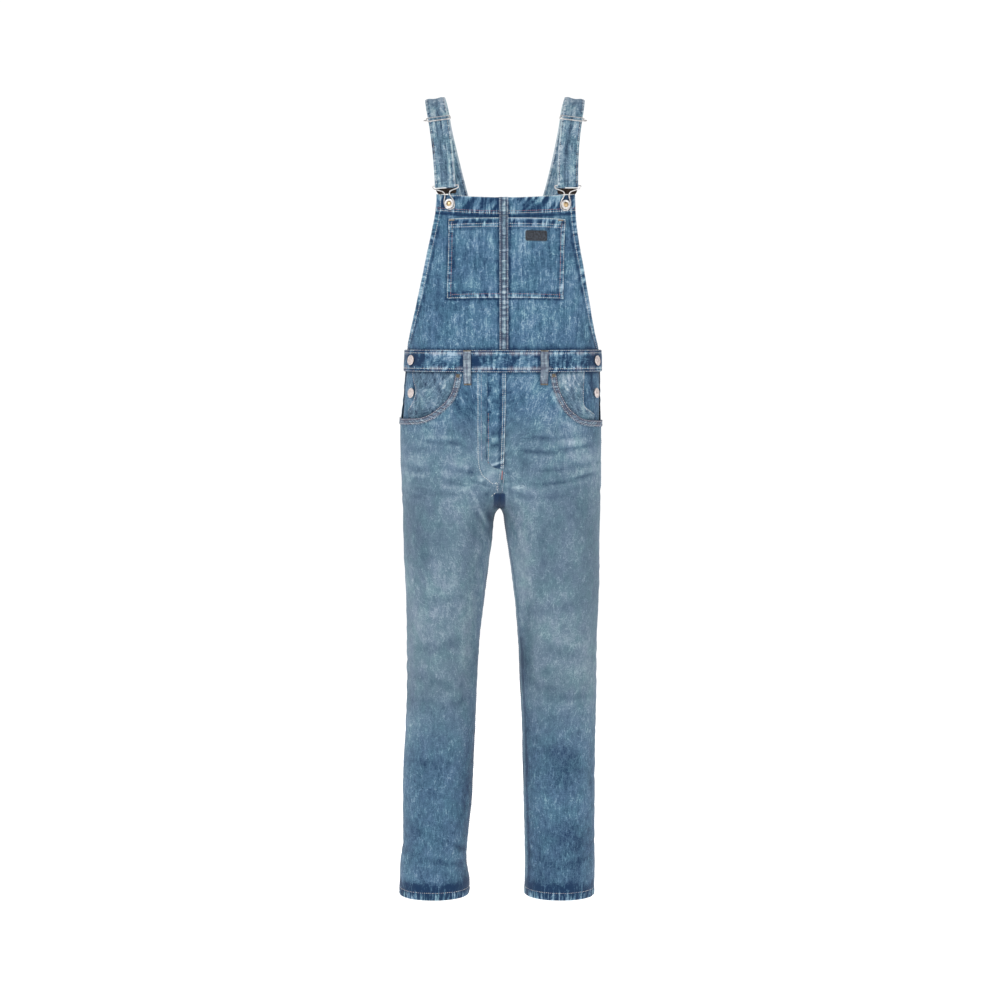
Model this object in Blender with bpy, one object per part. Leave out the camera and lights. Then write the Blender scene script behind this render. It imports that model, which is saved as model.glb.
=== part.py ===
"""Denim dungarees, held up at the shoulders and filled out, with nobody inside them.

Metres, +Z up.  The front faces -Y and the wearer's left is +X.  The origin is on the line
across the shoulders, midway between the undersides of the two straps.

The body of the garment is one smooth surface: at each height the cloth follows a rounded
ring, and every sewn piece is cut from that surface or lies on it.
"""

import math
from collections import namedtuple

import bmesh
import bpy
from mathutils import Vector

# ---------------------------------------------------------------- cloth and seams
WALL = 0.0016                   # one layer of heavy denim
SEAM_GAP = 0.0003               # clearance between pieces that are sewn together
LOOSE_GAP = 0.0008              # clearance of a loose underlap inside a curved panel
LAYER = WALL + SEAM_GAP         # rise from one layer of cloth to the next
HEM_FOLD = 0.0013               # extra thickness where an edge is turned in
STEP_RUN = 0.0005               # length over which a folded edge rises
NORMAL_STEP = 0.0005            # spacing of the points that a normal is taken from
END_CROWDING = 0.06             # how much the columns of a leg crowd towards its seams
SHARP_ANGLE = 40                # degrees between faces that still shade as one
WIRE_SIDES = 6
BUTTON_SIDES = 12

RIGHT = -1                      # the wearer's right is at -X
LEFT = 1
SIDES = (RIGHT, LEFT)
SIDE_NAME = {RIGHT: "right", LEFT: "left"}

# ---------------------------------------------------------------- heights
BAND_TOP_Z = -0.4745            # waistband, at the sides
BAND_BOTTOM_Z = -0.5155
WAIST_SEAM_Z = -0.4985          # where bib and legs meet, under the waistband
WAIST_DIP = 0.0110              # the waist hangs lower at the front than at the sides
WAIST_RISE = 0.0060             # and stands higher at the back
CROTCH_Z = -0.7755
HEM_Z = -1.5055
HEM_HEIGHT = 0.0165

# The seam between the two halves leans a little, as the garment hangs.
CentreRow = namedtuple("CentreRow", "z x")
CENTRE_LINE = (
    CentreRow(-0.190, 0.0010),
    CentreRow(-0.515, 0.0015),
    CentreRow(-0.600, 0.0010),
    CentreRow(-0.700, -0.0020),
    CentreRow(-0.775, -0.0067),
    CentreRow(-0.950, -0.0067),
    CentreRow(-1.140, -0.0085),
    CentreRow(-1.5055, -0.0114),
)

# One ring for each height.  "out" and "in" are how far the outseam and the inseam lie from
# the centre line.  Above the crotch "in" is negative: the ring reaches past the centre line
# and is cut there, so the cut runs from the fly under the crotch to the seat.
BodyRow = namedtuple("BodyRow", "z right_out right_in left_out left_in front back mid square")
BODY = (
    BodyRow(-0.190, 0.1950, -0.1950, 0.1980, -0.1980, -0.1080, 0.1000, 0.000, 2.25),
    BodyRow(-0.340, 0.1900, -0.1900, 0.1890, -0.1890, -0.1070, 0.1000, 0.000, 2.25),
    BodyRow(-0.473, 0.1850, -0.1850, 0.1815, -0.1815, -0.1050, 0.0980, 0.000, 2.25),
    BodyRow(-0.515, 0.1868, -0.1868, 0.1828, -0.1828, -0.1070, 0.1040, 0.000, 2.25),
    BodyRow(-0.570, 0.1915, -0.1820, 0.1845, -0.1750, -0.1100, 0.1190, 0.003, 2.25),
    BodyRow(-0.616, 0.1960, -0.1640, 0.1862, -0.1570, -0.1115, 0.1300, 0.006, 2.25),
    BodyRow(-0.680, 0.1938, -0.1180, 0.1875, -0.1180, -0.1090, 0.1360, 0.010, 2.25),
    BodyRow(-0.740, 0.1880, -0.0500, 0.1907, -0.0500, -0.1020, 0.1270, 0.014, 2.20),
    BodyRow(-0.762, 0.1856, -0.0220, 0.1918, -0.0220, -0.0990, 0.1200, 0.014, 2.20),
    BodyRow(-0.7755, 0.1840, 0.0000, 0.1924, 0.0000, -0.0970, 0.1160, 0.014, 2.20),
    BodyRow(-0.785, 0.1838, 0.0072, 0.1922, 0.0060, -0.0962, 0.1130, 0.013, 2.15),
    BodyRow(-0.798, 0.1838, 0.0104, 0.1920, 0.0086, -0.0955, 0.1110, 0.013, 2.15),
    BodyRow(-0.836, 0.1824, 0.0142, 0.1908, 0.0143, -0.0940, 0.1060, 0.011, 2.15),
    BodyRow(-0.874, 0.1812, 0.0199, 0.1905, 0.0200, -0.0920, 0.1010, 0.009, 2.15),
    BodyRow(-0.950, 0.1768, 0.0294, 0.1886, 0.0295, -0.0870, 0.0910, 0.006, 2.10),
    BodyRow(-1.026, 0.1752, 0.0380, 0.1855, 0.0359, -0.0810, 0.0820, 0.003, 2.10),
    BodyRow(-1.102, 0.1743, 0.0408, 0.1858, 0.0404, -0.0750, 0.0730, 0.000, 2.10),
    BodyRow(-1.178, 0.1755, 0.0438, 0.1850, 0.0449, -0.0715, 0.0700, 0.000, 2.10),
    BodyRow(-1.254, 0.1788, 0.0470, 0.1834, 0.0471, -0.0690, 0.0720, 0.000, 2.10),
    BodyRow(-1.330, 0.1803, 0.0498, 0.1838, 0.0494, -0.0670, 0.0720, 0.000, 2.10),
    BodyRow(-1.406, 0.1796, 0.0570, 0.1848, 0.0522, -0.0650, 0.0680, 0.000, 2.10),
    BodyRow(-1.444, 0.1830, 0.0587, 0.1850, 0.0530, -0.0645, 0.0670, 0.000, 2.10),
    BodyRow(-1.482, 0.1845, 0.0524, 0.1848, 0.0526, -0.0645, 0.0660, 0.000, 2.10),
    BodyRow(-1.5055, 0.1852, 0.0524, 0.1848, 0.0524, -0.0645, 0.0660, 0.000, 2.10),
)

# Soft troughs in the cloth.  "across" is how far the middle of a fold lies from the centre
# line, "reach" and "width" are half its length and breadth, and "slant" is its rise outwards.
FoldRow = namedtuple("FoldRow", "side face across z reach width slant depth")
FRONT, BACK = 1, -1
FOLDS = (
    FoldRow(LEFT, FRONT, 0.118, -0.700, 0.062, 0.020, 0.20, 0.0022),
    FoldRow(LEFT, FRONT, 0.075, -0.735, 0.050, 0.022, 0.42, 0.0020),
    FoldRow(RIGHT, FRONT, 0.112, -0.712, 0.058, 0.020, 0.26, 0.0021),
    FoldRow(RIGHT, FRONT, 0.070, -0.672, 0.045, 0.020, 0.15, 0.0016),
    FoldRow(LEFT, FRONT, 0.112, -1.070, 0.055, 0.034, -0.10, 0.0018),
    FoldRow(RIGHT, FRONT, 0.108, -1.105, 0.052, 0.032, 0.12, 0.0017),
    FoldRow(LEFT, BACK, 0.095, -0.758, 0.070, 0.026, 0.22, 0.0048),
    FoldRow(RIGHT, BACK, 0.090, -0.766, 0.066, 0.024, 0.28, 0.0044),
    FoldRow(LEFT, BACK, 0.080, -0.850, 0.055, 0.040, 0.10, 0.0025),
    FoldRow(LEFT, BACK, 0.112, -1.035, 0.060, 0.034, -0.12, 0.0050),
    FoldRow(LEFT, BACK, 0.108, -1.105, 0.058, 0.032, 0.10, 0.0042),
    FoldRow(RIGHT, BACK, 0.108, -1.030, 0.058, 0.033, 0.10, 0.0046),
    FoldRow(RIGHT, BACK, 0.110, -1.100, 0.058, 0.034, -0.14, 0.0048),
    FoldRow(LEFT, BACK, 0.116, -1.400, 0.050, 0.045, 0.15, 0.0022),
    FoldRow(RIGHT, BACK, 0.114, -1.385, 0.050, 0.042, -0.10, 0.0024),
)

Ring = namedtuple("Ring", "outer inner front back mid square")
Station = namedtuple("Station", "point normal")


# ================================================================ tables
def table_value(rows, column, z):
    """A smooth curve through one column of a table whose rows run downwards in z."""
    if z >= rows[0].z:
        return getattr(rows[0], column)
    if z <= rows[-1].z:
        return getattr(rows[-1], column)
    below = next(index for index, row in enumerate(rows) if row.z <= z)
    first, last = rows[below - 1], rows[below]
    span = last.z - first.z
    start, end = getattr(first, column), getattr(last, column)

    def slope(index):
        before, after = rows[max(index - 1, 0)], rows[min(index + 1, len(rows) - 1)]
        return (getattr(after, column) - getattr(before, column)) / (after.z - before.z)

    part = (z - first.z) / span
    square, cube = part * part, part * part * part
    return (
        (2 * cube - 3 * square + 1) * start
        + (cube - 2 * square + part) * span * slope(below - 1)
        + (3 * square - 2 * cube) * end
        + (cube - square) * span * slope(below)
    )


def smooth_step(low, high, value):
    """0 below low, 1 above high, and a soft rise between them."""
    part = min(1.0, max(0.0, (value - low) / (high - low)))
    return part * part * (3 - 2 * part)


def spread(start, end, count):
    """Evenly spaced values from start to end, both included."""
    return [start + (end - start) * index / (count - 1) for index in range(count)]


def seam_weighted(part):
    """A part of the way across a leg panel, moved nearer to the seam that it is near."""
    return part - END_CROWDING * math.sin(2 * math.pi * part)


# ================================================================ the body surface
def centre_x(z):
    return table_value(CENTRE_LINE, "x", z)


def ring(side, z):
    name = SIDE_NAME[side]
    values = {column: table_value(BODY, column, z) for column in ("front", "back", "mid", "square")}
    return Ring(table_value(BODY, name + "_out", z), table_value(BODY, name + "_in", z), **values)


def fold_depth(side, face, across, z):
    """How deep the folds are at a distance from the centre line and a height."""
    depth = 0.0
    for fold_row in FOLDS:
        if fold_row.side == side and fold_row.face == face:
            along = (across - fold_row.across) / fold_row.reach
            middle = fold_row.z + fold_row.slant * (across - fold_row.across)
            over = (z - middle) / fold_row.width
            if abs(along) < 1 and abs(over) < 1:
                depth += fold_row.depth * ((1 - along * along) * (1 - over * over)) ** 2
    return depth


def body_point(side, angle, z):
    """A point of the cloth's outer face.

    The angle is 0 at the outseam, positive round the front and negative round the back, and
    pi at the inseam.
    """
    at = ring(side, z)
    middle, half = (at.outer + at.inner) / 2, (at.outer - at.inner) / 2
    across, along = math.cos(angle), math.sin(angle)
    reach = abs(across) ** (2 / at.square) * math.copysign(1, across)
    depth = abs(along) ** (2 / at.square)
    edge, face = (at.front, FRONT) if along > 0 else (at.back, BACK)
    distance = middle + half * reach
    return Vector((
        centre_x(z) + side * distance,
        at.mid + (edge - at.mid) * depth + face * fold_depth(side, face, distance, z),
        z,
    ))


def body_station(side, angle, z):
    """The point at an angle and height, with the normal that points out of the garment."""
    turn = NORMAL_STEP / 0.1
    round_it = body_point(side, angle + turn, z) - body_point(side, angle - turn, z)
    down_it = body_point(side, angle, z - NORMAL_STEP) - body_point(side, angle, z + NORMAL_STEP)
    normal = round_it.cross(down_it).normalized() * side
    return Station(body_point(side, angle, z), normal)


def angle_at(side, across, z):
    """The angle at which the ring lies a distance across from the centre line."""
    at = ring(side, z)
    middle, half = (at.outer + at.inner) / 2, (at.outer - at.inner) / 2
    ratio = max(-1.0, min(1.0, (across - middle) / half))
    cosine = abs(ratio) ** (at.square / 2) * math.copysign(1, ratio)
    return math.acos(cosine)


def front_station(x, z):
    """The front of the garment at a signed distance x from the centre line."""
    side = LEFT if x >= 0 else RIGHT
    return body_station(side, angle_at(side, abs(x), z), z)


def back_station(x, z):
    side = LEFT if x >= 0 else RIGHT
    return body_station(side, -angle_at(side, abs(x), z), z)


def seam_angle(side, z):
    """The angle of the inner edge of a front panel; a back panel ends at minus this.

    It is at the inseam on a leg, and where the ring meets the centre line above the crotch.
    """
    if ring(side, z).inner > SEAM_GAP / 2:
        return math.pi - outseam_angle(side, z)
    return angle_at(side, SEAM_GAP / 2, z)


def outseam_angle(side, z):
    """The small angle that leaves half a seam's clearance in front of the outseam."""
    at = ring(side, z)
    return math.asin((SEAM_GAP / 2 / (at.mid - at.front)) ** (at.square / 2))


def slide(side, angle, z, direction, distance):
    """The angle and height that lie a distance away along the cloth."""
    angle_step = (body_point(side, angle + 0.005, z) - body_point(side, angle - 0.005, z)) / 0.01
    z_step = (body_point(side, angle, z + 0.001) - body_point(side, angle, z - 0.001)) / 0.002
    move = direction * distance
    aa, az, zz = angle_step.dot(angle_step), angle_step.dot(z_step), z_step.dot(z_step)
    ma, mz = move.dot(angle_step), move.dot(z_step)
    scale = aa * zz - az * az
    return angle + (ma * zz - mz * az) / scale, z + (mz * aa - ma * az) / scale


def waist_z(height, angle):
    """A height near the waist: the waist dips at the front and rises at the back."""
    across = math.sin(angle)
    return height - (WAIST_DIP if across > 0 else WAIST_RISE) * across


# ================================================================ solids
def new_object(name, mesh, material):
    mesh.materials.append(material)
    mesh.shade_smooth()
    mesh.set_sharp_from_angle(angle=math.radians(SHARP_ANGLE))
    made = bpy.data.objects.new(name, mesh)
    bpy.context.collection.objects.link(made)
    return made


def closed_mesh(name, points, faces):
    """A mesh from points and faces, with its faces turned to point out."""
    work = bmesh.new()
    corners = [work.verts.new(point) for point in points]
    for face in faces:
        work.faces.new([corners[index] for index in face])
    bmesh.ops.recalc_face_normals(work, faces=work.faces)
    mesh = bpy.data.meshes.new(name)
    work.to_mesh(mesh)
    work.free()
    return mesh


def value_at(value, row, column):
    return value(row, column) if callable(value) else value


def cloth(name, grid, low, high, material, half=None):
    """A wall of cloth over a grid of stations.

    low and high are how far its inner and outer faces lie from the body surface: a length,
    or a function of the row and column.  A half piece stays on its side of the centre line.
    """
    rows, columns = len(grid), len(grid[0])
    points = []
    for level in (high, low):
        for row in range(rows):
            for column in range(columns):
                at = grid[row][column]
                point = at.point + at.normal * value_at(level, row, column)
                if half is not None:
                    limit = centre_x(at.point.z)
                    across = max(SEAM_GAP / 2, half * (point.x - limit))
                    point.x = limit + half * across
                points.append(point)

    def corner(layer, row, column):
        return (layer * rows + row) * columns + column

    # Both faces of the wall are split along the same diagonal, so that they never cross.
    faces = []
    for row in range(rows - 1):
        for column in range(columns - 1):
            around = ((row, column), (row + 1, column), (row + 1, column + 1), (row, column + 1))
            outer = [points[corner(0, *place)] for place in around]
            if (outer[0] - outer[2]).length <= (outer[1] - outer[3]).length:
                halves = ((0, 1, 2), (0, 2, 3))
            else:
                halves = ((0, 1, 3), (1, 2, 3))
            for layer in (0, 1):
                for half_face in halves:
                    faces.append([corner(layer, *around[index]) for index in half_face])
    for row in range(rows - 1):
        for column in (0, columns - 1):
            faces.append([
                corner(0, row, column),
                corner(0, row + 1, column),
                corner(1, row + 1, column),
                corner(1, row, column),
            ])
    for column in range(columns - 1):
        for row in (0, rows - 1):
            faces.append([
                corner(0, row, column),
                corner(0, row, column + 1),
                corner(1, row, column + 1),
                corner(1, row, column),
            ])
    return new_object(name, closed_mesh(name, points, faces), material)


def swept(name, sections, material, closed=False):
    """A solid through a row of sections, each a loop of the same number of points."""
    count = len(sections[0])
    points = [point for section in sections for point in section]
    faces = []
    spans = len(sections) if closed else len(sections) - 1
    for index in range(spans):
        here, there = index * count, (index + 1) % len(sections) * count
        for corner in range(count):
            after = (corner + 1) % count
            faces.append([here + corner, here + after, there + after, there + corner])
    if not closed:
        faces.append(list(range(count)))
        faces.append(list(range(len(points) - count, len(points))))
    return new_object(name, closed_mesh(name, points, faces), material)


def wire(name, path, radius, material, closed=False):
    """A round wire along a path."""
    sections = []
    for index, point in enumerate(path):
        before = path[index - 1] if closed or index else point
        after = path[(index + 1) % len(path)] if closed or index + 1 < len(path) else point
        along = (after - before).normalized()
        guide = Vector((0, 1, 0)) if abs(along.y) < 0.9 else Vector((1, 0, 0))
        first = along.cross(guide).normalized()
        second = along.cross(first)
        sections.append([
            point + (first * math.cos(turn) + second * math.sin(turn)) * radius
            for turn in spread(0, 2 * math.pi, WIRE_SIDES + 1)[:-1]
        ])
    return swept(name, sections, material, closed)


def rounded_path(points, rows, closed):
    """Points along the smooth curve through a few points of a route."""
    path = []
    last = len(points)
    for index in range(last if closed else last - 1):
        if closed:
            p0, p1, p2, p3 = (points[(index + step) % last] for step in (-1, 0, 1, 2))
        else:
            p0, p1, p2, p3 = (
                points[min(max(index + step, 0), last - 1)] for step in (-1, 0, 1, 2)
            )
        for step in range(rows):
            t = step / rows
            path.append(
                0.5 * (2 * p1 + (p2 - p0) * t + (2 * p0 - 5 * p1 + 4 * p2 - p3) * t ** 2
                       + (3 * p1 - p0 - 3 * p2 + p3) * t ** 3)
            )
    if not closed:
        path.append(points[-1])
    return path


def turned(name, profile, base, axis, material):
    """A round piece: (radius, height) pairs turned about an axis from a base point."""
    first = axis.orthogonal().normalized()
    second = axis.cross(first)
    sections = []
    for radius, height in profile:
        sections.append([
            base + axis * height + (first * math.cos(turn) + second * math.sin(turn)) * radius
            for turn in spread(0, 2 * math.pi, BUTTON_SIDES + 1)[:-1]
        ])
    return swept(name, sections, material)


# ================================================================ legs
# Heights of the rows of a leg panel, from the waist seam to the hem.
LEG_ROWS = (
    [WAIST_SEAM_Z, -0.520, -0.545, -0.572, -0.600, -0.628, -0.656, -0.684, -0.710, -0.732]
    + [-0.750, -0.762, -0.7700, CROTCH_Z, -0.785, -0.798]
    + [-0.826, -0.864, -0.910, -0.960, -1.000, -1.035, -1.070, -1.105, -1.145, -1.195]
    + [-1.260, -1.325, -1.390, -1.445]
    + [HEM_Z + HEM_HEIGHT + STEP_RUN, HEM_Z + HEM_HEIGHT, HEM_Z]
)
LEG_COLUMNS = 10                # spans across a back panel
PLAIN_COLUMNS = 5               # spans of a front panel between the pocket and the inner seam
PULL_ROWS = 8                   # rows over which the pocket mouth eases into level rows

# The curved mouth of each front pocket: how far from the centre line and how high each of
# its ribs lies, and where the same rib ends on the outer edge of the facing inside it.
MouthRow = namedtuple("MouthRow", "x z edge_x edge_z")
POCKET_MOUTH = {
    RIGHT: (
        MouthRow(0.0815, -0.5130, 0.0930, -0.5103),
        MouthRow(0.0842, -0.5380, 0.1200, -0.5093),
        MouthRow(0.0885, -0.5570, 0.1430, -0.5078),
        MouthRow(0.0940, -0.5710, 0.1600, -0.5062),
        MouthRow(0.1010, -0.5815, 0.1735, -0.5045),
        MouthRow(0.1140, -0.5932, 0.1725, -0.5300),
        MouthRow(0.1310, -0.6060, 0.1660, -0.5550),
        MouthRow(0.1527, -0.6137, 0.1735, -0.5790),
        MouthRow(0.1740, -0.6140, 0.1830, -0.5920),
    ),
    LEFT: (
        MouthRow(0.0885, -0.5130, 0.0990, -0.5103),
        MouthRow(0.0915, -0.5370, 0.1190, -0.5093),
        MouthRow(0.0965, -0.5590, 0.1360, -0.5080),
        MouthRow(0.1060, -0.5800, 0.1507, -0.5063),
        MouthRow(0.1200, -0.5990, 0.1507, -0.5450),
        MouthRow(0.1396, -0.6130, 0.1515, -0.5820),
        MouthRow(0.1560, -0.6172, 0.1640, -0.5930),
        MouthRow(0.1700, -0.6172, 0.1750, -0.5990),
    ),
}
MOUTH_SIDE_RIBS = 3             # ribs between the last row and the outseam
MOUTH_SIDE_Z = {RIGHT: -0.6078, LEFT: -0.6126}      # where the mouth reaches the outseam
MOUTH_BAND_WIDTH = 0.0120
MOUTH_BAND_THICK = 0.0014
FACING_DEPTH = LAYER + SEAM_GAP     # it clears the front panel's flat facets
FACING_UNDERLAP = 0.0060        # how far the facing runs under the front beyond the band


def mouth_line(side):
    """The pocket mouth as (angle, height) pairs, from the waist to the outseam."""
    line = [(angle_at(side, row.x, row.z), row.z) for row in POCKET_MOUTH[side]]
    (last_angle, last_z), end_z = line[-1], MOUTH_SIDE_Z[side]
    end_angle = outseam_angle(side, end_z)
    for part in spread(0.0, 1.0, MOUTH_SIDE_RIBS + 1)[1:]:
        line.append((last_angle + (end_angle - last_angle) * part, last_z + (end_z - last_z) * part ** 2))
    return line


def mouth_edge(side, distance):
    """The mouth line moved into the front panel by a distance, or into the opening."""
    line = mouth_line(side)
    points = [body_point(side, *place) for place in line]
    edge = []
    for index, (angle, z) in enumerate(line):
        before, after = points[max(index - 1, 0)], points[min(index + 1, len(points) - 1)]
        normal = body_station(side, angle, z).normal
        inward = (after - before).cross(normal).normalized() * side
        if index == len(line) - 1:
            edge.append((angle, z - distance))
        else:
            edge.append(slide(side, angle, z, inward, distance))
    return edge


def panel_rows(top_z):
    """The row heights of a column whose top edge lies at top_z."""
    settled = LEG_ROWS[PULL_ROWS]
    stretch = (top_z - settled) / (LEG_ROWS[0] - settled)
    rows = [settled + (z - settled) * stretch for z in LEG_ROWS[:PULL_ROWS]]
    return rows + LEG_ROWS[PULL_ROWS:]


def leg_panel(name, side, tops, direction, material):
    """A front or back leg panel from the (part of the way round, top height) of each column."""
    columns = [(part, panel_rows(top_z)) for part, top_z in tops]
    grid = []
    for row in range(len(LEG_ROWS)):
        stations = []
        for part, heights in columns:
            z = heights[row]
            start, end = outseam_angle(side, z), seam_angle(side, z)
            stations.append(body_station(side, direction * (start + (end - start) * part), z))
        grid.append(stations)
    hem_row = len(LEG_ROWS) - 2

    def inner(row, column):
        return -WALL - (HEM_FOLD if row >= hem_row else 0)

    return cloth(name, grid, inner, 0, material, half=side)


def front_leg(side, material):
    """The front of one leg, cut away along the pocket mouth."""
    tops = []
    for angle, z in reversed(mouth_edge(side, -MOUTH_BAND_WIDTH / 2)):
        start, end = outseam_angle(side, z), seam_angle(side, z)
        tops.append(((angle - start) / (end - start), z))
    tops[0] = (0.0, tops[0][1])
    for part in spread(tops[-1][0], 1.0, PLAIN_COLUMNS + 1)[1:]:
        angle = part * seam_angle(side, WAIST_SEAM_Z)
        tops.append((part, waist_z(WAIST_SEAM_Z, angle)))
    return leg_panel("front_leg_" + SIDE_NAME[side], side, tops, 1, material)


def back_leg(side, material):
    tops = []
    for step in spread(0.0, 1.0, LEG_COLUMNS + 1):
        part = seam_weighted(step)
        angle = -part * seam_angle(side, WAIST_SEAM_Z)
        tops.append((part, waist_z(WAIST_SEAM_Z, angle)))
    return leg_panel("back_leg_" + SIDE_NAME[side], side, tops, -1, material)


def mouth_band(side, material):
    """The narrow bound edge along the pocket mouth, on the front panel."""
    outer = mouth_edge(side, -MOUTH_BAND_WIDTH / 2)
    inner = mouth_edge(side, MOUTH_BAND_WIDTH / 2)
    grid = []
    for first, last in zip(outer, inner):
        row = []
        for part in spread(0.0, 1.0, 4):
            angle = first[0] + (last[0] - first[0]) * part
            z = first[1] + (last[1] - first[1]) * part
            row.append(body_station(side, angle, z))
        grid.append(row)
    # The band starts just under the edge of the waistband.
    first_z = waist_z(BAND_BOTTOM_Z, inner[0][0]) - 2 * SEAM_GAP
    grid[0] = [
        body_station(side, outer[0][0] + (inner[0][0] - outer[0][0]) * part, first_z)
        for part in spread(0.0, 1.0, 4)
    ]
    name = "pocket_mouth_band_" + SIDE_NAME[side]
    return cloth(name, grid, LOOSE_GAP, LOOSE_GAP + MOUTH_BAND_THICK, material)


FACING_COLUMNS = 8


def hip_facing(side, material):
    """The piece of denim that shows inside the pocket mouth."""
    inside = mouth_edge(side, MOUTH_BAND_WIDTH / 2 + FACING_UNDERLAP)
    grid = []
    for (angle, z), row in zip(inside, POCKET_MOUTH[side]):
        edge_angle = angle_at(side, row.edge_x, row.edge_z)
        grid.append([
            body_station(side, angle + (edge_angle - angle) * part, z + (row.edge_z - z) * part)
            for part in spread(0.0, 1.0, FACING_COLUMNS)
        ])
    ribs = len(grid)

    def outer(row, column):
        # The last ribs lie deeper, where the front panel turns quickly round the hip.
        return -FACING_DEPTH - LOOSE_GAP * smooth_step(ribs - 5, ribs - 2, row)

    def inner(row, column):
        return outer(row, column) - WALL

    return cloth("hip_facing_" + SIDE_NAME[side], grid, inner, outer, material)


PLACKET_FRONT_X = {RIGHT: 0.150, LEFT: 0.128}       # front edge, under the facing
PLACKET_BACK_ANGLE = -0.02                          # back edge, just inside the back panel
PLACKET_BOTTOM_Z = {RIGHT: -0.6190, LEFT: -0.6235}
PLACKET_COLUMNS = 8
PLACKET_ROWS = 7
PLACKET_SINK = 0.0016           # its lower end lies deeper, behind the front panel
PLACKET_DEEP = FACING_DEPTH + WALL + LOOSE_GAP      # under the facing
PLACKET_SHALLOW = LAYER + LOOSE_GAP                 # inside the back panel


def placket_depth(part):
    """How deep the outer face of a side placket lies, a part of the way round to the back."""
    return PLACKET_DEEP + (PLACKET_SHALLOW - PLACKET_DEEP) * smooth_step(0.45, 0.85, part)


def side_placket(side, material):
    """The underlap of the side opening, sewn inside the back's front edge."""
    grid = []
    for step in spread(0.0, 1.0, PLACKET_ROWS):
        row = []
        for part in spread(0.0, 1.0, PLACKET_COLUMNS):
            z = WAIST_SEAM_Z
            for _ in range(3):
                front = angle_at(side, PLACKET_FRONT_X[side], z)
                angle = front + (PLACKET_BACK_ANGLE - front) * part
                top = waist_z(WAIST_SEAM_Z, angle) - LOOSE_GAP
                z = top + (PLACKET_BOTTOM_Z[side] - top) * step
            row.append(body_station(side, angle, z))
        grid.append(row)

    def outer(row, column):
        sink = PLACKET_SINK * smooth_step(PLACKET_ROWS - 4, PLACKET_ROWS - 2, row)
        return -placket_depth(column / (PLACKET_COLUMNS - 1)) - sink

    def inner(row, column):
        return outer(row, column) - WALL

    return cloth("side_placket_" + SIDE_NAME[side], grid, inner, outer, material)


# ================================================================ fly
FLY_LEFT_X = -0.0300            # the edge of the overlap, on the wearer's right
FLY_RIGHT_X = 0.0035            # the edge of the fly, by the centre seam
FLY_BOTTOM_Z = -0.6920
FLY_TOE_Z = -0.7030             # where its rounded end meets the centre seam
FLY_THICK = 0.0013
FLY_LIFT = 0.0012               # its lower end bridges the hollow above the crotch
FLY_ROWS = 9
FLY_COLUMNS = 6


def fly_placket(material):
    """The overlap of the fly, with a rounded lower corner."""
    grid = []
    for step in spread(0.0, 1.0, FLY_ROWS):
        row = []
        for part in spread(0.0, 1.0, FLY_COLUMNS):
            x = FLY_LEFT_X + (FLY_RIGHT_X - FLY_LEFT_X) * part
            top = waist_z(BAND_BOTTOM_Z, math.pi / 2) - SEAM_GAP
            bottom = FLY_TOE_Z + (FLY_BOTTOM_Z - FLY_TOE_Z + 0.010) * (1 - part) ** 3
            row.append(front_station(x, top + (bottom - top) * step))
        grid.append(row)

    def inner(row, column):
        return SEAM_GAP + FLY_LIFT * row / (FLY_ROWS - 1)

    def outer(row, column):
        return inner(row, column) + FLY_THICK

    return cloth("fly_placket", grid, inner, outer, material)


# ================================================================ waistband and belt loops
BAND_THICK = 0.0030
BAND_PUFF = 0.0005              # the band is a little fuller between its rows of stitching
BAND_COLUMNS = 19
BAND_PARTS = (0.0, 0.5, 1.0)
BAND_WRAP_ANGLE = -0.010        # the front band ends just behind the outseam
BAND_CROWDING = 1.4             # columns crowd towards the sides, where the band turns
BAND_GAP = 0.0005               # the band clears the panels' flat facets


def band_grid(ends, direction):
    """Stations of a waistband from the wearer's right side round to the left side."""
    grid = []
    for part in BAND_PARTS:
        level = BAND_TOP_Z + (BAND_BOTTOM_Z - BAND_TOP_Z) * part
        row = []
        for side in SIDES:
            middle = angle_at(side, 0.0, level)
            reach = direction * middle - ends
            steps = spread(0.0, 1.0, BAND_COLUMNS)
            angles = [ends + reach * step ** BAND_CROWDING for step in steps]
            if side == LEFT:
                angles = angles[:-1][::-1]
            row += [body_station(side, angle, waist_z(level, angle)) for angle in angles]
        grid.append(row)
    return grid


def band_outer(row, column):
    edge = BAND_PARTS[row] in (0.0, 1.0)
    return BAND_GAP + BAND_THICK + (0 if edge else BAND_PUFF)


def waistband(name, ends, direction, material):
    return cloth(name, band_grid(ends, direction), BAND_GAP, band_outer, material)


BeltLoop = namedtuple("BeltLoop", "name x station")
LOOP_WIDTH = 0.0140
LOOP_THICK = 0.0020
LOOP_DROP = 0.0240              # how far a loop reaches below the waistband
LOOP_BOW = 0.0015
BELT_LOOPS = (
    BeltLoop("belt_loop_front_right", -0.0665, front_station),
    BeltLoop("belt_loop_front_left", 0.0735, front_station),
    BeltLoop("belt_loop_back_right", -0.0700, back_station),
    BeltLoop("belt_loop_back_left", 0.0700, back_station),
)


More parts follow.
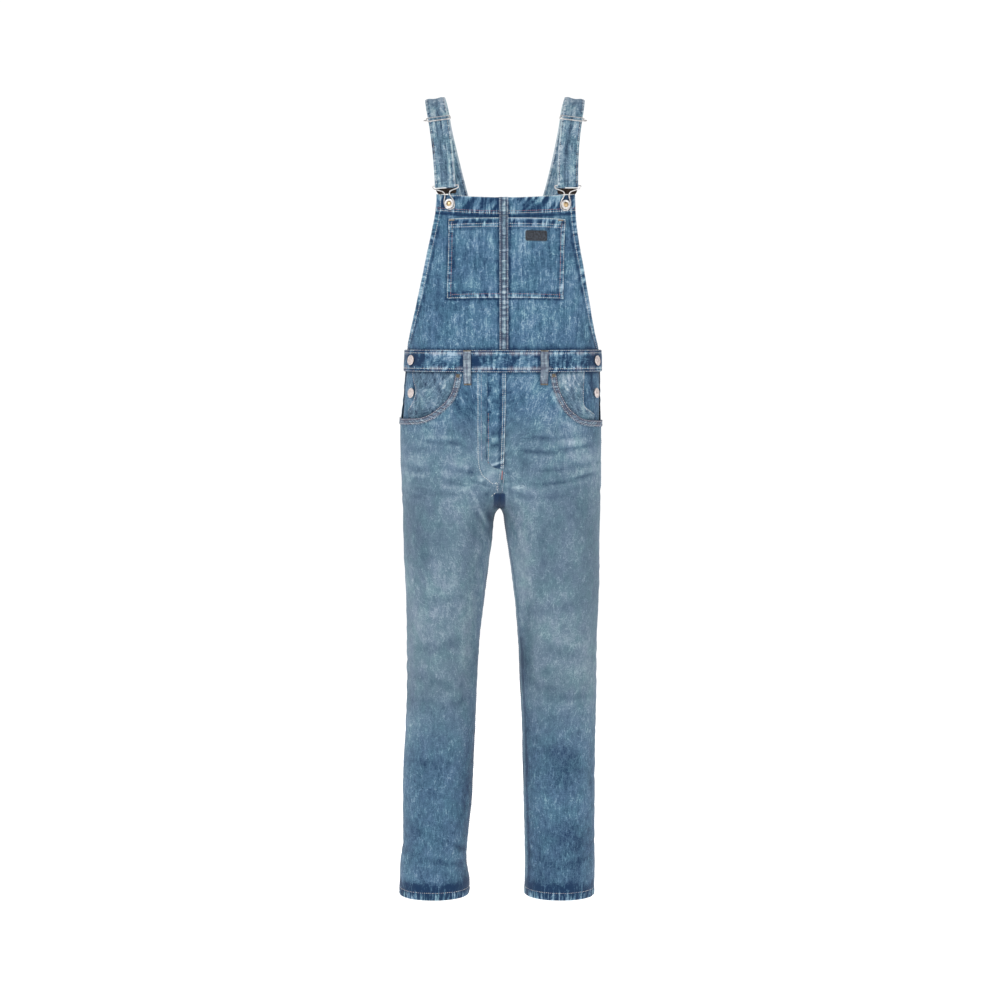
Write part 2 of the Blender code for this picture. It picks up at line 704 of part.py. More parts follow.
def belt_loop(loop, material):
    """A strip that stands over the waistband and is sewn down above and below it."""
    angle = angle_at(LEFT, abs(loop.x), BAND_TOP_Z) * (1 if loop.station is front_station else -1)
    top = waist_z(BAND_TOP_Z, angle) - 0.0005
    band_bottom = waist_z(BAND_BOTTOM_Z, angle)
    heights = [top, top - 0.008, (top + band_bottom) / 2, band_bottom + 0.006]
    heights += [band_bottom - 0.006, band_bottom - 0.014, band_bottom - LOOP_DROP]
    over_band = BAND_GAP + BAND_THICK + BAND_PUFF + SEAM_GAP
    rises = [over_band, over_band, over_band + LOOP_BOW, over_band + 0.0006]
    rises += [over_band - 0.0010, SEAM_GAP + 0.0006, SEAM_GAP]
    grid = []
    for height in heights:
        row = []
        for part in (-0.5, 0.0, 0.5):
            row.append(loop.station(loop.x + LOOP_WIDTH * part, height))
        grid.append(row)

    def inner(row, column):
        return rises[row]

    def outer(row, column):
        return rises[row] + LOOP_THICK

    return cloth(loop.name, grid, inner, outer, material)


# ================================================================ bib
BibRow = namedtuple("BibRow", "z right left")
BIB_EDGE = (
    BibRow(-0.190, 0.1240, 0.1320),
    BibRow(-0.228, 0.1268, 0.1336),
    BibRow(-0.265, 0.1343, 0.1375),
    BibRow(-0.308, 0.1439, 0.1449),
    BibRow(-0.352, 0.1536, 0.1526),
    BibRow(-0.395, 0.1636, 0.1605),
    BibRow(-0.438, 0.1745, 0.1690),
    BibRow(-0.477, 0.1830, 0.1786),
    BibRow(-0.510, 0.1838, 0.1790),
)
BIB_TOP_Z = -0.2050             # in the middle
BIB_CORNER_RISE = 0.0095        # the straps pull the corners up
BIB_SIDE_HEM = 0.0130
BIB_TOP_HEM = 0.0310
BIB_COLUMNS = (0.0, 0.2, 0.4, 0.6, 0.8, 1.0)
BIB_ROWS = 10


def bib_edge(side, z):
    return table_value(BIB_EDGE, SIDE_NAME[side], z)


def bib_top_z(side, across):
    """The height of the bib's top edge at a distance from the centre line."""
    return BIB_TOP_Z + BIB_CORNER_RISE * (across / bib_edge(side, BIB_TOP_Z)) ** 2


def bib_half(side, material):
    grid = []
    for step in range(BIB_ROWS + 2):
        row = []
        for part in BIB_COLUMNS + (None, None):
            z = BIB_TOP_Z
            for _ in range(3):
                edge = bib_edge(side, z)
                hem = edge - BIB_SIDE_HEM
                if part is None:
                    across = hem + STEP_RUN if len(row) == len(BIB_COLUMNS) else edge
                else:
                    across = SEAM_GAP / 2 + (hem - SEAM_GAP / 2) * part
                top = bib_top_z(side, across)
                bottom = waist_z(WAIST_SEAM_Z, angle_at(side, across, WAIST_SEAM_Z)) + SEAM_GAP
                hem_z = top - BIB_TOP_HEM
                if step == 0:
                    z = top
                elif step == 1:
                    z = hem_z
                else:
                    z = hem_z - STEP_RUN + (bottom - hem_z + STEP_RUN) * (step - 2) / (BIB_ROWS - 1)
            row.append(body_station(side, angle_at(side, across, z), z))
        grid.append(row)

    def inner(row, column):
        folded = row <= 1 or column >= len(BIB_COLUMNS)
        return -WALL - (HEM_FOLD if folded else 0)

    return cloth("bib_" + SIDE_NAME[side], grid, inner, 0, material, half=side)


PocketCorner = namedtuple("PocketCorner", "z right left")
BIB_POCKET = (
    PocketCorner(-0.2430, -0.1006, 0.1129),
    PocketCorner(-0.3898, -0.1047, 0.1090),
)
POCKET_HEM = 0.0170
POCKET_BOW = 0.0012             # the mouth stands off a little
POCKET_COLUMNS = 13
POCKET_ROWS = 6


def pocket_edges(z):
    return table_value(BIB_POCKET, "right", z), table_value(BIB_POCKET, "left", z)


def pocket_bow(x, z):
    """How far the pocket stands off the bib."""
    right, left = pocket_edges(z)
    part = (x - right) / (left - right)
    return POCKET_BOW * smooth_step(-0.300, -0.245, z) * 4 * part * (1 - part)


def pocket_outer(x, z):
    """How far the pocket's outer face lies from the bib."""
    hem = HEM_FOLD * smooth_step(-STEP_RUN / 2, STEP_RUN / 2, z - (BIB_POCKET[0].z - POCKET_HEM))
    return LAYER + hem + pocket_bow(x, z)


def bib_pocket(material):
    top, bottom = BIB_POCKET[0].z, BIB_POCKET[1].z
    hem_z = top - POCKET_HEM
    heights = [top, hem_z + STEP_RUN / 2] + spread(hem_z - STEP_RUN / 2, bottom, POCKET_ROWS)
    places = []
    for z in heights:
        right, left = pocket_edges(z)
        places.append([(x, z) for x in spread(right, left, POCKET_COLUMNS)])
    grid = [[front_station(x, z) for x, z in row] for row in places]

    def inner(row, column):
        return SEAM_GAP + pocket_bow(*places[row][column])

    def outer(row, column):
        return pocket_outer(*places[row][column])

    return cloth("bib_pocket", grid, inner, outer, material)


STRIP_HALF_WIDTH = 0.0083
STRIP_THICK = 0.0012
STRIP_RAMP = 0.0040             # length over which the strip climbs on to the pocket


def centre_strip(material):
    """The flat seam strip down the middle of the bib, over the pocket."""
    top, bottom = BIB_POCKET[0].z, BIB_POCKET[1].z
    band_top = waist_z(BAND_TOP_Z, math.pi / 2)
    hem_z = top - POCKET_HEM
    heights = [BIB_TOP_Z, -0.224, top + STRIP_RAMP, top + SEAM_GAP, hem_z + STEP_RUN]
    heights += [hem_z - 2 * STEP_RUN] + spread(-0.275, bottom + 0.010, 4)
    heights += [bottom - SEAM_GAP, bottom - STRIP_RAMP, -0.430, band_top + SEAM_GAP]
    lifted = {3, 4, 5, 6, 7, 8, 9, 10}

    def inner(row, column):
        z = min(top, max(bottom, heights[row]))
        z = top - POCKET_HEM / 2 if row == 4 else z
        return SEAM_GAP + (pocket_outer(0.0, z) if row in lifted else 0)

    def outer(row, column):
        return inner(row, column) + STRIP_THICK

    grid = [
        [front_station(STRIP_HALF_WIDTH * part, z) for part in (-1.0, 0.0, 1.0)]
        for z in heights
    ]
    return cloth("bib_centre_strip", grid, inner, outer, material)


# ================================================================ plaque
PLAQUE_X = 0.0592
PLAQUE_Z = -0.2755
PLAQUE_SIZE = (0.0400, 0.0190)
PLAQUE_CORNER = 0.0030
PLAQUE_THICK = 0.0018
CORNER_STEPS = 4


def plaque(material):
    """A plain plate with rounded corners on the bib pocket."""
    seat = front_station(PLAQUE_X, PLAQUE_Z)
    ends = [front_station(PLAQUE_X + side * PLAQUE_SIZE[0] / 2, PLAQUE_Z).point for side in SIDES]
    right = ends[1] - ends[0]
    right = (right - seat.normal * right.dot(seat.normal)).normalized()
    up = right.cross(-seat.normal).normalized()
    up = up if up.z > 0 else -up
    outline = []
    for turn, (sign_x, sign_y) in enumerate(((1, 1), (-1, 1), (-1, -1), (1, -1))):
        centre_x_part = sign_x * (PLAQUE_SIZE[0] / 2 - PLAQUE_CORNER)
        centre_y_part = sign_y * (PLAQUE_SIZE[1] / 2 - PLAQUE_CORNER)
        for angle in spread(turn * math.pi / 2, (turn + 1) * math.pi / 2, CORNER_STEPS):
            outline.append((
                centre_x_part + PLAQUE_CORNER * math.cos(angle),
                centre_y_part + PLAQUE_CORNER * math.sin(angle),
            ))
    # The flat plate touches the curved pocket in the middle and is clear of it at its ends.
    base = pocket_outer(PLAQUE_X, PLAQUE_Z) + SEAM_GAP
    levels = ((base, 1.0), (base + PLAQUE_THICK * 0.7, 1.0), (base + PLAQUE_THICK, 0.94))
    sections = [
        [seat.point + seat.normal * rise + right * x * size + up * y * size for x, y in outline]
        for rise, size in levels
    ]
    return swept("pocket_plaque", sections, material)


# ================================================================ back bib
BackRow = namedtuple("BackRow", "z half")
BACK_BIB = (
    BackRow(-0.350, 0.0610),
    BackRow(-0.372, 0.0630),
    BackRow(-0.400, 0.0760),
    BackRow(-0.425, 0.0960),
    BackRow(-0.450, 0.1250),
    BackRow(-0.468, 0.1560),
    BackRow(-0.482, 0.1720),
    BackRow(-0.510, 0.1760),
)
BACK_BIB_COLUMNS = 15
BACK_BIB_ROWS = 11


def back_bib(material):
    """The shield-shaped back that rises from the waistband and carries both straps."""
    grid = []
    for step in spread(0.0, 1.0, BACK_BIB_ROWS):
        row = []
        for part in spread(-1.0, 1.0, BACK_BIB_COLUMNS):
            z = BACK_BIB[0].z
            for _ in range(4):
                x = part * table_value(BACK_BIB, "half", z)
                angle = -angle_at(LEFT if x >= 0 else RIGHT, abs(x), WAIST_SEAM_Z)
                bottom = waist_z(WAIST_SEAM_Z, angle) + SEAM_GAP
                z = BACK_BIB[0].z + (bottom - BACK_BIB[0].z) * step
            row.append(back_station(x, z))
        grid.append(row)
    return cloth("back_bib", grid, -WALL, 0, material)


# ================================================================ straps
# The underside of a strap from the back bib over the shoulder to the buckle.  x is measured
# from the middle of the two straps, and tilt is how far its outer edge drops, in degrees.
StrapRow = namedtuple("StrapRow", "x y z tilt")
STRAP = (
    StrapRow(0.0400, 0.1008, -0.3860, 0.0),
    StrapRow(0.0415, 0.1018, -0.3500, 0.0),
    StrapRow(0.0540, 0.1120, -0.2900, 0.0),
    StrapRow(0.0745, 0.1195, -0.2200, 0.0),
    StrapRow(0.0945, 0.1180, -0.1550, 2.0),
    StrapRow(0.1100, 0.1030, -0.0950, 4.0),
    StrapRow(0.1215, 0.0770, -0.0450, 7.0),
    StrapRow(0.1270, 0.0420, -0.0130, 9.0),
    StrapRow(0.1315, 0.0000, -0.0010, 9.0),
    StrapRow(0.1310, -0.0330, -0.0100, 7.0),
    StrapRow(0.1280, -0.0580, -0.0310, 4.0),
    StrapRow(0.1215, -0.0805, -0.0700, 1.0),
    StrapRow(0.1165, -0.0910, -0.1100, 0.0),
    StrapRow(0.1138, -0.0955, -0.1500, 0.0),
    StrapRow(0.1127, -0.0975, -0.1830, 0.0),
)
StrapMiddle = namedtuple("StrapMiddle", "z x")
STRAP_MIDDLE = (
    StrapMiddle(0.000, 0.0035),
    StrapMiddle(-0.110, 0.0045),
    StrapMiddle(-0.190, 0.0065),
    StrapMiddle(-0.240, 0.0075),
    StrapMiddle(-0.350, 0.0020),
)
BACK_MIDDLE = (
    StrapMiddle(0.000, 0.0035),
    StrapMiddle(-0.150, 0.0055),
    StrapMiddle(-0.350, 0.0015),
)
STRAP_WIDTH = 0.0380
STRAP_THICK = 0.0018
STRAP_STEPS = 2                 # sections between two rows of the table
BODY_AXIS_Z = -0.130            # straps face away from this height inside the shoulders

WIRE_RADIUS = 0.0011
FOLD_STEPS = 5
FOLD_RADIUS = WIRE_RADIUS + SEAM_GAP        # inner radius where a strap turns round a bar
SLIDER_REST = 0.1290            # distance of the slider's bar from the buckle bar
TUCK = 0.0130                   # length of the strap's end behind the slider's bar

Section = namedtuple("Section", "point normal across")


def strap_path(side):
    """Sections along the underside of a strap, from the back bib to the buckle bar."""
    knots = []
    for row in STRAP:
        middle = table_value(BACK_MIDDLE if row.y > 0 else STRAP_MIDDLE, "x", row.z)
        knots.append(Vector((middle + side * row.x, row.y, row.z)))
    path = rounded_path(knots, STRAP_STEPS, closed=False)
    sections = []
    for index, point in enumerate(path):
        row = min(index / STRAP_STEPS, len(STRAP) - 1)
        first = STRAP[int(row)]
        second = STRAP[min(int(row) + 1, len(STRAP) - 1)]
        tilt = math.radians(first.tilt + (second.tilt - first.tilt) * (row - int(row)))
        along = (path[min(index + 1, len(path) - 1)] - path[max(index - 1, 0)]).normalized()
        across = Vector((side * math.cos(tilt), 0, -math.sin(tilt)))
        across = (across - along * across.dot(along)).normalized()
        normal = across.cross(along).normalized()
        outward = Vector((0, point.y, point.z - BODY_AXIS_Z))
        if index < 4:
            outward = Vector((0, 1, 0))
        if normal.dot(outward) < 0:
            normal = -normal
        sections.append(Section(point, normal, across))
    return sections


def path_at(sections, distance):
    """The section a distance back from the end of a path, between its own sections."""
    left = distance
    for index in range(len(sections) - 1, 0, -1):
        last, first = sections[index], sections[index - 1]
        span = (last.point - first.point).length
        if left <= span:
            part = left / span
            mixed = [a + (b - a) * part for a, b in zip(last, first)]
            return Section(mixed[0], mixed[1].normalized(), mixed[2].normalized())
        left -= span
    return sections[0]


def knot_distances(sections):
    """How far each section of a path lies back from its end."""
    lengths = [0.0]
    for index in range(len(sections) - 1, 0, -1):
        step = (sections[index].point - sections[index - 1].point).length
        lengths.append(lengths[-1] + step)
    return lengths[1:]


def fold(centre, start, across, turn_axis, radius):
    """Sections of a strap that turns half a circle round a bar."""
    sections = []
    for turn in spread(0.0, math.pi, FOLD_STEPS)[1:-1]:
        away = start * math.cos(turn) + turn_axis * math.sin(turn)
        sections.append(Section(centre + away * radius, -away, across))
    return sections


def return_rise(distance):
    """How far the returning layer's outer face lies from the strap's underside.

    The distance is measured up from the buckle bar.
    """
    doubled = 2 * STRAP_THICK + LOOSE_GAP
    at_buckle = 2 * (STRAP_THICK + FOLD_RADIUS)
    below = SLIDER_REST - distance
    tucked = doubled + STRAP_THICK + SEAM_GAP
    at_slider = tucked + 2 * WIRE_RADIUS + SEAM_GAP
    rise = doubled + (at_buckle - doubled) * (1 - smooth_step(0.0, 0.014, distance))
    rise += (tucked + 0.0004 - doubled) * smooth_step(0.0, 1.0, (TUCK + 0.012 - below) / 0.010)
    rise += (at_slider - tucked - 0.0004) * smooth_step(0.0, 1.0, (TUCK + 0.002 - below) / 0.012)
    return rise


def strap_sections(side):
    """The whole strap: down to the buckle bar, round it, and up round the slider's bar."""
    down = strap_path(side)
    end = down[-1]
    tangent = (down[-1].point - down[-2].point).normalized()
    bar = end.point + end.normal * (STRAP_THICK + FOLD_RADIUS)
    sections = down + fold(bar, -end.normal, end.across, tangent, STRAP_THICK + FOLD_RADIUS)
    distances = [0.0, 0.006, 0.014]
    distances += [length for length in knot_distances(down) if 0.018 < length < SLIDER_REST - 0.026]
    distances += [SLIDER_REST - back for back in (0.022, 0.016, 0.009, 0.003, 0.0)]
    for distance in distances:
        at = path_at(down, distance)
        outer = at.point + at.normal * return_rise(distance)
        sections.append(Section(outer, -at.normal, at.across))
    at = path_at(down, SLIDER_REST)
    up = (path_at(down, SLIDER_REST + 0.003).point - path_at(down, SLIDER_REST - 0.003).point)
    bar_rise = return_rise(SLIDER_REST) - STRAP_THICK - SEAM_GAP - WIRE_RADIUS
    slider_bar = at.point + at.normal * bar_rise
    radius = return_rise(SLIDER_REST) - bar_rise
    sections += fold(slider_bar, at.normal, at.across, up.normalized(), radius)
    for distance in (SLIDER_REST, SLIDER_REST - TUCK / 2, SLIDER_REST - TUCK):
        low = path_at(down, distance)
        rise = STRAP_THICK + SEAM_GAP
        sections.append(Section(low.point + low.normal * rise, low.normal, low.across))
    return sections, bar, slider_bar


def strap(side, material):
    sections, _, _ = strap_sections(side)
    half = STRAP_WIDTH / 2
    loops = []
    for at in sections:
        top = at.point + at.normal * STRAP_THICK
        loops.append([
            at.point - at.across * half, at.point + at.across * half,
            top + at.across * half, top - at.across * half,
        ])
    return swept("strap_" + SIDE_NAME[side], loops, material)


# ================================================================ slider and buckle
SLIDER_HALF_WIDTH = 0.0222
SLIDER_REACH = 0.0065           # from its bar to the wires above and below
EYELET_REACH = 0.0270           # the small loop on its outer side


def slider_frame_path(side):
    """The wire frame of a slider: below, outer side with an eyelet, above, inner side."""
    down = strap_path(side)
    _, _, bar = strap_sections(side)
    at = path_at(down, SLIDER_REST)
    up = path_at(down, SLIDER_REST + 0.003).point - path_at(down, SLIDER_REST - 0.003).point
    up = (up - at.across * up.dot(at.across)).normalized()
    bar_rise = (bar - at.point).dot(at.normal)
    low_rise = return_rise(SLIDER_REST - SLIDER_REACH) + SEAM_GAP + WIRE_RADIUS - bar_rise
    high_rise = STRAP_THICK + SEAM_GAP + WIRE_RADIUS - bar_rise
    wide, reach = SLIDER_HALF_WIDTH, SLIDER_REACH
    corners = (
        (-wide + 0.002, -reach, low_rise),
        (0.0, -reach, low_rise),
        (wide - 0.002, -reach, low_rise),
        (EYELET_REACH - 0.001, -reach + 0.0015, low_rise * 0.9),
        (EYELET_REACH, -reach + 0.0045, low_rise * 0.6),
        (wide + 0.0005, 0.0, 0.0),
        (wide - 0.0005, reach * 0.7, high_rise * 0.7),
        (wide - 0.003, reach, high_rise),
        (0.0, reach, high_rise),
        (-wide + 0.003, reach, high_rise),
        (-wide + 0.0005, reach * 0.7, high_rise * 0.7),
        (-wide, 0.0, 0.0),
        (-wide, -reach * 0.7, low_rise * 0.7),
    )
    return bar, at, [bar + at.across * w + up * d + at.normal * o for w, d, o in corners]


def slider(side, material):
    """A wire frame with a bar across its middle, joined at the bar's ends."""
    bar, at, frame = slider_frame_path(side)
    name = "slider_" + SIDE_NAME[side]
    made = wire(name, rounded_path(frame, 2, closed=True), WIRE_RADIUS, material, closed=True)
    reach = at.across * SLIDER_HALF_WIDTH
    centre = wire(name + "_bar_guide", [bar - reach, bar, bar + reach], WIRE_RADIUS, material)
    centre.hide_render = True
    centre.display_type = "WIRE"
    union = made.modifiers.new("bar", "BOOLEAN")
    union.operation = "UNION"
    union.object = centre
    return made


BUCKLE_HALF_BAR = 0.0225
Place = namedtuple("Place", "x z")
BIB_BUTTON = {RIGHT: Place(-0.0992, -0.2157), LEFT: Place(0.1129, -0.2168)}
# Half of a buckle's wire: its distance from the middle, and how far down towards the button.
BUCKLE_HALF = (
    (0.0120, 0.0), (BUCKLE_HALF_BAR, 0.0), (0.0236, 0.0018), (0.0215, 0.0048),
    (0.0130, 0.0075), (0.0068, 0.0100), (0.0046, 0.0140), (0.0058, 0.0190),
    (0.0086, 0.0250), (0.0094, 0.0310), (0.0070, 0.0375),
)
BUCKLE_TOE = 0.0402


def above_bib(point):
    """The point, moved out where a wire there would touch the bib."""
    seat = front_station(point.x - centre_x(point.z), point.z)
    rise = (point - seat.point).dot(seat.normal)
    return point + seat.normal * max(0.0, WIRE_RADIUS + LOOSE_GAP - rise)


def buckle(side, material):
    """A wire hook: a bar through the strap's fold, and a loop round the bib button."""
    _, bar, _ = strap_sections(side)
    top = strap_path(side)[-1]
    place = BIB_BUTTON[side]
    seat = front_station(place.x, place.z)
    target = seat.point + seat.normal * (WIRE_RADIUS + LOOSE_GAP)
    reach = BUCKLE_HALF[-2][1]
    down = (target - bar) / reach
    low_across = (top.across - seat.normal * top.across.dot(seat.normal)).normalized()
    points = []
    route = [(w, d) for w, d in BUCKLE_HALF] + [(0.0, BUCKLE_TOE)]
    route += [(-w, d) for w, d in reversed(BUCKLE_HALF)]
    for w, d in route:
        part = smooth_step(0.004, 0.016, d)
        across = top.across + (low_across - top.across) * part
        point = bar + down * d + across * w
        points.append(above_bib(point) if point.z < BIB_TOP_Z + BIB_CORNER_RISE else point)
    path = rounded_path(points, 2, closed=True)
    return wire("buckle_" + SIDE_NAME[side], path, WIRE_RADIUS, material, closed=True)


# ================================================================ buttons
BIB_BUTTON_PROFILE = (
    (0.0032, 0.0003), (0.0032, 0.0032), (0.0082, 0.0034), (0.0088, 0.0044),
    (0.0076, 0.0056), (0.0040, 0.0062), (0.0012, 0.0063),
)
SIDE_BUTTON_PROFILE = (
    (0.0036, 0.0016), (0.0088, 0.0018), (0.0094, 0.0028),
    (0.0082, 0.0040), (0.0045, 0.0047), (0.0012, 0.0048),
)
SideButton = namedtuple("SideButton", "name side x z seat")
ON_BAND = BAND_GAP + BAND_THICK + BAND_PUFF
SIDE_BUTTONS = (
    SideButton("side_button_upper_right", RIGHT, 0.1688, -0.4994, ON_BAND),
    SideButton("side_button_upper_left", LEFT, 0.1698, -0.4997, ON_BAND),
    SideButton("side_button_lower_right", RIGHT, 0.1734, -0.5601, -FACING_DEPTH),
    SideButton("side_button_lower_left", LEFT, 0.1739, -0.5593, -FACING_DEPTH),
)


def button_foot(button):
    """Where a side button's shank is sewn: to the waistband, or to the placket inside."""
    if button.seat == ON_BAND:
        return button.seat
    front = angle_at(button.side, PLACKET_FRONT_X[button.side], button.z)
    angle = angle_at(button.side, button.x, button.z)
    return -placket_depth((front - angle) / (front - PLACKET_BACK_ANGLE))


def buttons(material):
    for side in SIDES:
        place = BIB_BUTTON[side]
        seat = front_station(place.x, place.z)
        turned("bib_button_" + SIDE_NAME[side], BIB_BUTTON_PROFILE, seat.point, seat.normal, material)
    for button in SIDE_BUTTONS:
        seat = front_station(button.side * button.x, button.z)
        foot = (SIDE_BUTTON_PROFILE[0][0], button_foot(button) - button.seat + SEAM_GAP)
        profile = (foot,) + SIDE_BUTTON_PROFILE
        base = seat.point + seat.normal * button.seat
        turned(button.name, profile, base, seat.normal, material)


# ================================================================ materials
def finish(name, colour, roughness, metallic):
    material = bpy.data.materials.new(name)
    material.use_nodes = True
    shader = material.node_tree.nodes["Principled BSDF"]
    shader.inputs["Base Color"].default_value = (*colour, 1.0)
    shader.inputs["Roughness"].default_value = roughness
    shader.inputs["Metallic"].default_value = metallic
    return material


def main():
    for old in list(bpy.data.objects):
        bpy.data.objects.remove(old)
    denim = finish("denim", (0.110, 0.200, 0.290), 0.85, 0.0)
    pale_denim = finish("pale_denim", (0.170, 0.260, 0.340), 0.85, 0.0)
    steel = finish("steel", (0.560, 0.550, 0.530), 0.30, 1.0)
    enamel = finish("enamel", (0.010, 0.014, 0.020), 0.25, 0.0)
    for side in SIDES:
        front_leg(side, denim)
        back_leg(side, denim)
        hip_facing(side, pale_denim)
        side_placket(side, denim)
        mouth_band(side, pale_denim)
        bib_half(side, denim)
        strap(side, pale_denim)
        slider(side, steel)
        buckle(side, steel)
    fly_placket(denim)
    waistband("waistband_front", BAND_WRAP_ANGLE, 1, denim)
    waistband("waistband_back", BAND_WRAP_ANGLE - 0.012, -1, denim)
    for loop in BELT_LOOPS:
        belt_loop(loop, pale_denim)
    bib_pocket(denim)
    centre_strip(pale_denim)
    back_bib(denim)
    plaque(enamel)
    buttons(steel)


main()
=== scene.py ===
"""Looks of the denim dungarees: fine cloth, stitching, hardware, light and camera.

Metres, +Z up, the front towards -Y, the wearer's left at +X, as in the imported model.
"""

import math

import bpy
import numpy as np
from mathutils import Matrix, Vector
from mathutils.bvhtree import BVHTree


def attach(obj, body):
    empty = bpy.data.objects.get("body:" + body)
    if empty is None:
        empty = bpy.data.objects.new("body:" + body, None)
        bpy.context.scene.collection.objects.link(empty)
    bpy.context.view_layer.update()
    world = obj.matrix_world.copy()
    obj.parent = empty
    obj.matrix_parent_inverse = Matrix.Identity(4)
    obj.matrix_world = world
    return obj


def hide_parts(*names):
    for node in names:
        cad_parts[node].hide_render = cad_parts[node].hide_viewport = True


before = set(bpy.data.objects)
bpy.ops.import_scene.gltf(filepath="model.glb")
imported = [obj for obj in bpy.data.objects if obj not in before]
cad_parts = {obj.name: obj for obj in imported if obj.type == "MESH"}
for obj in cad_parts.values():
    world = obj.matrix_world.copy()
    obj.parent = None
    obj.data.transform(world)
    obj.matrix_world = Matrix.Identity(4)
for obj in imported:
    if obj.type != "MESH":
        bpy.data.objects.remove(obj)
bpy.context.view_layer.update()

# ---------------------------------------------------------------- sizes shared with the solids
WALL = 0.0016
SEAM_GAP = 0.0003
LOOSE_GAP = 0.0008
LAYER = WALL + SEAM_GAP
HEM_FOLD = 0.0013
BAND_TOP_Z = -0.4745
BAND_BOTTOM_Z = -0.5155
WAIST_SEAM_Z = -0.4985
WAIST_DIP = 0.0110
WAIST_RISE = 0.0060
CROTCH_Z = -0.7755
HEM_Z = -1.5055
HEM_HEIGHT = 0.0165

RIGHT = -1
LEFT = 1
SIDES = (RIGHT, LEFT)
SIDE_NAME = {RIGHT: "right", LEFT: "left"}
FRONT, BACK = 1, -1

CENTRE_LINE = np.array((         # z, x
    (-0.190, 0.0010), (-0.515, 0.0015), (-0.600, 0.0010), (-0.700, -0.0020),
    (-0.775, -0.0067), (-0.950, -0.0067), (-1.140, -0.0085), (-1.5055, -0.0114),
))

# z, right_out, right_in, left_out, left_in, front, back, mid, square
BODY = np.array((
    (-0.190, 0.1950, -0.1950, 0.1980, -0.1980, -0.1080, 0.1000, 0.000, 2.25),
    (-0.340, 0.1900, -0.1900, 0.1890, -0.1890, -0.1070, 0.1000, 0.000, 2.25),
    (-0.473, 0.1850, -0.1850, 0.1815, -0.1815, -0.1050, 0.0980, 0.000, 2.25),
    (-0.515, 0.1868, -0.1868, 0.1828, -0.1828, -0.1070, 0.1040, 0.000, 2.25),
    (-0.570, 0.1915, -0.1820, 0.1845, -0.1750, -0.1100, 0.1190, 0.003, 2.25),
    (-0.616, 0.1960, -0.1640, 0.1862, -0.1570, -0.1115, 0.1300, 0.006, 2.25),
    (-0.680, 0.1938, -0.1180, 0.1875, -0.1180, -0.1090, 0.1360, 0.010, 2.25),
    (-0.740, 0.1880, -0.0500, 0.1907, -0.0500, -0.1020, 0.1270, 0.014, 2.20),
    (-0.762, 0.1856, -0.0220, 0.1918, -0.0220, -0.0990, 0.1200, 0.014, 2.20),
    (-0.7755, 0.1840, 0.0000, 0.1924, 0.0000, -0.0970, 0.1160, 0.014, 2.20),
    (-0.785, 0.1838, 0.0072, 0.1922, 0.0060, -0.0962, 0.1130, 0.013, 2.15),
    (-0.798, 0.1838, 0.0104, 0.1920, 0.0086, -0.0955, 0.1110, 0.013, 2.15),
    (-0.836, 0.1824, 0.0142, 0.1908, 0.0143, -0.0940, 0.1060, 0.011, 2.15),
    (-0.874, 0.1812, 0.0199, 0.1905, 0.0200, -0.0920, 0.1010, 0.009, 2.15),
    (-0.950, 0.1768, 0.0294, 0.1886, 0.0295, -0.0870, 0.0910, 0.006, 2.10),
    (-1.026, 0.1752, 0.0380, 0.1855, 0.0359, -0.0810, 0.0820, 0.003, 2.10),
    (-1.102, 0.1743, 0.0408, 0.1858, 0.0404, -0.0750, 0.0730, 0.000, 2.10),
    (-1.178, 0.1755, 0.0438, 0.1850, 0.0449, -0.0715, 0.0700, 0.000, 2.10),
    (-1.254, 0.1788, 0.0470, 0.1834, 0.0471, -0.0690, 0.0720, 0.000, 2.10),
    (-1.330, 0.1803, 0.0498, 0.1838, 0.0494, -0.0670, 0.0720, 0.000, 2.10),
    (-1.406, 0.1796, 0.0570, 0.1848, 0.0522, -0.0650, 0.0680, 0.000, 2.10),
    (-1.444, 0.1830, 0.0587, 0.1850, 0.0530, -0.0645, 0.0670, 0.000, 2.10),
    (-1.482, 0.1845, 0.0524, 0.1848, 0.0526, -0.0645, 0.0660, 0.000, 2.10),
    (-1.5055, 0.1852, 0.0524, 0.1848, 0.0524, -0.0645, 0.0660, 0.000, 2.10),
))

# side, face, across, z, reach, width, slant, depth
FOLDS = (
    (LEFT, FRONT, 0.118, -0.700, 0.062, 0.020, 0.20, 0.0022),
    (LEFT, FRONT, 0.075, -0.735, 0.050, 0.022, 0.42, 0.0020),
    (RIGHT, FRONT, 0.112, -0.712, 0.058, 0.020, 0.26, 0.0021),
    (RIGHT, FRONT, 0.070, -0.672, 0.045, 0.020, 0.15, 0.0016),
    (LEFT, FRONT, 0.112, -1.070, 0.055, 0.034, -0.10, 0.0018),
    (RIGHT, FRONT, 0.108, -1.105, 0.052, 0.032, 0.12, 0.0017),
    (LEFT, BACK, 0.095, -0.758, 0.070, 0.026, 0.22, 0.0048),
    (RIGHT, BACK, 0.090, -0.766, 0.066, 0.024, 0.28, 0.0044),
    (LEFT, BACK, 0.080, -0.850, 0.055, 0.040, 0.10, 0.0025),
    (LEFT, BACK, 0.112, -1.035, 0.060, 0.034, -0.12, 0.0050),
    (LEFT, BACK, 0.108, -1.105, 0.058, 0.032, 0.10, 0.0042),
    (RIGHT, BACK, 0.108, -1.030, 0.058, 0.033, 0.10, 0.0046),
    (RIGHT, BACK, 0.110, -1.100, 0.058, 0.034, -0.14, 0.0048),
    (LEFT, BACK, 0.116, -1.400, 0.050, 0.045, 0.15, 0.0022),
    (RIGHT, BACK, 0.114, -1.385, 0.050, 0.042, -0.10, 0.0024),
)


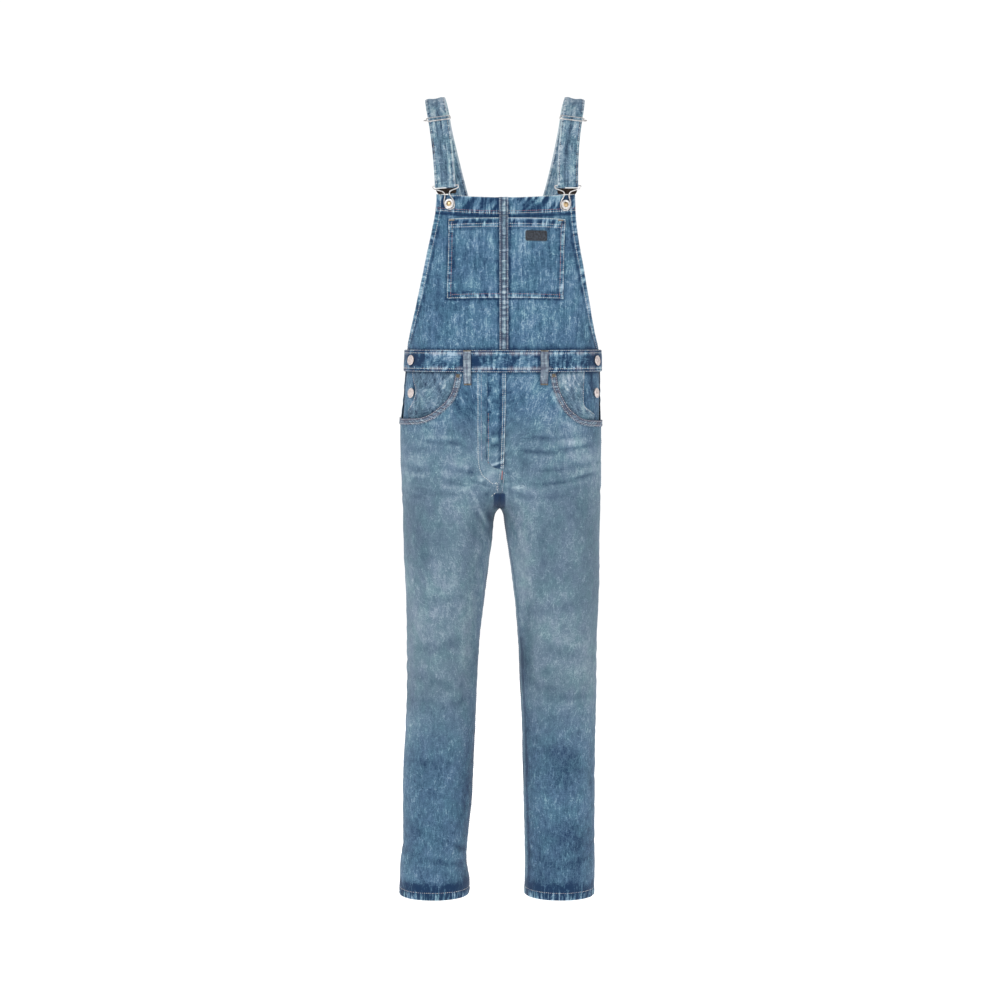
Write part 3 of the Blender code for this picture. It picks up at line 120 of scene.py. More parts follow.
# ================================================================ numbers
def table(rows, column, z):
    """A smooth curve through one column of a table whose rows run downwards in z."""
    heights, values = rows[:, 0], rows[:, column]
    last = len(heights) - 1
    z = np.clip(z, heights[-1], heights[0])
    below = np.clip(np.searchsorted(-heights, -z, side="left"), 1, last)
    before = np.maximum(np.arange(last + 1) - 1, 0)
    after = np.minimum(np.arange(last + 1) + 1, last)
    slopes = (values[after] - values[before]) / (heights[after] - heights[before])
    span = heights[below] - heights[below - 1]
    t = (z - heights[below - 1]) / span
    t2, t3 = t * t, t * t * t
    return (
        (2 * t3 - 3 * t2 + 1) * values[below - 1]
        + (t3 - 2 * t2 + t) * span * slopes[below - 1]
        + (3 * t2 - 2 * t3) * values[below]
        + (t3 - t2) * span * slopes[below]
    )


def rise(low, high, value):
    """0 below low, 1 above high, and a soft rise between them."""
    part = np.clip((value - low) / (high - low), 0.0, 1.0)
    return part * part * (3 - 2 * part)


def unit(vectors):
    return vectors / np.maximum(np.linalg.norm(vectors, axis=-1, keepdims=True), 1e-12)


def lattice(ix, iy, seed):
    """A repeatable number from -1 to 1 for each point of a lattice."""
    mixed = (ix.astype(np.int64) * 374761393 + iy.astype(np.int64) * 668265263 + seed * 974634777)
    mixed = mixed & 0xFFFFFFFF
    mixed = ((mixed ^ (mixed >> 13)) * 1274126177) & 0xFFFFFFFF
    mixed = mixed ^ (mixed >> 16)
    return (mixed & 0xFFFFFF) / float(0x7FFFFF) - 1.0


def noise(u, v, seed):
    """Smooth noise from about -1 to 1, with one bump for each unit of u and v."""
    u, v = np.broadcast_arrays(np.asarray(u, float), np.asarray(v, float))
    iu, iv = np.floor(u), np.floor(v)
    fu, fv = u - iu, v - iv
    su, sv = fu * fu * (3 - 2 * fu), fv * fv * (3 - 2 * fv)
    a, b = lattice(iu, iv, seed), lattice(iu + 1, iv, seed)
    c, d = lattice(iu, iv + 1, seed), lattice(iu + 1, iv + 1, seed)
    return (a + (b - a) * su) * (1 - sv) + (c + (d - c) * su) * sv


def smooth_curve(points, steps):
    """Points along the smooth curve through the given ones, each with any number of values."""
    points = np.asarray(points, float)
    last = len(points) - 1
    made = []
    for index in range(last):
        p0, p1, p2, p3 = (points[min(max(index + step, 0), last)] for step in (-1, 0, 1, 2))
        t = (np.arange(steps) / steps)[:, None]
        made.append(
            0.5 * (2 * p1 + (p2 - p0) * t + (2 * p0 - 5 * p1 + 4 * p2 - p3) * t ** 2
                   + (3 * p1 - p0 - 3 * p2 + p3) * t ** 3)
        )
    made.append(points[-1:])
    return np.concatenate(made)


def arc(points):
    """The distance of each point of a line from its start."""
    steps = np.linalg.norm(np.diff(points, axis=0), axis=-1)
    return np.concatenate([[0.0], np.cumsum(steps)])


def spaced(length, step, edge=WALL / 2):
    """Places from 0 to 1 along a length, close together where the cloth's edges are rounded."""
    near = np.array((0.0, 0.134, 0.5)) * edge
    middle = np.linspace(edge, length - edge, max(3, int(round((length - 2 * edge) / step)) + 1))
    return np.concatenate([near, middle, (length - near)[::-1]]) / length


# ================================================================ the body surface
def centre_x(z):
    return table(CENTRE_LINE, 1, z)


def ring(side, z):
    left = np.asarray(side) > 0
    outer = np.where(left, table(BODY, 3, z), table(BODY, 1, z))
    inner = np.where(left, table(BODY, 4, z), table(BODY, 2, z))
    return outer, inner, table(BODY, 5, z), table(BODY, 6, z), table(BODY, 7, z), table(BODY, 8, z)


def fold_depth(side, face, across, z):
    depth = np.zeros_like(z)
    for fold_side, fold_face, middle, height, reach, width, slant, deep in FOLDS:
        along = (across - middle) / reach
        over = (z - height - slant * (across - middle)) / width
        here = (side == fold_side) & (face == fold_face) & (abs(along) < 1) & (abs(over) < 1)
        depth += np.where(here, deep * ((1 - along ** 2) * (1 - over ** 2)) ** 2, 0)
    return depth


def body_point(side, angle, z):
    """The cloth's outer face: angle 0 at the outseam, positive round the front, pi at the inseam."""
    side, angle, z = np.broadcast_arrays(np.asarray(side, float), angle, z)
    outer, inner, front, back, mid, square = ring(side, z)
    middle, half = (outer + inner) / 2, (outer - inner) / 2
    across, along = np.cos(angle), np.sin(angle)
    reach = np.abs(across) ** (2 / square) * np.sign(across)
    depth = np.abs(along) ** (2 / square)
    face = np.where(along > 0, FRONT, BACK)
    distance = middle + half * reach
    y = mid + (np.where(along > 0, front, back) - mid) * depth
    y = y + face * fold_depth(side, face, distance, z)
    return np.stack([centre_x(z) + side * distance, y, z + 0 * y], axis=-1)


def station(side, angle, z):
    """Points of the body surface, with the normals that point out of the garment."""
    turn, step = 0.005, 0.0005
    round_it = body_point(side, angle + turn, z) - body_point(side, angle - turn, z)
    down_it = body_point(side, angle, z - step) - body_point(side, angle, z + step)
    normal = np.cross(round_it, down_it) * np.broadcast_to(side, np.shape(z))[..., None]
    return body_point(side, angle, z), unit(normal)


def angle_at(side, across, z):
    """The angle at which the ring lies a distance across from the centre line."""
    outer, inner, front, back, mid, square = ring(side, z)
    middle, half = (outer + inner) / 2, (outer - inner) / 2
    ratio = np.clip((across - middle) / half, -1.0, 1.0)
    return np.arccos(np.abs(ratio) ** (square / 2) * np.sign(ratio))


def signed(x, z, face=FRONT):
    """Side and angle of places at a signed distance x from the centre line."""
    side = np.where(x >= 0, LEFT, RIGHT)
    return side, face * angle_at(side, np.abs(x), z)


def seam_angle(side, z):
    outer, inner = ring(side, z)[:2]
    return np.where(inner > 0, math.pi, angle_at(side, 0.0, z))


def waist_z(height, angle):
    """The waist dips at the front and rises at the back."""
    across = np.sin(angle)
    return height - np.where(across > 0, WAIST_DIP, WAIST_RISE) * across


# ================================================================ creases
# Each runs from (x, z) to (x, z) in millimetres, with half its width, its depth, how much
# of a ridge stands above and below it, and how far it bows downwards in the middle.
FRONT_CREASES = (
    (-145, -652, -85, -655, 4.5, 0.8, 0.5, 0.4, 1), (-182, -670, -119, -663, 5, 0.5, 0.4, 0.4, 0),
    (-182, -705, -130, -696, 6, 0.5, 0.4, 0.4, 0), (-116, -699, -57, -710, 5, 0.7, 0.5, 0.4, 0),
    (-114, -725, -57, -720, 5, 0.6, 0.4, 0.4, 2), (-184, -749, -97, -745, 6, 0.6, 0.5, 0.5, 2),
    (38, -648, 97, -648, 4.5, 0.8, 0.5, 0.4, -1), (93, -648, 163, -635, 5, 0.7, 0.4, 0.4, 0),
    (35, -670, 101, -674, 4.5, 0.9, 0.5, 0.5, 1), (97, -674, 167, -655, 5, 0.7, 0.4, 0.4, 0),
    (69, -705, 156, -694, 6, 0.6, 0.4, 0.4, 1), (110, -727, 176, -709, 4.5, 0.7, 0.5, 0.4, 1),
    (16, -727, 104, -729, 6, 0.6, 0.4, 0.4, 2), (31, -754, 115, -753, 7, 0.5, 0.4, 0.3, 2),
    (3, -690, 16, -731, 4, 0.8, 0.2, 0.6, 0), (16, -731, 11, -778, 4, 0.7, 0.5, 0.1, 0),
    (-53, -778, -20, -826, 4.5, 0.8, 0.9, 0.1, 0), (-61, -804, -31, -855, 6, 0.6, 0.4, 0.2, 0),
    (-13, -716, -61, -745, 5, 0.7, 0.6, 0.2, 0), (3, -738, 49, -760, 5, 0.6, 0.5, 0.2, 0),
    (-35, -848, -46, -898, 6, 0.6, 0.4, 0.4, 0), (16, -815, 35, -881, 6, 0.6, 0.4, 0.4, 0),
    (-85, -562, -94, -599, 4, 0.7, 0.1, 0.5, 0), (-61, -549, -53, -595, 4, 0.4, 0.4, 0.3, 0),
    (80, -562, 97, -602, 4, 0.6, 0.5, 0.1, 0), (-167, -951, -75, -936, 11, 0.7, 0.4, 0.4, 3),
    (-152, -1035, -61, -1017, 12, 0.8, 0.4, 0.4, 4), (-174, -1083, -94, -1108, 10, 0.7, 0.4, 0.4, -2),
    (-116, -1149, -57, -1127, 9, 0.7, 0.4, 0.4, 0), (49, -965, 141, -951, 12, 0.7, 0.4, 0.4, 3),
    (68, -1035, 159, -1053, 11, 0.8, 0.4, 0.4, -3), (79, -1127, 156, -1123, 6, 0.8, 0.3, 0.5, 2),
    (38, -1094, 97, -1116, 9, 0.6, 0.4, 0.4, 0), (-171, -1237, -97, -1259, 13, 0.5, 0.4, 0.4, 2),
    (68, -1222, 150, -1244, 13, 0.5, 0.4, 0.4, -2), (-105, -1394, -61, -1424, 5, 1, 0.6, 0.4, 0),
    (-130, -1435, -64, -1442, 6, 0.7, 0.5, 0.3, 1), (-182, -1416, -123, -1431, 7, 0.6, 0.4, 0.3, 0),
    (46, -1420, 104, -1442, 7, 0.6, 0.4, 0.4, 1), (104, -1442, 167, -1427, 6, 0.6, 0.4, 0.4, 0),
)
BACK_CREASES = (
    (-150, -742, -60, -766, 6, 1.0, 0.5, 0.4, 3), (-140, -772, -40, -790, 7, 1.1, 0.4, 0.5, 4),
    (-60, -720, -14, -752, 5, 0.9, 0.5, 0.3, 2), (150, -738, 62, -760, 6, 1.0, 0.5, 0.4, 3),
    (146, -768, 44, -792, 7, 1.0, 0.4, 0.5, 3), (64, -716, 16, -750, 5, 0.9, 0.5, 0.3, 2),
    (-120, -828, -40, -846, 8, 0.8, 0.4, 0.4, 2), (128, -822, 46, -838, 8, 0.8, 0.4, 0.4, 2),
    (-160, -1010, -78, -1024, 6, 1.1, 0.5, 0.5, 4), (-150, -1046, -66, -1038, 6, 1.2, 0.5, 0.5, 3),
    (-158, -1078, -74, -1094, 6, 1.1, 0.5, 0.5, 3), (-148, -1118, -72, -1106, 7, 0.9, 0.5, 0.4, 2),
    (-120, -1062, -92, -1070, 4, 0.8, 0.5, 0.5, 1), (160, -1006, 76, -1018, 6, 1.0, 0.5, 0.5, 3),
    (152, -1040, 64, -1050, 6, 1.2, 0.5, 0.5, 4), (158, -1084, 72, -1074, 6, 1.0, 0.5, 0.5, 3),
    (146, -1112, 70, -1122, 7, 0.9, 0.5, 0.4, 2), (112, -1066, 90, -1060, 4, 0.8, 0.5, 0.5, 1),
    (-110, -600, -60, -622, 9, 0.7, 0.4, 0.4, 2), (116, -606, 58, -620, 9, 0.6, 0.4, 0.4, 2),
    (-30, -560, -52, -600, 6, 0.6, 0.4, 0.4, 0), (34, -556, 50, -604, 6, 0.6, 0.4, 0.4, 0),
    (-150, -1240, -80, -1262, 12, 0.7, 0.4, 0.4, 2), (148, -1228, 78, -1250, 12, 0.7, 0.4, 0.4, 2),
    (-158, -1380, -84, -1404, 9, 0.9, 0.5, 0.4, 3), (-140, -1430, -70, -1420, 7, 0.8, 0.5, 0.4, 1),
    (152, -1396, 80, -1384, 9, 0.9, 0.5, 0.4, 3), (140, -1436, 66, -1426, 7, 0.8, 0.5, 0.4, 1),
)
# Creases at the outseams: (angle, z) to (angle, z), the angle in hundredths of a radian.
SIDE_CREASES = (
    (RIGHT, -60, -760, 50, -742, 6, 0.8), (RIGHT, -70, -1052, 40, -1064, 7, 0.9),
    (RIGHT, -50, -1096, 60, -1086, 7, 0.8), (RIGHT, -40, -880, 60, -900, 9, 0.6),
    (RIGHT, -60, -1400, 50, -1418, 7, 0.8), (RIGHT, 20, -690, 90, -704, 6, 0.6),
    (LEFT, -60, -752, 50, -738, 6, 0.8), (LEFT, -60, -1044, 50, -1058, 7, 0.9),
    (LEFT, -70, -1100, 40, -1088, 7, 0.8), (LEFT, -50, -910, 50, -892, 9, 0.6),
    (LEFT, -50, -1412, 60, -1398, 7, 0.8), (LEFT, 10, -684, 90, -696, 6, 0.6),
)


def crease_relief(creases, x, z):
    """How far the cloth is moved out by creases, and how worn their ridges are."""
    relief = np.zeros_like(x)
    for x0, z0, x1, z1, width, depth, above, below, bow in creases:
        ax, az, bx, bz = x0 / 1000, z0 / 1000, x1 / 1000, z1 / 1000
        length = math.hypot(bx - ax, bz - az)
        dx, dz = (bx - ax) / length, (bz - az) / length
        along = ((x - ax) * dx + (z - az) * dz) / length
        off = (x - ax) * -dz + (z - az) * dx
        off = (off * (1 if dx >= 0 else -1) + bow / 1000 * (1 - (2 * along - 1) ** 2)) / (width / 1000)
        near = (along > -0.25) & (along < 1.25) & (np.abs(off) < 5)
        fade = rise(-0.2, 0.3, along) * (1 - rise(0.7, 1.2, along))
        shape = -np.exp(-off ** 2)
        shape = shape + above * np.exp(-((off - 1.9) / 1.2) ** 2)
        shape = shape + below * np.exp(-((off + 1.9) / 1.2) ** 2)
        relief += np.where(near, depth / 1000 * fade * shape, 0)
    return relief


def drape(side, angle, z, point):
    """The soft creases of the whole garment, which every layer of it shares."""
    turned = np.abs(np.sin(angle))
    front = (np.sin(angle) > 0) * rise(0.08, 0.45, turned)
    back = (np.sin(angle) < 0) * rise(0.08, 0.45, turned)
    relief = front * crease_relief(FRONT_CREASES, point[..., 0], z)
    relief = relief + back * crease_relief(BACK_CREASES, point[..., 0], z)
    girth = angle * 0.1
    for crease_side, a0, z0, a1, z1, width, depth in SIDE_CREASES:
        row = ((a0, z0, a1, z1, width, depth, 0.5, 0.4, 0),)
        relief = relief + (side == crease_side) * crease_relief(row, girth, z)
    relief = relief + 0.0006 * noise(girth / 0.045 + 40 * side, z / 0.07, 11)
    relief = relief + 0.00035 * noise(girth / 0.018 + 40 * side, z / 0.03, 12)
    return relief


def bell(value, middle, width):
    return np.exp(-((value - middle) / width) ** 2)


def puckers(along, off, seed, period=0.0055, reach=0.009, slant=0.5):
    """Short ridges across a line of stitching, from -1 to 1, which die away from it."""
    shape = noise((along + slant * off) / period, off / (3 * reach) + 7, seed)
    shape = np.sign(shape) * np.abs(shape) ** 0.7
    return shape * np.exp(-(off / reach) ** 2)


def veins(u, v, seed, width=0.16):
    """Thin wandering lines, 1 along each of them and 0 between."""
    broken = rise(-0.3, 0.3, noise(u * 0.6, v * 0.9 + 5, seed + 500))
    return np.exp(-(noise(u, v, seed) / width) ** 2) * broken


# ================================================================ washing
# z, then fade and wear on the front, then fade and wear on the back
WASH = np.array((
    (-0.190, 0.00, 0.50, 0.00, 0.50), (-0.520, 0.05, 0.49, 0.10, 0.50),
    (-0.590, 0.10, 0.46, 0.50, 0.52), (-0.640, 0.50, 0.49, 0.65, 0.54),
    (-0.720, 0.75, 0.49, 0.60, 0.51), (-0.800, 0.90, 0.48, 0.55, 0.48),
    (-0.940, 0.95, 0.49, 0.50, 0.46), (-1.020, 1.00, 0.54, 0.50, 0.45),
    (-1.105, 0.98, 0.52, 0.45, 0.45), (-1.160, 0.66, 0.46, 0.38, 0.43),
    (-1.230, 0.34, 0.42, 0.32, 0.41), (-1.300, 0.22, 0.39, 0.25, 0.40),
    (-1.506, 0.15, 0.37, 0.15, 0.38),
))
# x, z, half width, half height and change of wear on the front
SMUDGES = (
    (0.115, -1.118, 0.034, 0.012, -0.12), (-0.084, -0.560, 0.008, 0.020, -0.25),
    (0.022, -0.770, 0.010, 0.016, -0.10), (-0.026, -0.800, 0.006, 0.022, -0.22),
    (-0.062, -0.590, 0.016, 0.045, -0.24), (-0.054, -0.708, 0.012, 0.009, -0.20),
    (-0.030, -0.752, 0.016, 0.014, -0.20), (0.110, -1.290, 0.070, 0.110, -0.08),
    (0.040, -0.690, 0.014, 0.030, -0.10), (-0.150, -0.860, 0.020, 0.070, -0.05),
    (0.085, -0.700, 0.030, 0.016, 0.06), (-0.100, -0.690, 0.034, 0.018, 0.06),
    (0.120, -0.880, 0.030, 0.060, 0.04), (-0.120, -0.900, 0.030, 0.060, 0.04),
    (-0.045, -1.040, 0.014, 0.070, -0.20), (0.042, -1.040, 0.016, 0.090, -0.28),
    (0.130, -0.690, 0.035, 0.040, 0.08), (0.092, -0.612, 0.022, 0.018, 0.10),
    (0.110, -1.060, 0.050, 0.050, -0.05),
)
BELT_LOOP_X = (-0.0665, 0.0735)
# Whiskers and rubbed lines on the front: (x, z) to (x, z) in millimetres, half width, change of wear
FRONT_MARKS = (
    (-165, -692, -139, -696, 7, 0.10), (-171, -714, -142, -717, 2.6, 0.18),
    (-172, -707, -128, -706, 2.6, -0.12), (-105, -727, -70, -733, 3.0, -0.20),
    (-104, -738, -66, -741, 3.0, 0.14), (-101, -749, -73, -751, 3.0, -0.24),
    (-170, -745, -139, -754, 3.2, 0.18), (-166, -737, -128, -742, 2.8, -0.12),
    (-66, -704, -56, -712, 6, -0.26), (-60, -724, -22, -734, 3.4, -0.28),
    (-60, -738, -24, -824, 3.2, 0.30), (-40, -764, -24, -800, 6, -0.20),
    (-46, -530, -46, -690, 1.6, 0.20), (-50, -530, -50, -600, 2.0, -0.12),
    (-116, -644, -79, -647, 4.0, 0.14), (-145, -652, -126, -654, 3.0, -0.18),
    (-101, -654, -75, -660, 3.0, -0.20), (-84, -576, -82, -604, 5.0, -0.34),
    (-77, -562, -73, -592, 2.0, 0.30), (-73, -563, -62, -566, 3.0, -0.30),
    (-54, -582, -46, -606, 2.0, 0.26), (-32, -570, -32, -598, 5.0, -0.22),
    (-150, -622, -118, -628, 3.0, -0.16), (-118, -630, -96, -618, 3.0, 0.16),
    (48, -645, 86, -646, 3.4, -0.15), (46, -622, 88, -630, 8.0, 0.12),
    (33, -671, 96, -672, 3.6, -0.15), (99, -668, 166, -659, 2.8, -0.14),
    (95, -650, 150, -656, 7.0, 0.12), (63, -708, 113, -703, 2.8, -0.16),
    (130, -721, 164, -712, 2.4, -0.22), (69, -732, 120, -726, 2.8, -0.16),
    (70, -738, 150, -728, 3.0, 0.12), (15, -737, 30, -737, 2.0, 0.30),
    (134, -676, 168, -690, 9.0, 0.10), (90, -560, 108, -600, 3.0, 0.24),
    (84, -566, 98, -600, 2.4, -0.20), (104, -612, 130, -626, 3.0, 0.20),
    (12, -560, 20, -600, 6.0, -0.12), (30, -548, 36, -590, 4.0, -0.14),
)
# The same on the fly
FLY_MARKS = (
    (-22, -560, -6, -560, 5, 0.22), (-22, -579, -8, -582, 4, -0.24), (-22, -600, -8, -598, 4, 0.14),
    (-22, -619, -8, -618, 5, 0.30), (-22, -638, -8, -638, 4, -0.34), (-22, -649, -8, -650, 4, 0.30),
    (-22, -661, -8, -660, 4, -0.30), (-24, -676, -8, -675, 4, 0.18),
)


def marked(rows, x, z):
    """The change of wear along lines, as uneven as rubbing leaves it."""
    change = np.zeros(np.broadcast(x, z).shape)
    for index, (x0, z0, x1, z1, width, amount) in enumerate(rows):
        ax, az, bx, bz = x0 / 1000, z0 / 1000, x1 / 1000, z1 / 1000
        length = math.hypot(bx - ax, bz - az)
        dx, dz = (bx - ax) / length, (bz - az) / length
        along = ((x - ax) * dx + (z - az) * dz) / length
        off = ((x - ax) * -dz + (z - az) * dx) / (width / 1000)
        near = rise(-0.12, 0.15, along) * (1 - rise(0.85, 1.12, along))
        uneven = 0.85 + 0.45 * noise(along * length / 0.011, index + 0.5, 37)
        change += amount * near * uneven * np.exp(-off ** 2)
    return change


def washed(angle, z, x):
    """How faded and how worn the cloth is at each place, with painted light high up between the legs."""
    front = rise(-0.35, 0.35, np.sin(angle))
    fade = table(WASH, 1, z) * front + table(WASH, 3, z) * (1 - front)
    wear_and_shade = table(WASH, 2, z) * front + table(WASH, 4, z) * (1 - front)
    inner = rise(2.2, 2.9, np.abs(angle)) * rise(-0.78, -0.84, z)
    fade = np.clip(fade * (1 - 0.5 * inner), 0, 1)
    wear_and_shade = wear_and_shade - 0.03 * inner + 0.07 * noise(x / 0.045, z / 0.07, 21)
    # Painted light high up between the legs, to lift the shade that falls there.
    wear_and_shade = wear_and_shade + 0.24 * rise(1.9, 2.6, np.abs(angle)) * rise(-0.80, -0.86, z) * rise(-1.08, -0.98, z)
    for middle_x, middle_z, half_x, half_z, change in SMUDGES:
        wear_and_shade = wear_and_shade + change * front * bell(x, middle_x, half_x) * bell(z, middle_z, half_z)
    wear_and_shade = wear_and_shade + front * marked(FRONT_MARKS, x, z)
    return fade, wear_and_shade


# ================================================================ meshes
def make_mesh(name, points, quads, triangles, materials, uv=None, attributes=None, inside=None):
    points = np.asarray(points, float)
    quads = np.asarray(quads, np.int64).reshape(-1, 4)
    triangles = np.asarray(triangles, np.int64).reshape(-1, 3)
    split = np.concatenate([quads[:, (0, 1, 2)], quads[:, (0, 2, 3)], triangles])
    a, b, c = points[split[:, 0]], points[split[:, 1]], points[split[:, 2]]
    if (a * np.cross(b, c)).sum() < 0:
        quads, triangles = quads[:, ::-1], triangles[:, ::-1]
    loops = np.concatenate([quads.ravel(), triangles.ravel()]).astype(np.int32)
    sizes = np.concatenate([np.full(len(quads), 4), np.full(len(triangles), 3)])
    starts = np.concatenate([[0], np.cumsum(sizes)[:-1]]).astype(np.int32)
    mesh = bpy.data.meshes.new(name)
    mesh.vertices.add(len(points))
    mesh.vertices.foreach_set("co", points.astype(np.float32).ravel())
    mesh.loops.add(len(loops))
    mesh.loops.foreach_set("vertex_index", loops)
    mesh.polygons.add(len(sizes))
    mesh.polygons.foreach_set("loop_start", starts)
    mesh.update(calc_edges=True)
    if uv is not None:
        layer = mesh.uv_layers.new(name="cloth")
        layer.data.foreach_set("uv", np.asarray(uv, np.float32)[loops].ravel())
    for key, values in (attributes or {}).items():
        layer = mesh.attributes.new(key, "FLOAT", "POINT")
        layer.data.foreach_set("value", np.asarray(values, np.float32).ravel())
    for material in materials:
        mesh.materials.append(material)
    if inside is not None:
        mesh.polygons.foreach_set("material_index", np.asarray(inside, np.int32))
    mesh.shade_smooth()
    made = bpy.data.objects.new(name, mesh)
    bpy.context.collection.objects.link(made)
    return made


def coarse_lines(count, edge, step):
    """Which rows of a fine grid the inner face of the cloth keeps."""
    inner = list(range(edge, count - edge, step))
    if count - 1 - edge - inner[-1] > step / 2:
        inner.append(count - 1 - edge)
    else:
        inner[-1] = count - 1 - edge
    return [0] + inner + [count - 1]


def shell_faces(rows, columns, step, edge=3):
    """Faces of a closed sheet: a fine outer grid and a coarser inner one that share their rim."""
    grid = np.arange(rows * columns).reshape(rows, columns)
    outer = np.stack([grid[:-1, :-1], grid[1:, :-1], grid[1:, 1:], grid[:-1, 1:]], -1).reshape(-1, 4)
    rr, cc = coarse_lines(rows, edge, step), coarse_lines(columns, edge, step)
    ids = grid[np.ix_(rr, cc)].copy()
    inner_shape = (len(rr) - 2, len(cc) - 2)
    ids[1:-1, 1:-1] = rows * columns + np.arange(inner_shape[0] * inner_shape[1]).reshape(inner_shape)
    core = ids[1:-1, 1:-1]
    quads = np.stack([core[:-1, :-1], core[:-1, 1:], core[1:, 1:], core[1:, :-1]], -1).reshape(-1, 4)
    rim = []
    sides = (
        [grid[0, c] for c in range(columns)], [grid[r, -1] for r in range(rows)],
        [grid[-1, c] for c in range(columns)][::-1], [grid[r, 0] for r in range(rows)][::-1],
    )
    stops = (
        cc, rr, [columns - 1 - c for c in cc[::-1]], [rows - 1 - r for r in rr[::-1]],
    )
    cores = (core[0], core[:, -1], core[-1][::-1], core[:, 0][::-1])
    for border, stop, line in zip(sides, stops, cores):
        for index in range(len(stop) - 1):
            first, last = stop[index], stop[index + 1]
            p = line[max(index - 1, 0)]
            q = line[min(index, len(line) - 1)]
            half = (first + last) // 2 if p != q else last
            for at in range(first, half):
                rim.append((p, border[at + 1], border[at]))
            if p != q:
                rim.append((p, q, border[half]))
            for at in range(half, last):
                rim.append((q, border[at + 1], border[at]))
    return outer, quads, np.array(rim), (rr, cc)


def edge_drop(distance, radius):
    """0 away from an edge and 1 at it, along a quarter of a circle."""
    part = np.clip(1 - distance / radius, 0.0, 1.0)
    return 1 - np.sqrt(1 - part * part)


class Cloth:
    """A piece of cloth on the body surface, as a grid of places."""

    def __init__(self, side, angle, z, half=None):
        self.side, self.angle, self.z = np.broadcast_arrays(np.asarray(side, float), angle, z)
        self.half = half
        self.base, self.normal = station(self.side, self.angle, self.z)
        self.measure(self.base)
        self.crease = drape(self.side, self.angle, self.z, self.base)

    def measure(self, point):
        """Distances along the cloth to its four edges."""
        across = np.linalg.norm(np.diff(point, axis=1), axis=-1)
        down = np.linalg.norm(np.diff(point, axis=0), axis=-1)
        self.left = np.pad(np.cumsum(across, axis=1), ((0, 0), (1, 0)))
        self.right = self.left[:, -1:] - self.left
        self.top = np.pad(np.cumsum(down, axis=0), ((1, 0), (0, 0)))
        self.bottom = self.top[-1:] - self.top

    def moved(self, level):
        point = self.base + self.normal * (level + self.crease)[..., None]
        if self.half is not None:
            limit = centre_x(point[..., 2])
            across = np.maximum(0.0, self.half * (point[..., 0] - limit))
            point[..., 0] = limit + self.half * across
        return point

    def close_seam(self, point):
        """Draw the edge of a half garment to the centre line, so that no light shows through its seam."""
        if self.half is None:
            return point
        reach = self.half * (self.base[..., 0] - centre_x(self.base[..., 2]))
        edge = 0 if reach[0, 0] < reach[0, -1] else -1
        gap = self.half * (point[:, edge, 0] - centre_x(point[:, edge, 2]))
        gap = np.where(np.abs(reach[:, edge]) < 0.0001, gap, 0.0)[:, None]
        point[..., 0] -= self.half * gap * (1 - rise(0.0, 0.006, reach))
        return point

    def build(self, name, low, high, materials, relief=0.0, wear_and_shade=0.5, fade=0.0, tint=0.0,
              rope=0.0, rung=0.0, radius=WALL / 2, step=4, turn_uv=False, uv=None):
        shape = self.z.shape
        low, high = np.broadcast_to(low, shape), np.broadcast_to(high, shape)
        drop = np.zeros(shape)
        for distance in (self.left, self.right, self.top, self.bottom):
            drop = np.maximum(drop, edge_drop(distance, radius))
        relief = np.broadcast_to(relief, shape)
        outer = self.close_seam(self.moved(high + relief - drop * (high - low) / 2))
        inner = self.moved(low + relief)
        self.surface = outer
        self.measure(outer)
        fine, inner_quads, rim, (rr, cc) = shell_faces(*shape, step)
        keep = np.ix_(rr[1:-1], cc[1:-1])
        points = np.concatenate([outer.reshape(-1, 3), inner[keep].reshape(-1, 3)])
        if uv is None:
            uv = np.stack([self.left, -self.top], -1)
        if turn_uv:
            uv = uv[..., ::-1]
        uvs = np.concatenate([uv.reshape(-1, 2), uv[keep].reshape(-1, 2)])
        attributes = {}
        # Crease ridges come out paler and valleys darker: partly the real wear of the wash, partly painted shade in
        # the valleys.
        wear_and_shade = wear_and_shade + 170 * self.crease
        looks = {"wear_and_shade": wear_and_shade, "fade": fade, "tint": tint, "rope": rope, "rung": rung}
        for key, value in looks.items():
            value = np.broadcast_to(value, shape)
            attributes[key] = np.concatenate([value.ravel(), value[keep].ravel()])
        quads = np.concatenate([fine, inner_quads])
        inside = np.concatenate([np.zeros(len(fine)), np.ones(len(inner_quads)), np.zeros(len(rim))])
        self.object = make_mesh(name, points, quads, rim, materials, uvs, attributes, inside)
        self.outward = unit(np.cross(
            np.gradient(outer, axis=1), np.gradient(outer, axis=0)
        ))
        if (self.outward * self.normal).sum() < 0:
            self.outward = -self.outward
        return self.object

    def lined(self, distance, edge, start=0.0, end=0.0):
        """Points and normals along a line at a distance from one edge of the finished cloth."""
        field, surface, outward = getattr(self, edge), self.surface, self.outward
        if edge in ("top", "bottom"):
            field, surface, outward = field.T, surface.swapaxes(0, 1), outward.swapaxes(0, 1)
        if edge in ("right", "bottom"):
            field, surface, outward = field[:, ::-1], surface[:, ::-1], outward[:, ::-1]
        points, normals = [], []
        for row in range(len(field)):
            place = np.interp(distance, field[row], np.arange(field.shape[1]))
            low = int(min(place, field.shape[1] - 2))
            part = place - low
            points.append(surface[row, low] * (1 - part) + surface[row, low + 1] * part)
            normals.append(outward[row, low] * (1 - part) + outward[row, low + 1] * part)
        return trimmed(np.array(points), np.array(normals), start, end)


def trimmed(points, normals, start, end):
    """A line without a length at its start and at its end."""
    length = arc(points)
    keep = (length >= start) & (length <= length[-1] - end)
    return points[keep], normals[keep]


def started(points, normals, start, stop):
    """The part of a line between two distances from its start."""
    length = arc(points)
    keep = (length >= start) & (length <= stop)
    return points[keep], normals[keep]


# ================================================================ thread
STITCH = 0.0030
STITCH_GAP = 0.0009
THREAD_WIDE = 0.00048
THREAD_HIGH = 0.00036
RING = np.arange(6) * math.pi / 3


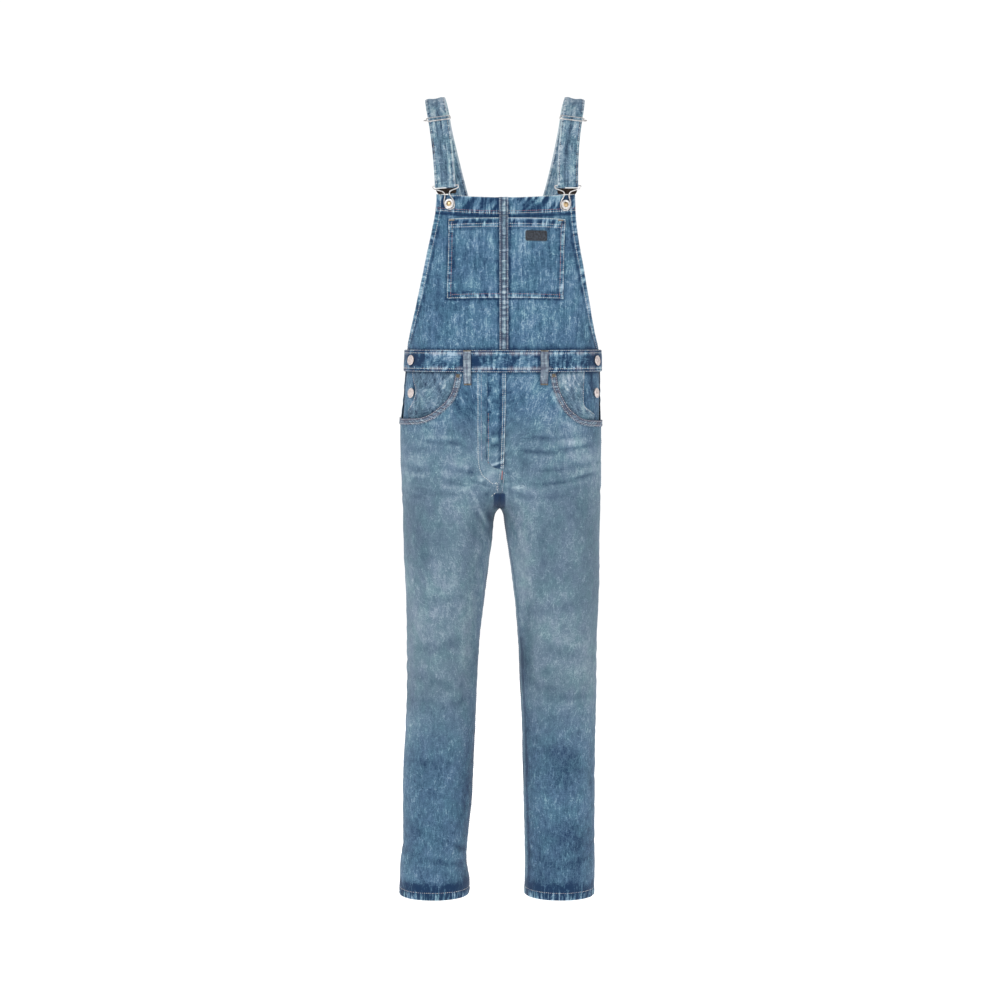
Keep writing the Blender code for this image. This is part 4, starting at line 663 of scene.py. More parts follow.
class Thread:
    """Stitches of one kind of thread, gathered into one mesh."""

    def __init__(self, seed):
        self.seed = seed
        self.rows = []

    def add(self, marks, up, tone):
        """Stitches from their start, two places near their middle, and their end."""
        count = len(up)
        self.seed += 1
        jitter = lattice(np.arange(count), np.zeros(count), self.seed)
        along = unit(marks[3] - marks[0])
        side = unit(np.cross(along, up))
        shift = side * (0.0001 * jitter)[:, None]
        rings = [
            mark[:, None] + shift[:, None] + up[:, None] * (0.0001 + THREAD_HIGH * np.cos(RING))[None, :, None]
            + side[:, None] * (THREAD_WIDE * np.sin(RING))[None, :, None]
            for mark in (marks[1], marks[2])
        ]
        tips = [(mark + shift - up * 0.0002)[:, None] for mark in (marks[0], marks[3])]
        made = np.concatenate([tips[0], rings[0], rings[1], tips[1]], axis=1)
        self.rows.append((made, tone + 0.25 * lattice(np.arange(count), np.ones(count), self.seed)))

    def sew(self, line, tone=0.5, stitch=STITCH, gap=STITCH_GAP):
        """A row of stitches along a line of points and normals."""
        points, normals = line
        length = arc(points) if len(points) > 1 else np.zeros(1)
        count = int((length[-1] + gap) / (stitch + gap))
        if count < 1:
            return
        spare = length[-1] - count * (stitch + gap) + gap
        first = spare / 2 + np.arange(count) * (stitch + gap)

        def at(place, values):
            return np.stack([np.interp(place, length, values[:, k]) for k in range(3)], -1)

        marks = [at(first + stitch * part, points) for part in (0.0, 0.25, 0.75, 1.0)]
        self.add(marks, unit(at(first + stitch / 2, normals)), tone)

    def tack(self, line, width, tone=0.5, pitch=0.0008):
        """Close stitches across a line."""
        points, normals = line
        length = arc(points)
        at = np.arange(pitch / 2, length[-1], pitch)
        point = np.stack([np.interp(at, length, points[:, k]) for k in range(3)], -1)
        up = unit(np.stack([np.interp(at, length, normals[:, k]) for k in range(3)], -1))
        along = unit(np.stack([np.gradient(points[:, k], length) for k in range(3)], -1))
        along = np.stack([np.interp(at, length, along[:, k]) for k in range(3)], -1)
        side = unit(np.cross(up, along)) * width / 2
        lift = up * 0.0002
        marks = [point - side, point - side * 0.7 + lift, point + side * 0.7 + lift, point + side]
        self.add(marks, up, tone)

    def finish(self, name, material):
        made = np.concatenate([row[0] for row in self.rows])
        tone = np.repeat(np.concatenate([row[1] for row in self.rows]), 14)
        k = np.arange(6)
        after = (k + 1) % 6
        tubes = np.stack([1 + k, 1 + after, 7 + after, 7 + k], -1)
        ends = np.concatenate([
            np.stack([0 * k, 1 + after, 1 + k], -1), np.stack([0 * k + 13, 7 + k, 7 + after], -1),
        ])
        offset = 14 * np.arange(len(made))[:, None, None]
        thread = make_mesh(name, made.reshape(-1, 3), (tubes[None] + offset).reshape(-1, 4),
                           (ends[None] + offset).reshape(-1, 3), (material,), attributes={"tone": tone})
        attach(thread, "root")
        return thread


def on_front(cloths, places, face=FRONT, steps=10):
    """Points and normals on the nearest cloth behind a curve through (x, z) places in millimetres."""
    graph = bpy.context.evaluated_depsgraph_get()
    trees = [BVHTree.FromObject(cloth.object, graph) for cloth in cloths]
    points, normals = [], []
    for x, z in smooth_curve(np.array(places, float) / 1000, steps):
        hits = [tree.ray_cast((x, -face, z), (0, face, 0)) for tree in trees]
        hits = [hit for hit in hits if hit[0] is not None]
        if hits:
            hit = min(hits, key=lambda found: found[3])
            points.append(hit[0])
            normals.append(hit[1])
    return np.array(points), np.array(normals)


def sewn(made, node):
    """A finished piece of cloth takes the place of its solid."""
    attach(made, "root")
    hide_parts(node)


# ================================================================ materials
def linear(*colour):
    """Linear colour from one of 0 to 255."""
    made = []
    for value in colour:
        value = value / 255
        made.append(value / 12.92 if value <= 0.04045 else ((value + 0.055) / 1.055) ** 2.4)
    return (*made, 1.0)


class Nodes:
    """A short way to write a material's nodes."""

    def __init__(self, name):
        self.material = bpy.data.materials.new(name)
        self.material.use_nodes = True
        self.tree = self.material.node_tree
        self.shader = self.tree.nodes["Principled BSDF"]

    def add(self, kind, **values):
        node = self.tree.nodes.new(kind)
        for key, value in values.items():
            if hasattr(node, key):
                setattr(node, key, value)
        return node

    def link(self, source, target):
        self.tree.links.new(source, target)

    def feed(self, socket, value):
        if isinstance(value, bpy.types.NodeSocket):
            self.link(value, socket)
        else:
            socket.default_value = value

    def math(self, operation, first, second=0.0, clamp=False):
        node = self.add("ShaderNodeMath", operation=operation, use_clamp=clamp)
        self.feed(node.inputs[0], first)
        self.feed(node.inputs[1], second)
        return node.outputs[0]

    def total(self, *values):
        made = values[0]
        for value in values[1:]:
            made = self.math("ADD", made, value)
        return made

    def attribute(self, name):
        return self.add("ShaderNodeAttribute", attribute_name=name).outputs["Fac"]

    def stretched(self, across, along, shift=0.0):
        """Cloth coordinates, with this many units for each metre across and along the warp."""
        uv = self.add("ShaderNodeUVMap", uv_map="cloth")
        mapping = self.add("ShaderNodeMapping")
        mapping.inputs["Scale"].default_value = (across, along, 1.0)
        mapping.inputs["Location"].default_value = (shift, shift * 0.7, 0.0)
        self.link(uv.outputs["UV"], mapping.inputs["Vector"])
        return mapping.outputs["Vector"]

    def noise(self, across, along, detail=2.0, roughness=0.5, distortion=0.0, shift=0.0):
        node = self.add("ShaderNodeTexNoise")
        node.inputs["Scale"].default_value = 1.0
        node.inputs["Detail"].default_value = detail
        node.inputs["Roughness"].default_value = roughness
        node.inputs["Distortion"].default_value = distortion
        self.link(self.stretched(across, along, shift), node.inputs["Vector"])
        return node.outputs["Fac"]

    def grain(self, scale, detail=2.0):
        """Noise in the piece's own space, for what has no cloth coordinates."""
        place = self.add("ShaderNodeTexCoord")
        node = self.add("ShaderNodeTexNoise")
        node.inputs["Scale"].default_value = scale
        node.inputs["Detail"].default_value = detail
        self.link(place.outputs["Object"], node.inputs["Vector"])
        return node.outputs["Fac"]

    def centred(self, value, amount):
        """A noise of 0 to 1 as a change of plus or minus the amount."""
        return self.math("MULTIPLY", self.math("SUBTRACT", value, 0.5), 2 * amount)

    def lines(self, value, width, amount):
        """Thin wandering lines where a noise passes its middle."""
        off = self.math("ABSOLUTE", self.math("SUBTRACT", value, 0.5))
        node = self.add("ShaderNodeMapRange", interpolation_type="SMOOTHSTEP")
        self.feed(node.inputs["Value"], off)
        node.inputs["From Min"].default_value = 0.0
        node.inputs["From Max"].default_value = width
        node.inputs["To Min"].default_value = amount
        node.inputs["To Max"].default_value = 0.0
        return node.outputs["Result"]

    def ramp(self, value, stops):
        node = self.add("ShaderNodeValToRGB")
        band = node.color_ramp
        band.elements[0].position, band.elements[0].color = stops[0]
        band.elements[1].position, band.elements[1].color = stops[-1]
        for place, colour in stops[1:-1]:
            band.elements.new(place).color = colour
        self.feed(node.inputs["Fac"], value)
        return node.outputs["Color"]

    def mix(self, part, first, second, kind="MIX"):
        node = self.add("ShaderNodeMix", data_type="RGBA", blend_type=kind)
        self.feed(node.inputs[0], part)
        self.feed(node.inputs[6], first)
        self.feed(node.inputs[7], second)
        return node.outputs[2]

    def bump(self, height, distance, strength=1.0):
        node = self.add("ShaderNodeBump")
        node.inputs["Distance"].default_value = distance
        node.inputs["Strength"].default_value = strength
        self.link(height, node.inputs["Height"])
        self.link(node.outputs["Normal"], self.shader.inputs["Normal"])


def denim(name, raw, faded, contrast=1.0):
    """Stonewashed denim.

    raw and faded are three colours each, from the dark of the valleys to the bare ridges.
    The wear and painted shade, fade and tint of each place come from the mesh.
    """
    n = Nodes(name)
    clouds = n.centred(n.noise(100, 70, detail=2, roughness=0.6), 0.34 * contrast)
    patches = n.centred(n.noise(11, 8, detail=2, shift=3.0), 0.16 * contrast)
    slub = n.centred(n.noise(430, 64, detail=2, roughness=0.6, shift=7.0), 0.44 * contrast)
    # Where the cloth is faded its lengthwise streaks are washed out, and the nap shows instead.
    slub = n.math("MULTIPLY", slub, n.math("SUBTRACT", 1.0, n.math("MULTIPLY", n.attribute("fade"), 0.6)))
    weft = n.centred(n.noise(60, 760, detail=1, shift=11.0), 0.14 * contrast)
    fine = n.centred(n.noise(560, 420, detail=2, roughness=0.7, shift=5.0), 0.46 * contrast)
    upright = n.lines(n.noise(96, 46, detail=1.0, distortion=1.0, shift=9.0), 0.045, 0.46 * contrast)
    wander = n.lines(n.noise(70, 66, detail=1.0, distortion=1.6, shift=17.0), 0.040, 0.42 * contrast)
    broken = n.math("MULTIPLY", n.total(upright, wander), n.noise(60, 50, detail=1.0, shift=23.0))
    # The faded zones are calmer.
    calm = n.math("SUBTRACT", 0.84, n.math("MULTIPLY", n.attribute("fade"), 0.26))
    grain = n.math("MULTIPLY", n.total(clouds, patches, slub, weft, fine, broken), calm)
    # Roping: short ridges across a line of stitching, as strong as the mesh asks for.
    roped = n.centred(n.noise(250, 30, detail=1.0, distortion=0.4, shift=41.0), 2.0)
    runged = n.centred(n.noise(30, 250, detail=1.0, distortion=0.4, shift=47.0), 2.0)
    ridges = n.math("ADD", n.math("MULTIPLY", roped, n.attribute("rope")),
                    n.math("MULTIPLY", runged, n.attribute("rung")))
    value = n.total(n.attribute("wear_and_shade"), grain, ridges)
    value = n.math("SUBTRACT", value, 0.076 * contrast, clamp=True)
    stops = (0.0, 0.5, 1.0)
    dark = n.ramp(value, [(place, linear(*colour)) for place, colour in zip(stops, raw)])
    pale = n.ramp(value, [(place, linear(*colour)) for place, colour in zip(stops, faded)])
    colour = n.mix(n.attribute("fade"), dark, pale)
    # The dye leans to green in some patches and to violet in others.
    leaning = n.ramp(n.noise(34, 24, detail=3, shift=31.0), [
        (0.36, (0.90, 1.0, 0.96, 1.0)), (0.50, (0.96, 0.98, 0.98, 1.0)), (0.64, (0.99, 0.96, 1.0, 1.0)),
    ])
    colour = n.mix(1.0, colour, leaning, kind="MULTIPLY")
    tinted = n.mix(n.attribute("tint"), colour, linear(144, 141, 154))
    n.link(tinted, n.shader.inputs["Base Color"])
    n.shader.inputs["Roughness"].default_value = 0.88
    n.shader.inputs["Specular IOR Level"].default_value = 0.25
    n.shader.inputs["Sheen Weight"].default_value = 0.18
    n.shader.inputs["Sheen Roughness"].default_value = 0.5
    n.shader.inputs["Sheen Tint"].default_value = (0.75, 0.85, 1.0, 1.0)
    twill = n.add("ShaderNodeTexWave", wave_type="BANDS", bands_direction="DIAGONAL")
    twill.inputs["Scale"].default_value = 1.0
    twill.inputs["Distortion"].default_value = 1.5
    twill.inputs["Detail"].default_value = 1.0
    n.link(n.stretched(360, 360), twill.inputs["Vector"])
    ribs = n.math("MULTIPLY", twill.outputs["Fac"], 0.35)
    height = n.total(ribs, n.noise(620, 38, detail=2, roughness=0.6, shift=7.0), fine,
                     n.math("MULTIPLY", ridges, 0.8))
    n.bump(height, 0.0005, 0.6)
    return n.material


def thread_material(name, tones):
    """Twisted cotton, with each stitch a little lighter or darker than the next."""
    n = Nodes(name)
    value = n.total(n.attribute("tone"), n.centred(n.grain(900, detail=2), 0.5))
    stops = [(place, linear(*colour)) for place, colour in zip((0.0, 0.4, 0.7, 1.0), tones)]
    n.link(n.ramp(value, stops), n.shader.inputs["Base Color"])
    n.shader.inputs["Roughness"].default_value = 0.75
    n.shader.inputs["Specular IOR Level"].default_value = 0.3
    n.shader.inputs["Sheen Weight"].default_value = 0.1
    n.bump(n.grain(2600, detail=1), 0.0002, 0.5)
    return n.material


def metal(name, clean, dull, roughness, metallic=1.0):
    """Plated metal with dull patches and fine scratches."""
    n = Nodes(name)
    dulled = n.grain(260, detail=3)
    n.link(n.ramp(dulled, [(0.35, linear(*dull)), (0.62, linear(*clean))]), n.shader.inputs["Base Color"])
    n.shader.inputs["Metallic"].default_value = metallic
    rough = n.total(n.centred(n.grain(700, detail=2), 0.16), n.centred(dulled, -0.12))
    n.link(n.math("ADD", rough, roughness, clamp=True), n.shader.inputs["Roughness"])
    n.bump(n.grain(1500, detail=2), 0.0001, 0.25)
    return n.material


def enamel():
    """Dark enamel, rubbed paler in places."""
    n = Nodes("enamel")
    rubbed = n.grain(420, detail=3)
    colour = n.ramp(rubbed, [(0.40, linear(16, 20, 28)), (0.70, linear(58, 66, 78))])
    n.link(colour, n.shader.inputs["Base Color"])
    n.link(n.math("ADD", n.centred(rubbed, 0.3), 0.38, clamp=True), n.shader.inputs["Roughness"])
    n.bump(n.grain(1100, detail=2), 0.0001, 0.3)
    return n.material


def main_materials():
    made = {}
    made["denim"] = denim(
        "denim", ((10, 46, 80), (75, 112, 140), (160, 186, 202)),
        ((48, 72, 94), (102, 124, 139), (164, 180, 190)),
    )
    made["pale"] = denim(
        "pale_denim", ((26, 48, 74), (98, 127, 148), (184, 198, 206)),
        ((48, 70, 92), (112, 133, 147), (184, 196, 202)),
    )
    made["reverse"] = denim(
        "denim_reverse", ((74, 92, 106), (110, 127, 140), (150, 162, 172)),
        ((74, 92, 106), (110, 127, 140), (150, 162, 172)), contrast=0.6,
    )
    made["thread"] = thread_material(
        "thread", ((98, 106, 128), (164, 162, 178), (206, 206, 204), (234, 234, 230)))
    made["tack"] = thread_material(
        "bar_tack_thread", ((84, 80, 68), (126, 114, 98), (150, 132, 116), (172, 116, 124)))
    made["steel"] = metal("nickel_plate", (232, 230, 228), (176, 172, 172), 0.34, 0.8)
    made["satin"] = metal("satin_nickel", (238, 226, 222), (196, 182, 180), 0.42, 0.55)
    made["brass"] = metal("worn_brass", (196, 170, 132), (128, 108, 84), 0.36)
    # A dark metal for the plate that stands in for the shade behind each buckle.
    made["dark_metal"] = metal("shade_plate_nickel", (58, 50, 46), (34, 30, 30), 0.45)
    made["enamel"] = enamel()
    return made


materials = main_materials()
DENIM = (materials["denim"], materials["reverse"])
PALE = (materials["pale"], materials["reverse"])

# ================================================================ legs
SETTLED_Z = -0.710              # above this the rows follow the pocket mouth and the waist
LEG_STEP = 0.0026
POCKET_MOUTH = {                # x, z, edge_x, edge_z
    RIGHT: np.array((
        (0.0815, -0.5130, 0.0930, -0.5103), (0.0842, -0.5380, 0.1200, -0.5093),
        (0.0885, -0.5570, 0.1430, -0.5078), (0.0940, -0.5710, 0.1600, -0.5062),
        (0.1010, -0.5815, 0.1735, -0.5045), (0.1140, -0.5932, 0.1725, -0.5300),
        (0.1310, -0.6060, 0.1660, -0.5550), (0.1527, -0.6137, 0.1735, -0.5790),
        (0.1740, -0.6140, 0.1830, -0.5920),
    )),
    LEFT: np.array((
        (0.0885, -0.5130, 0.0990, -0.5103), (0.0915, -0.5370, 0.1190, -0.5093),
        (0.0965, -0.5590, 0.1360, -0.5080), (0.1060, -0.5800, 0.1507, -0.5063),
        (0.1200, -0.5990, 0.1507, -0.5450), (0.1396, -0.6130, 0.1515, -0.5820),
        (0.1560, -0.6172, 0.1640, -0.5930), (0.1700, -0.6172, 0.1750, -0.5990),
    )),
}
MOUTH_SIDE_Z = {RIGHT: -0.6078, LEFT: -0.6126}
MOUTH_BAND_WIDTH = 0.0120
FACING_DEPTH = LAYER + SEAM_GAP


def mouth_line(side):
    """The pocket mouth as (angle, height), from the waist to the outseam."""
    rows = POCKET_MOUTH[side]
    line = np.stack([angle_at(side, rows[:, 0], rows[:, 1]), rows[:, 1]], -1)
    last, end_z = line[-1], MOUTH_SIDE_Z[side]
    ends = [(last[0] * (1 - part), last[1] + (end_z - last[1]) * part ** 2) for part in (1 / 3, 2 / 3, 1)]
    return smooth_curve(np.concatenate([line, ends]), 14)


def mouth_edge(side, distance):
    """The mouth line moved into the front panel by a distance, or into the opening."""
    line = mouth_line(side)
    point, normal = station(side, line[:, 0], line[:, 1])
    inward = unit(np.cross(np.gradient(point, axis=0), normal)) * side
    angle, z = line[:, 0], line[:, 1]
    d_angle = (body_point(side, angle + 0.005, z) - body_point(side, angle - 0.005, z)) / 0.01
    d_z = (body_point(side, angle, z + 0.001) - body_point(side, angle, z - 0.001)) / 0.002
    # At the outseam the edge moves straight down, so that it ends on the seam.
    ending = rise(0.10, 0.0, angle)[:, None]
    move = inward * (1 - ending) + unit(d_z) * -np.sign(1.0) * ending
    move = move * distance
    aa, az, zz = ((p * q).sum(-1) for p, q in ((d_angle, d_angle), (d_angle, d_z), (d_z, d_z)))
    ma, mz = (move * d_angle).sum(-1), (move * d_z).sum(-1)
    scale = aa * zz - az * az
    made = np.stack([angle + (ma * zz - mz * az) / scale, z + (mz * aa - ma * az) / scale], -1)
    made[:, 0] = np.maximum(made[:, 0], 0.0)
    made[-1, 0] = 0.0
    return made


def leg_rows():
    top = np.arange(WAIST_SEAM_Z, SETTLED_Z, -LEG_STEP)
    lower = np.linspace(SETTLED_Z, HEM_Z + HEM_HEIGHT, int((SETTLED_Z - HEM_Z - HEM_HEIGHT) / LEG_STEP))
    edge = (WALL + HEM_FOLD) / 2
    hem = HEM_Z + HEM_HEIGHT - spaced(HEM_HEIGHT, 0.0013, edge)[4:] * HEM_HEIGHT
    start = np.array((0.134, 0.5, 1.0)) * WALL / 2
    return np.concatenate([[WAIST_SEAM_Z], WAIST_SEAM_Z - start, top[1:], lower, hem])


def leg_grid(side, direction, parts, tops):
    rows = leg_rows()[:, None]
    stretch = (tops - SETTLED_Z) / (WAIST_SEAM_Z - SETTLED_Z)
    z = np.where(rows > SETTLED_Z, SETTLED_Z + (rows - SETTLED_Z) * stretch, rows + 0 * tops)
    angle = direction * seam_angle(side, z) * parts
    return Cloth(side, angle, z, half=side)


def front_parts(side):
    """Columns of a front panel: part of the way round, and the height of the top edge."""
    edge = mouth_edge(side, -MOUTH_BAND_WIDTH / 2)[::-1]
    part = edge[:, 0] / seam_angle(side, edge[:, 1])
    keep = [0]
    for index in range(1, len(part)):
        if part[index] - part[keep[-1]] > 0.0036:
            keep.append(index)
    if keep[-1] != len(part) - 1:
        keep[-1] = len(part) - 1
    first = np.array((0.0005, 0.0018, 0.0036))
    near_z = np.interp(first, part[keep], edge[keep, 1])
    parts = np.concatenate([[0.0], first, part[keep][1:]])
    tops = np.concatenate([[edge[0, 1]], near_z, edge[keep, 1][1:]])
    rest = 1 - spaced(0.25 * (1 - parts[-1]), 0.0032)[::-1]
    rest = parts[-1] + (1 - parts[-1]) * rest[rest > 0.012]
    rest = np.sort(rest)
    angle = rest * seam_angle(side, WAIST_SEAM_Z)
    return np.concatenate([parts, rest]), np.concatenate([tops, waist_z(WAIST_SEAM_Z, angle)])


def hem_levels(cloth):
    """The turned-in hem is thicker than the leg."""
    height = cloth.z - HEM_Z
    low = -WALL - HEM_FOLD * (1 - rise(HEM_HEIGHT - 0.0005, HEM_HEIGHT + 0.0005, height))
    return low


HEM_STITCH = 0.0150
# Where the crotch gets painted shade.
CROTCH_SHADE = (-0.0160, 0.0035, -0.7755, -0.7490)      # x, x, z, z


def leg_panel(name, side, direction, parts, tops):
    cloth = leg_grid(side, direction, parts, tops)
    low = hem_levels(cloth)
    # The weave and the puckers run on round the leg, from the front panel to the back one.
    uv = np.stack([side * direction * cloth.left, cloth.z], -1)
    x, z = cloth.base[..., 0], cloth.z
    fade, wear_and_shade = washed(cloth.angle, z, x)
    seed = 70 + 3 * side + direction
    outer = puckers(z, direction * cloth.left, 70 + 3 * side, 0.0085, 0.0095, 0.5)
    outer = outer * (rise(-0.600, -0.625, z) if direction > 0 else rise(-0.52, -0.54, z))
    inner = puckers(z, direction * cloth.right, 90 + 3 * side, 0.0070, 0.009, -0.5)
    hem = puckers(cloth.left, cloth.bottom - 0.010, seed + 40, 0.0046, 0.012, 0.9)
    relief = 0.0006 * outer + 0.0004 * inner + 0.0006 * hem
    relief = relief - 0.0004 * bell(cloth.bottom, HEM_STITCH, 0.002)
    wear_and_shade = wear_and_shade + 0.30 * outer + 0.22 * inner + 0.12 * hem
    dark = (0.66 if side == RIGHT else 0.38) * bell(cloth.bottom, 0.0230, 0.0085)
    dark = dark * (0.8 + 0.7 * noise((cloth.left + 0.6 * cloth.bottom) / 0.012, 2.5, seed + 60))
    wear_and_shade = wear_and_shade - (0.26 if side == RIGHT else 0.14) * rise(0.0165, 0.0150, cloth.bottom)
    fade = fade * (1 - np.clip(1.5 * dark, 0, 1))
    wear_and_shade = wear_and_shade - dark - 0.26 * bell(cloth.bottom, 0.0170, 0.0045) + 0.25 * bell(cloth.bottom, 0.0, 0.0016)
    # Painted shade along the outseam and the inseam, where the leg turns away from the light.
    wear_and_shade = wear_and_shade - 0.12 * bell(cloth.left, 0.0, 0.012) - 0.16 * bell(cloth.right, 0.0, 0.010)
    rope = 0.85 * rise(0.0170, 0.0140, cloth.bottom) + 0.5 * bell(cloth.bottom, 0.0200, 0.0060)
    rung = 0.2 * bell(cloth.left, 0.0, 0.010) * rise(-0.61, -0.63, z)
    if side == LEFT and direction > 0:
        # The felled seam between the legs turns to the front here.
        leg = rise(-0.80, -0.84, z)
        wear_and_shade = wear_and_shade + leg * (0.16 * rise(0.026, 0.020, cloth.right) - 0.26 * bell(cloth.right, 0.031, 0.005))
        fade = fade + leg * 0.4 * (1 - fade) * rise(0.026, 0.020, cloth.right)
    # Painted shade under the waistband, beside and below the belt loops and under the pocket mouth band.
    under = waist_z(BAND_BOTTOM_Z, cloth.angle) - z
    wear_and_shade = wear_and_shade - 0.30 * bell(under, 0.0, 0.0040)
    if direction > 0:
        for loop_x in BELT_LOOP_X:
            beside = bell(np.abs(x - loop_x), 0.0085, 0.0022) * rise(0.026, 0.022, under)
            below = bell(np.abs(x - loop_x), 0.0, 0.0070) * bell(under, 0.0160, 0.0028)
            wear_and_shade = wear_and_shade - 0.22 * beside - 0.25 * below
        mouth = (cloth.z[:1] < -0.517) * rise(-0.615, -0.600, z)
        wear_and_shade = wear_and_shade - 0.28 * mouth * bell(cloth.top, 0.0085, 0.0028)
        # Painted shade in the crotch, where the cloth turns under between the legs; the cloth is also pressed in a
        # little there.
        x0, x1, z0, z1 = CROTCH_SHADE
        crotch_shade = rise(x0 - 0.002, x0 + 0.001, x) * rise(x1 + 0.002, x1 - 0.001, x)
        crotch_shade = crotch_shade * rise(z1 + 0.002, z1 - 0.001, z) * rise(z0 - 0.001, z0 + 0.001, z)
        wear_and_shade = wear_and_shade - 0.62 * crotch_shade
        fade = fade * (1 - crotch_shade)
        relief = relief - 0.0016 * crotch_shade
    cloth.build(name, low, 0.0, DENIM, relief=relief, wear_and_shade=wear_and_shade, fade=fade, rope=rope, rung=rung,
                radius=WALL / 2, uv=uv)
    return cloth


def legs():
    made = {}
    for side in SIDES:
        name = SIDE_NAME[side]
        parts, tops = front_parts(side)
        front = leg_panel("front_leg_cloth_" + name, side, 1, parts, tops)
        sewn(front.object, "front_leg_" + name)
        parts = spaced(0.26, 0.0030)
        angle = -parts * seam_angle(side, WAIST_SEAM_Z)
        back = leg_panel("back_leg_cloth_" + name, side, -1, parts, waist_z(WAIST_SEAM_Z, angle))
        sewn(back.object, "back_leg_" + name)
        made[side] = (front, back)
    return made


# ================================================================ pocket mouth, facing, placket
FACING_UNDERLAP = 0.0060
PLACKET_FRONT_X = {RIGHT: 0.150, LEFT: 0.128}
PLACKET_BACK_ANGLE = -0.02
PLACKET_BOTTOM_Z = {RIGHT: -0.6190, LEFT: -0.6235}
PLACKET_SINK = 0.0016
PLACKET_DEEP = FACING_DEPTH + WALL + LOOSE_GAP
PLACKET_SHALLOW = LAYER + LOOSE_GAP


def lines_between(first, last, parts):
    """A grid between two lines of (angle, z)."""
    return first[:, None, :] + (last - first)[:, None, :] * parts[None, :, None]


def resampled(line, rows):
    """A line of (angle, z) at chosen parts of its length."""
    place = np.stack([line[:, 0] * 0.1, line[:, 1]], -1)
    length = arc(place)
    at = rows * length[-1]
    return np.stack([np.interp(at, length, line[:, k]) for k in range(line.shape[1])], -1)


def mouth_bands():
    made = {}
    for side in SIDES:
        name = SIDE_NAME[side]
        outer = mouth_edge(side, -MOUTH_BAND_WIDTH / 2)
        inner = mouth_edge(side, MOUTH_BAND_WIDTH / 2)
        first_z = float(waist_z(BAND_BOTTOM_Z, inner[0, 0])) - 2 * SEAM_GAP
        both = np.concatenate([outer, inner], axis=1)
        both = both[(outer[:, 1] < first_z) & (inner[:, 1] < first_z)]
        both = resampled(both, spaced(0.17, 0.0022))
        grid = lines_between(both[:, :2], both[:, 2:], spaced(MOUTH_BAND_WIDTH, 0.0010, 0.0007))
        cloth = Cloth(side, grid[..., 0], grid[..., 1])
        ridge = noise(cloth.top / 0.0052, cloth.left / 0.02, 90 + side)
        # The edge against the front panel gets a line of painted shade.
        wear_and_shade = 0.34 * ridge + 0.4 * bell(cloth.left, 0.006, 0.002) - 0.4 * bell(cloth.left, 0.0, 0.0018)
        wear_and_shade = wear_and_shade + 0.45 * bell(cloth.right, 0.0, 0.0014)
        cloth.build("pocket_mouth_band_cloth_" + name, LOOSE_GAP, LOOSE_GAP + 0.0014, PALE, rung=0.5,
                    relief=0.00018 * ridge, wear_and_shade=wear_and_shade, tint=0.22, radius=0.0007, step=3)
        sewn(cloth.object, "pocket_mouth_band_" + name)
        made[side] = cloth
    return made


def facings():
    made = {}
    for side in SIDES:
        name = SIDE_NAME[side]
        rows = POCKET_MOUTH[side]
        inside = mouth_edge(side, MOUTH_BAND_WIDTH / 2 + FACING_UNDERLAP)[: 14 * (len(rows) - 1) + 1]
        edge = np.stack([angle_at(side, rows[:, 2], rows[:, 3]), rows[:, 3]], -1)
        edge = smooth_curve(edge, 14)
        share = np.linspace(0, 1, len(edge))
        both = np.concatenate([inside, edge], axis=1)
        parts = spaced(0.16, 0.0022)
        both = np.stack([np.interp(parts, share, both[:, k]) for k in range(4)], -1)
        grid = lines_between(both[:, :2], both[:, 2:], spaced(0.075, 0.0018))
        cloth = Cloth(side, grid[..., 0], grid[..., 1])
        rib = parts[:, None] * (len(rows) - 1)
        ribs = len(rows)
        high = -FACING_DEPTH - LOOSE_GAP * rise(ribs - 5, ribs - 2, rib) + 0 * cloth.z
        x = cloth.base[..., 0]
        streak = noise(x / 0.0040, cloth.z / 0.016, 94 + side)
        crossed = veins((x + 0.6 * cloth.z) / 0.010, cloth.z / 0.03, 95) + veins(
            (x - 0.9 * cloth.z) / 0.012, cloth.z / 0.03, 96)
        edge = puckers(cloth.z, cloth.right, 96 + side, 0.006, 0.010, 0.4)
        wear_and_shade = (0.28 if side == RIGHT else 0.50) + 0.16 * streak + 0.20 * crossed
        wear_and_shade = wear_and_shade + 0.16 * noise(x / 0.022, cloth.z / 0.026, 98 + side)
        wear_and_shade = wear_and_shade + 0.25 * edge + 0.3 * bell(cloth.right, 0.0, 0.002)
        # Painted shade just under the waistband, and a darker line 17 mm in from the inner edge.
        under = waist_z(BAND_BOTTOM_Z, cloth.angle) - cloth.z
        wear_and_shade = wear_and_shade - 0.3 * bell(under, 0.0, 0.004) - 0.3 * bell(cloth.left, 0.017, 0.004)
        cloth.build("hip_facing_cloth_" + name, high - WALL, high, PALE,
                    relief=0.00012 * streak + 0.0002 * edge, wear_and_shade=wear_and_shade, step=4)
        sewn(cloth.object, "hip_facing_" + name)
        made[side] = cloth
    return made


def placket_depth(part):
    return PLACKET_DEEP + (PLACKET_SHALLOW - PLACKET_DEEP) * rise(0.45, 0.85, part)


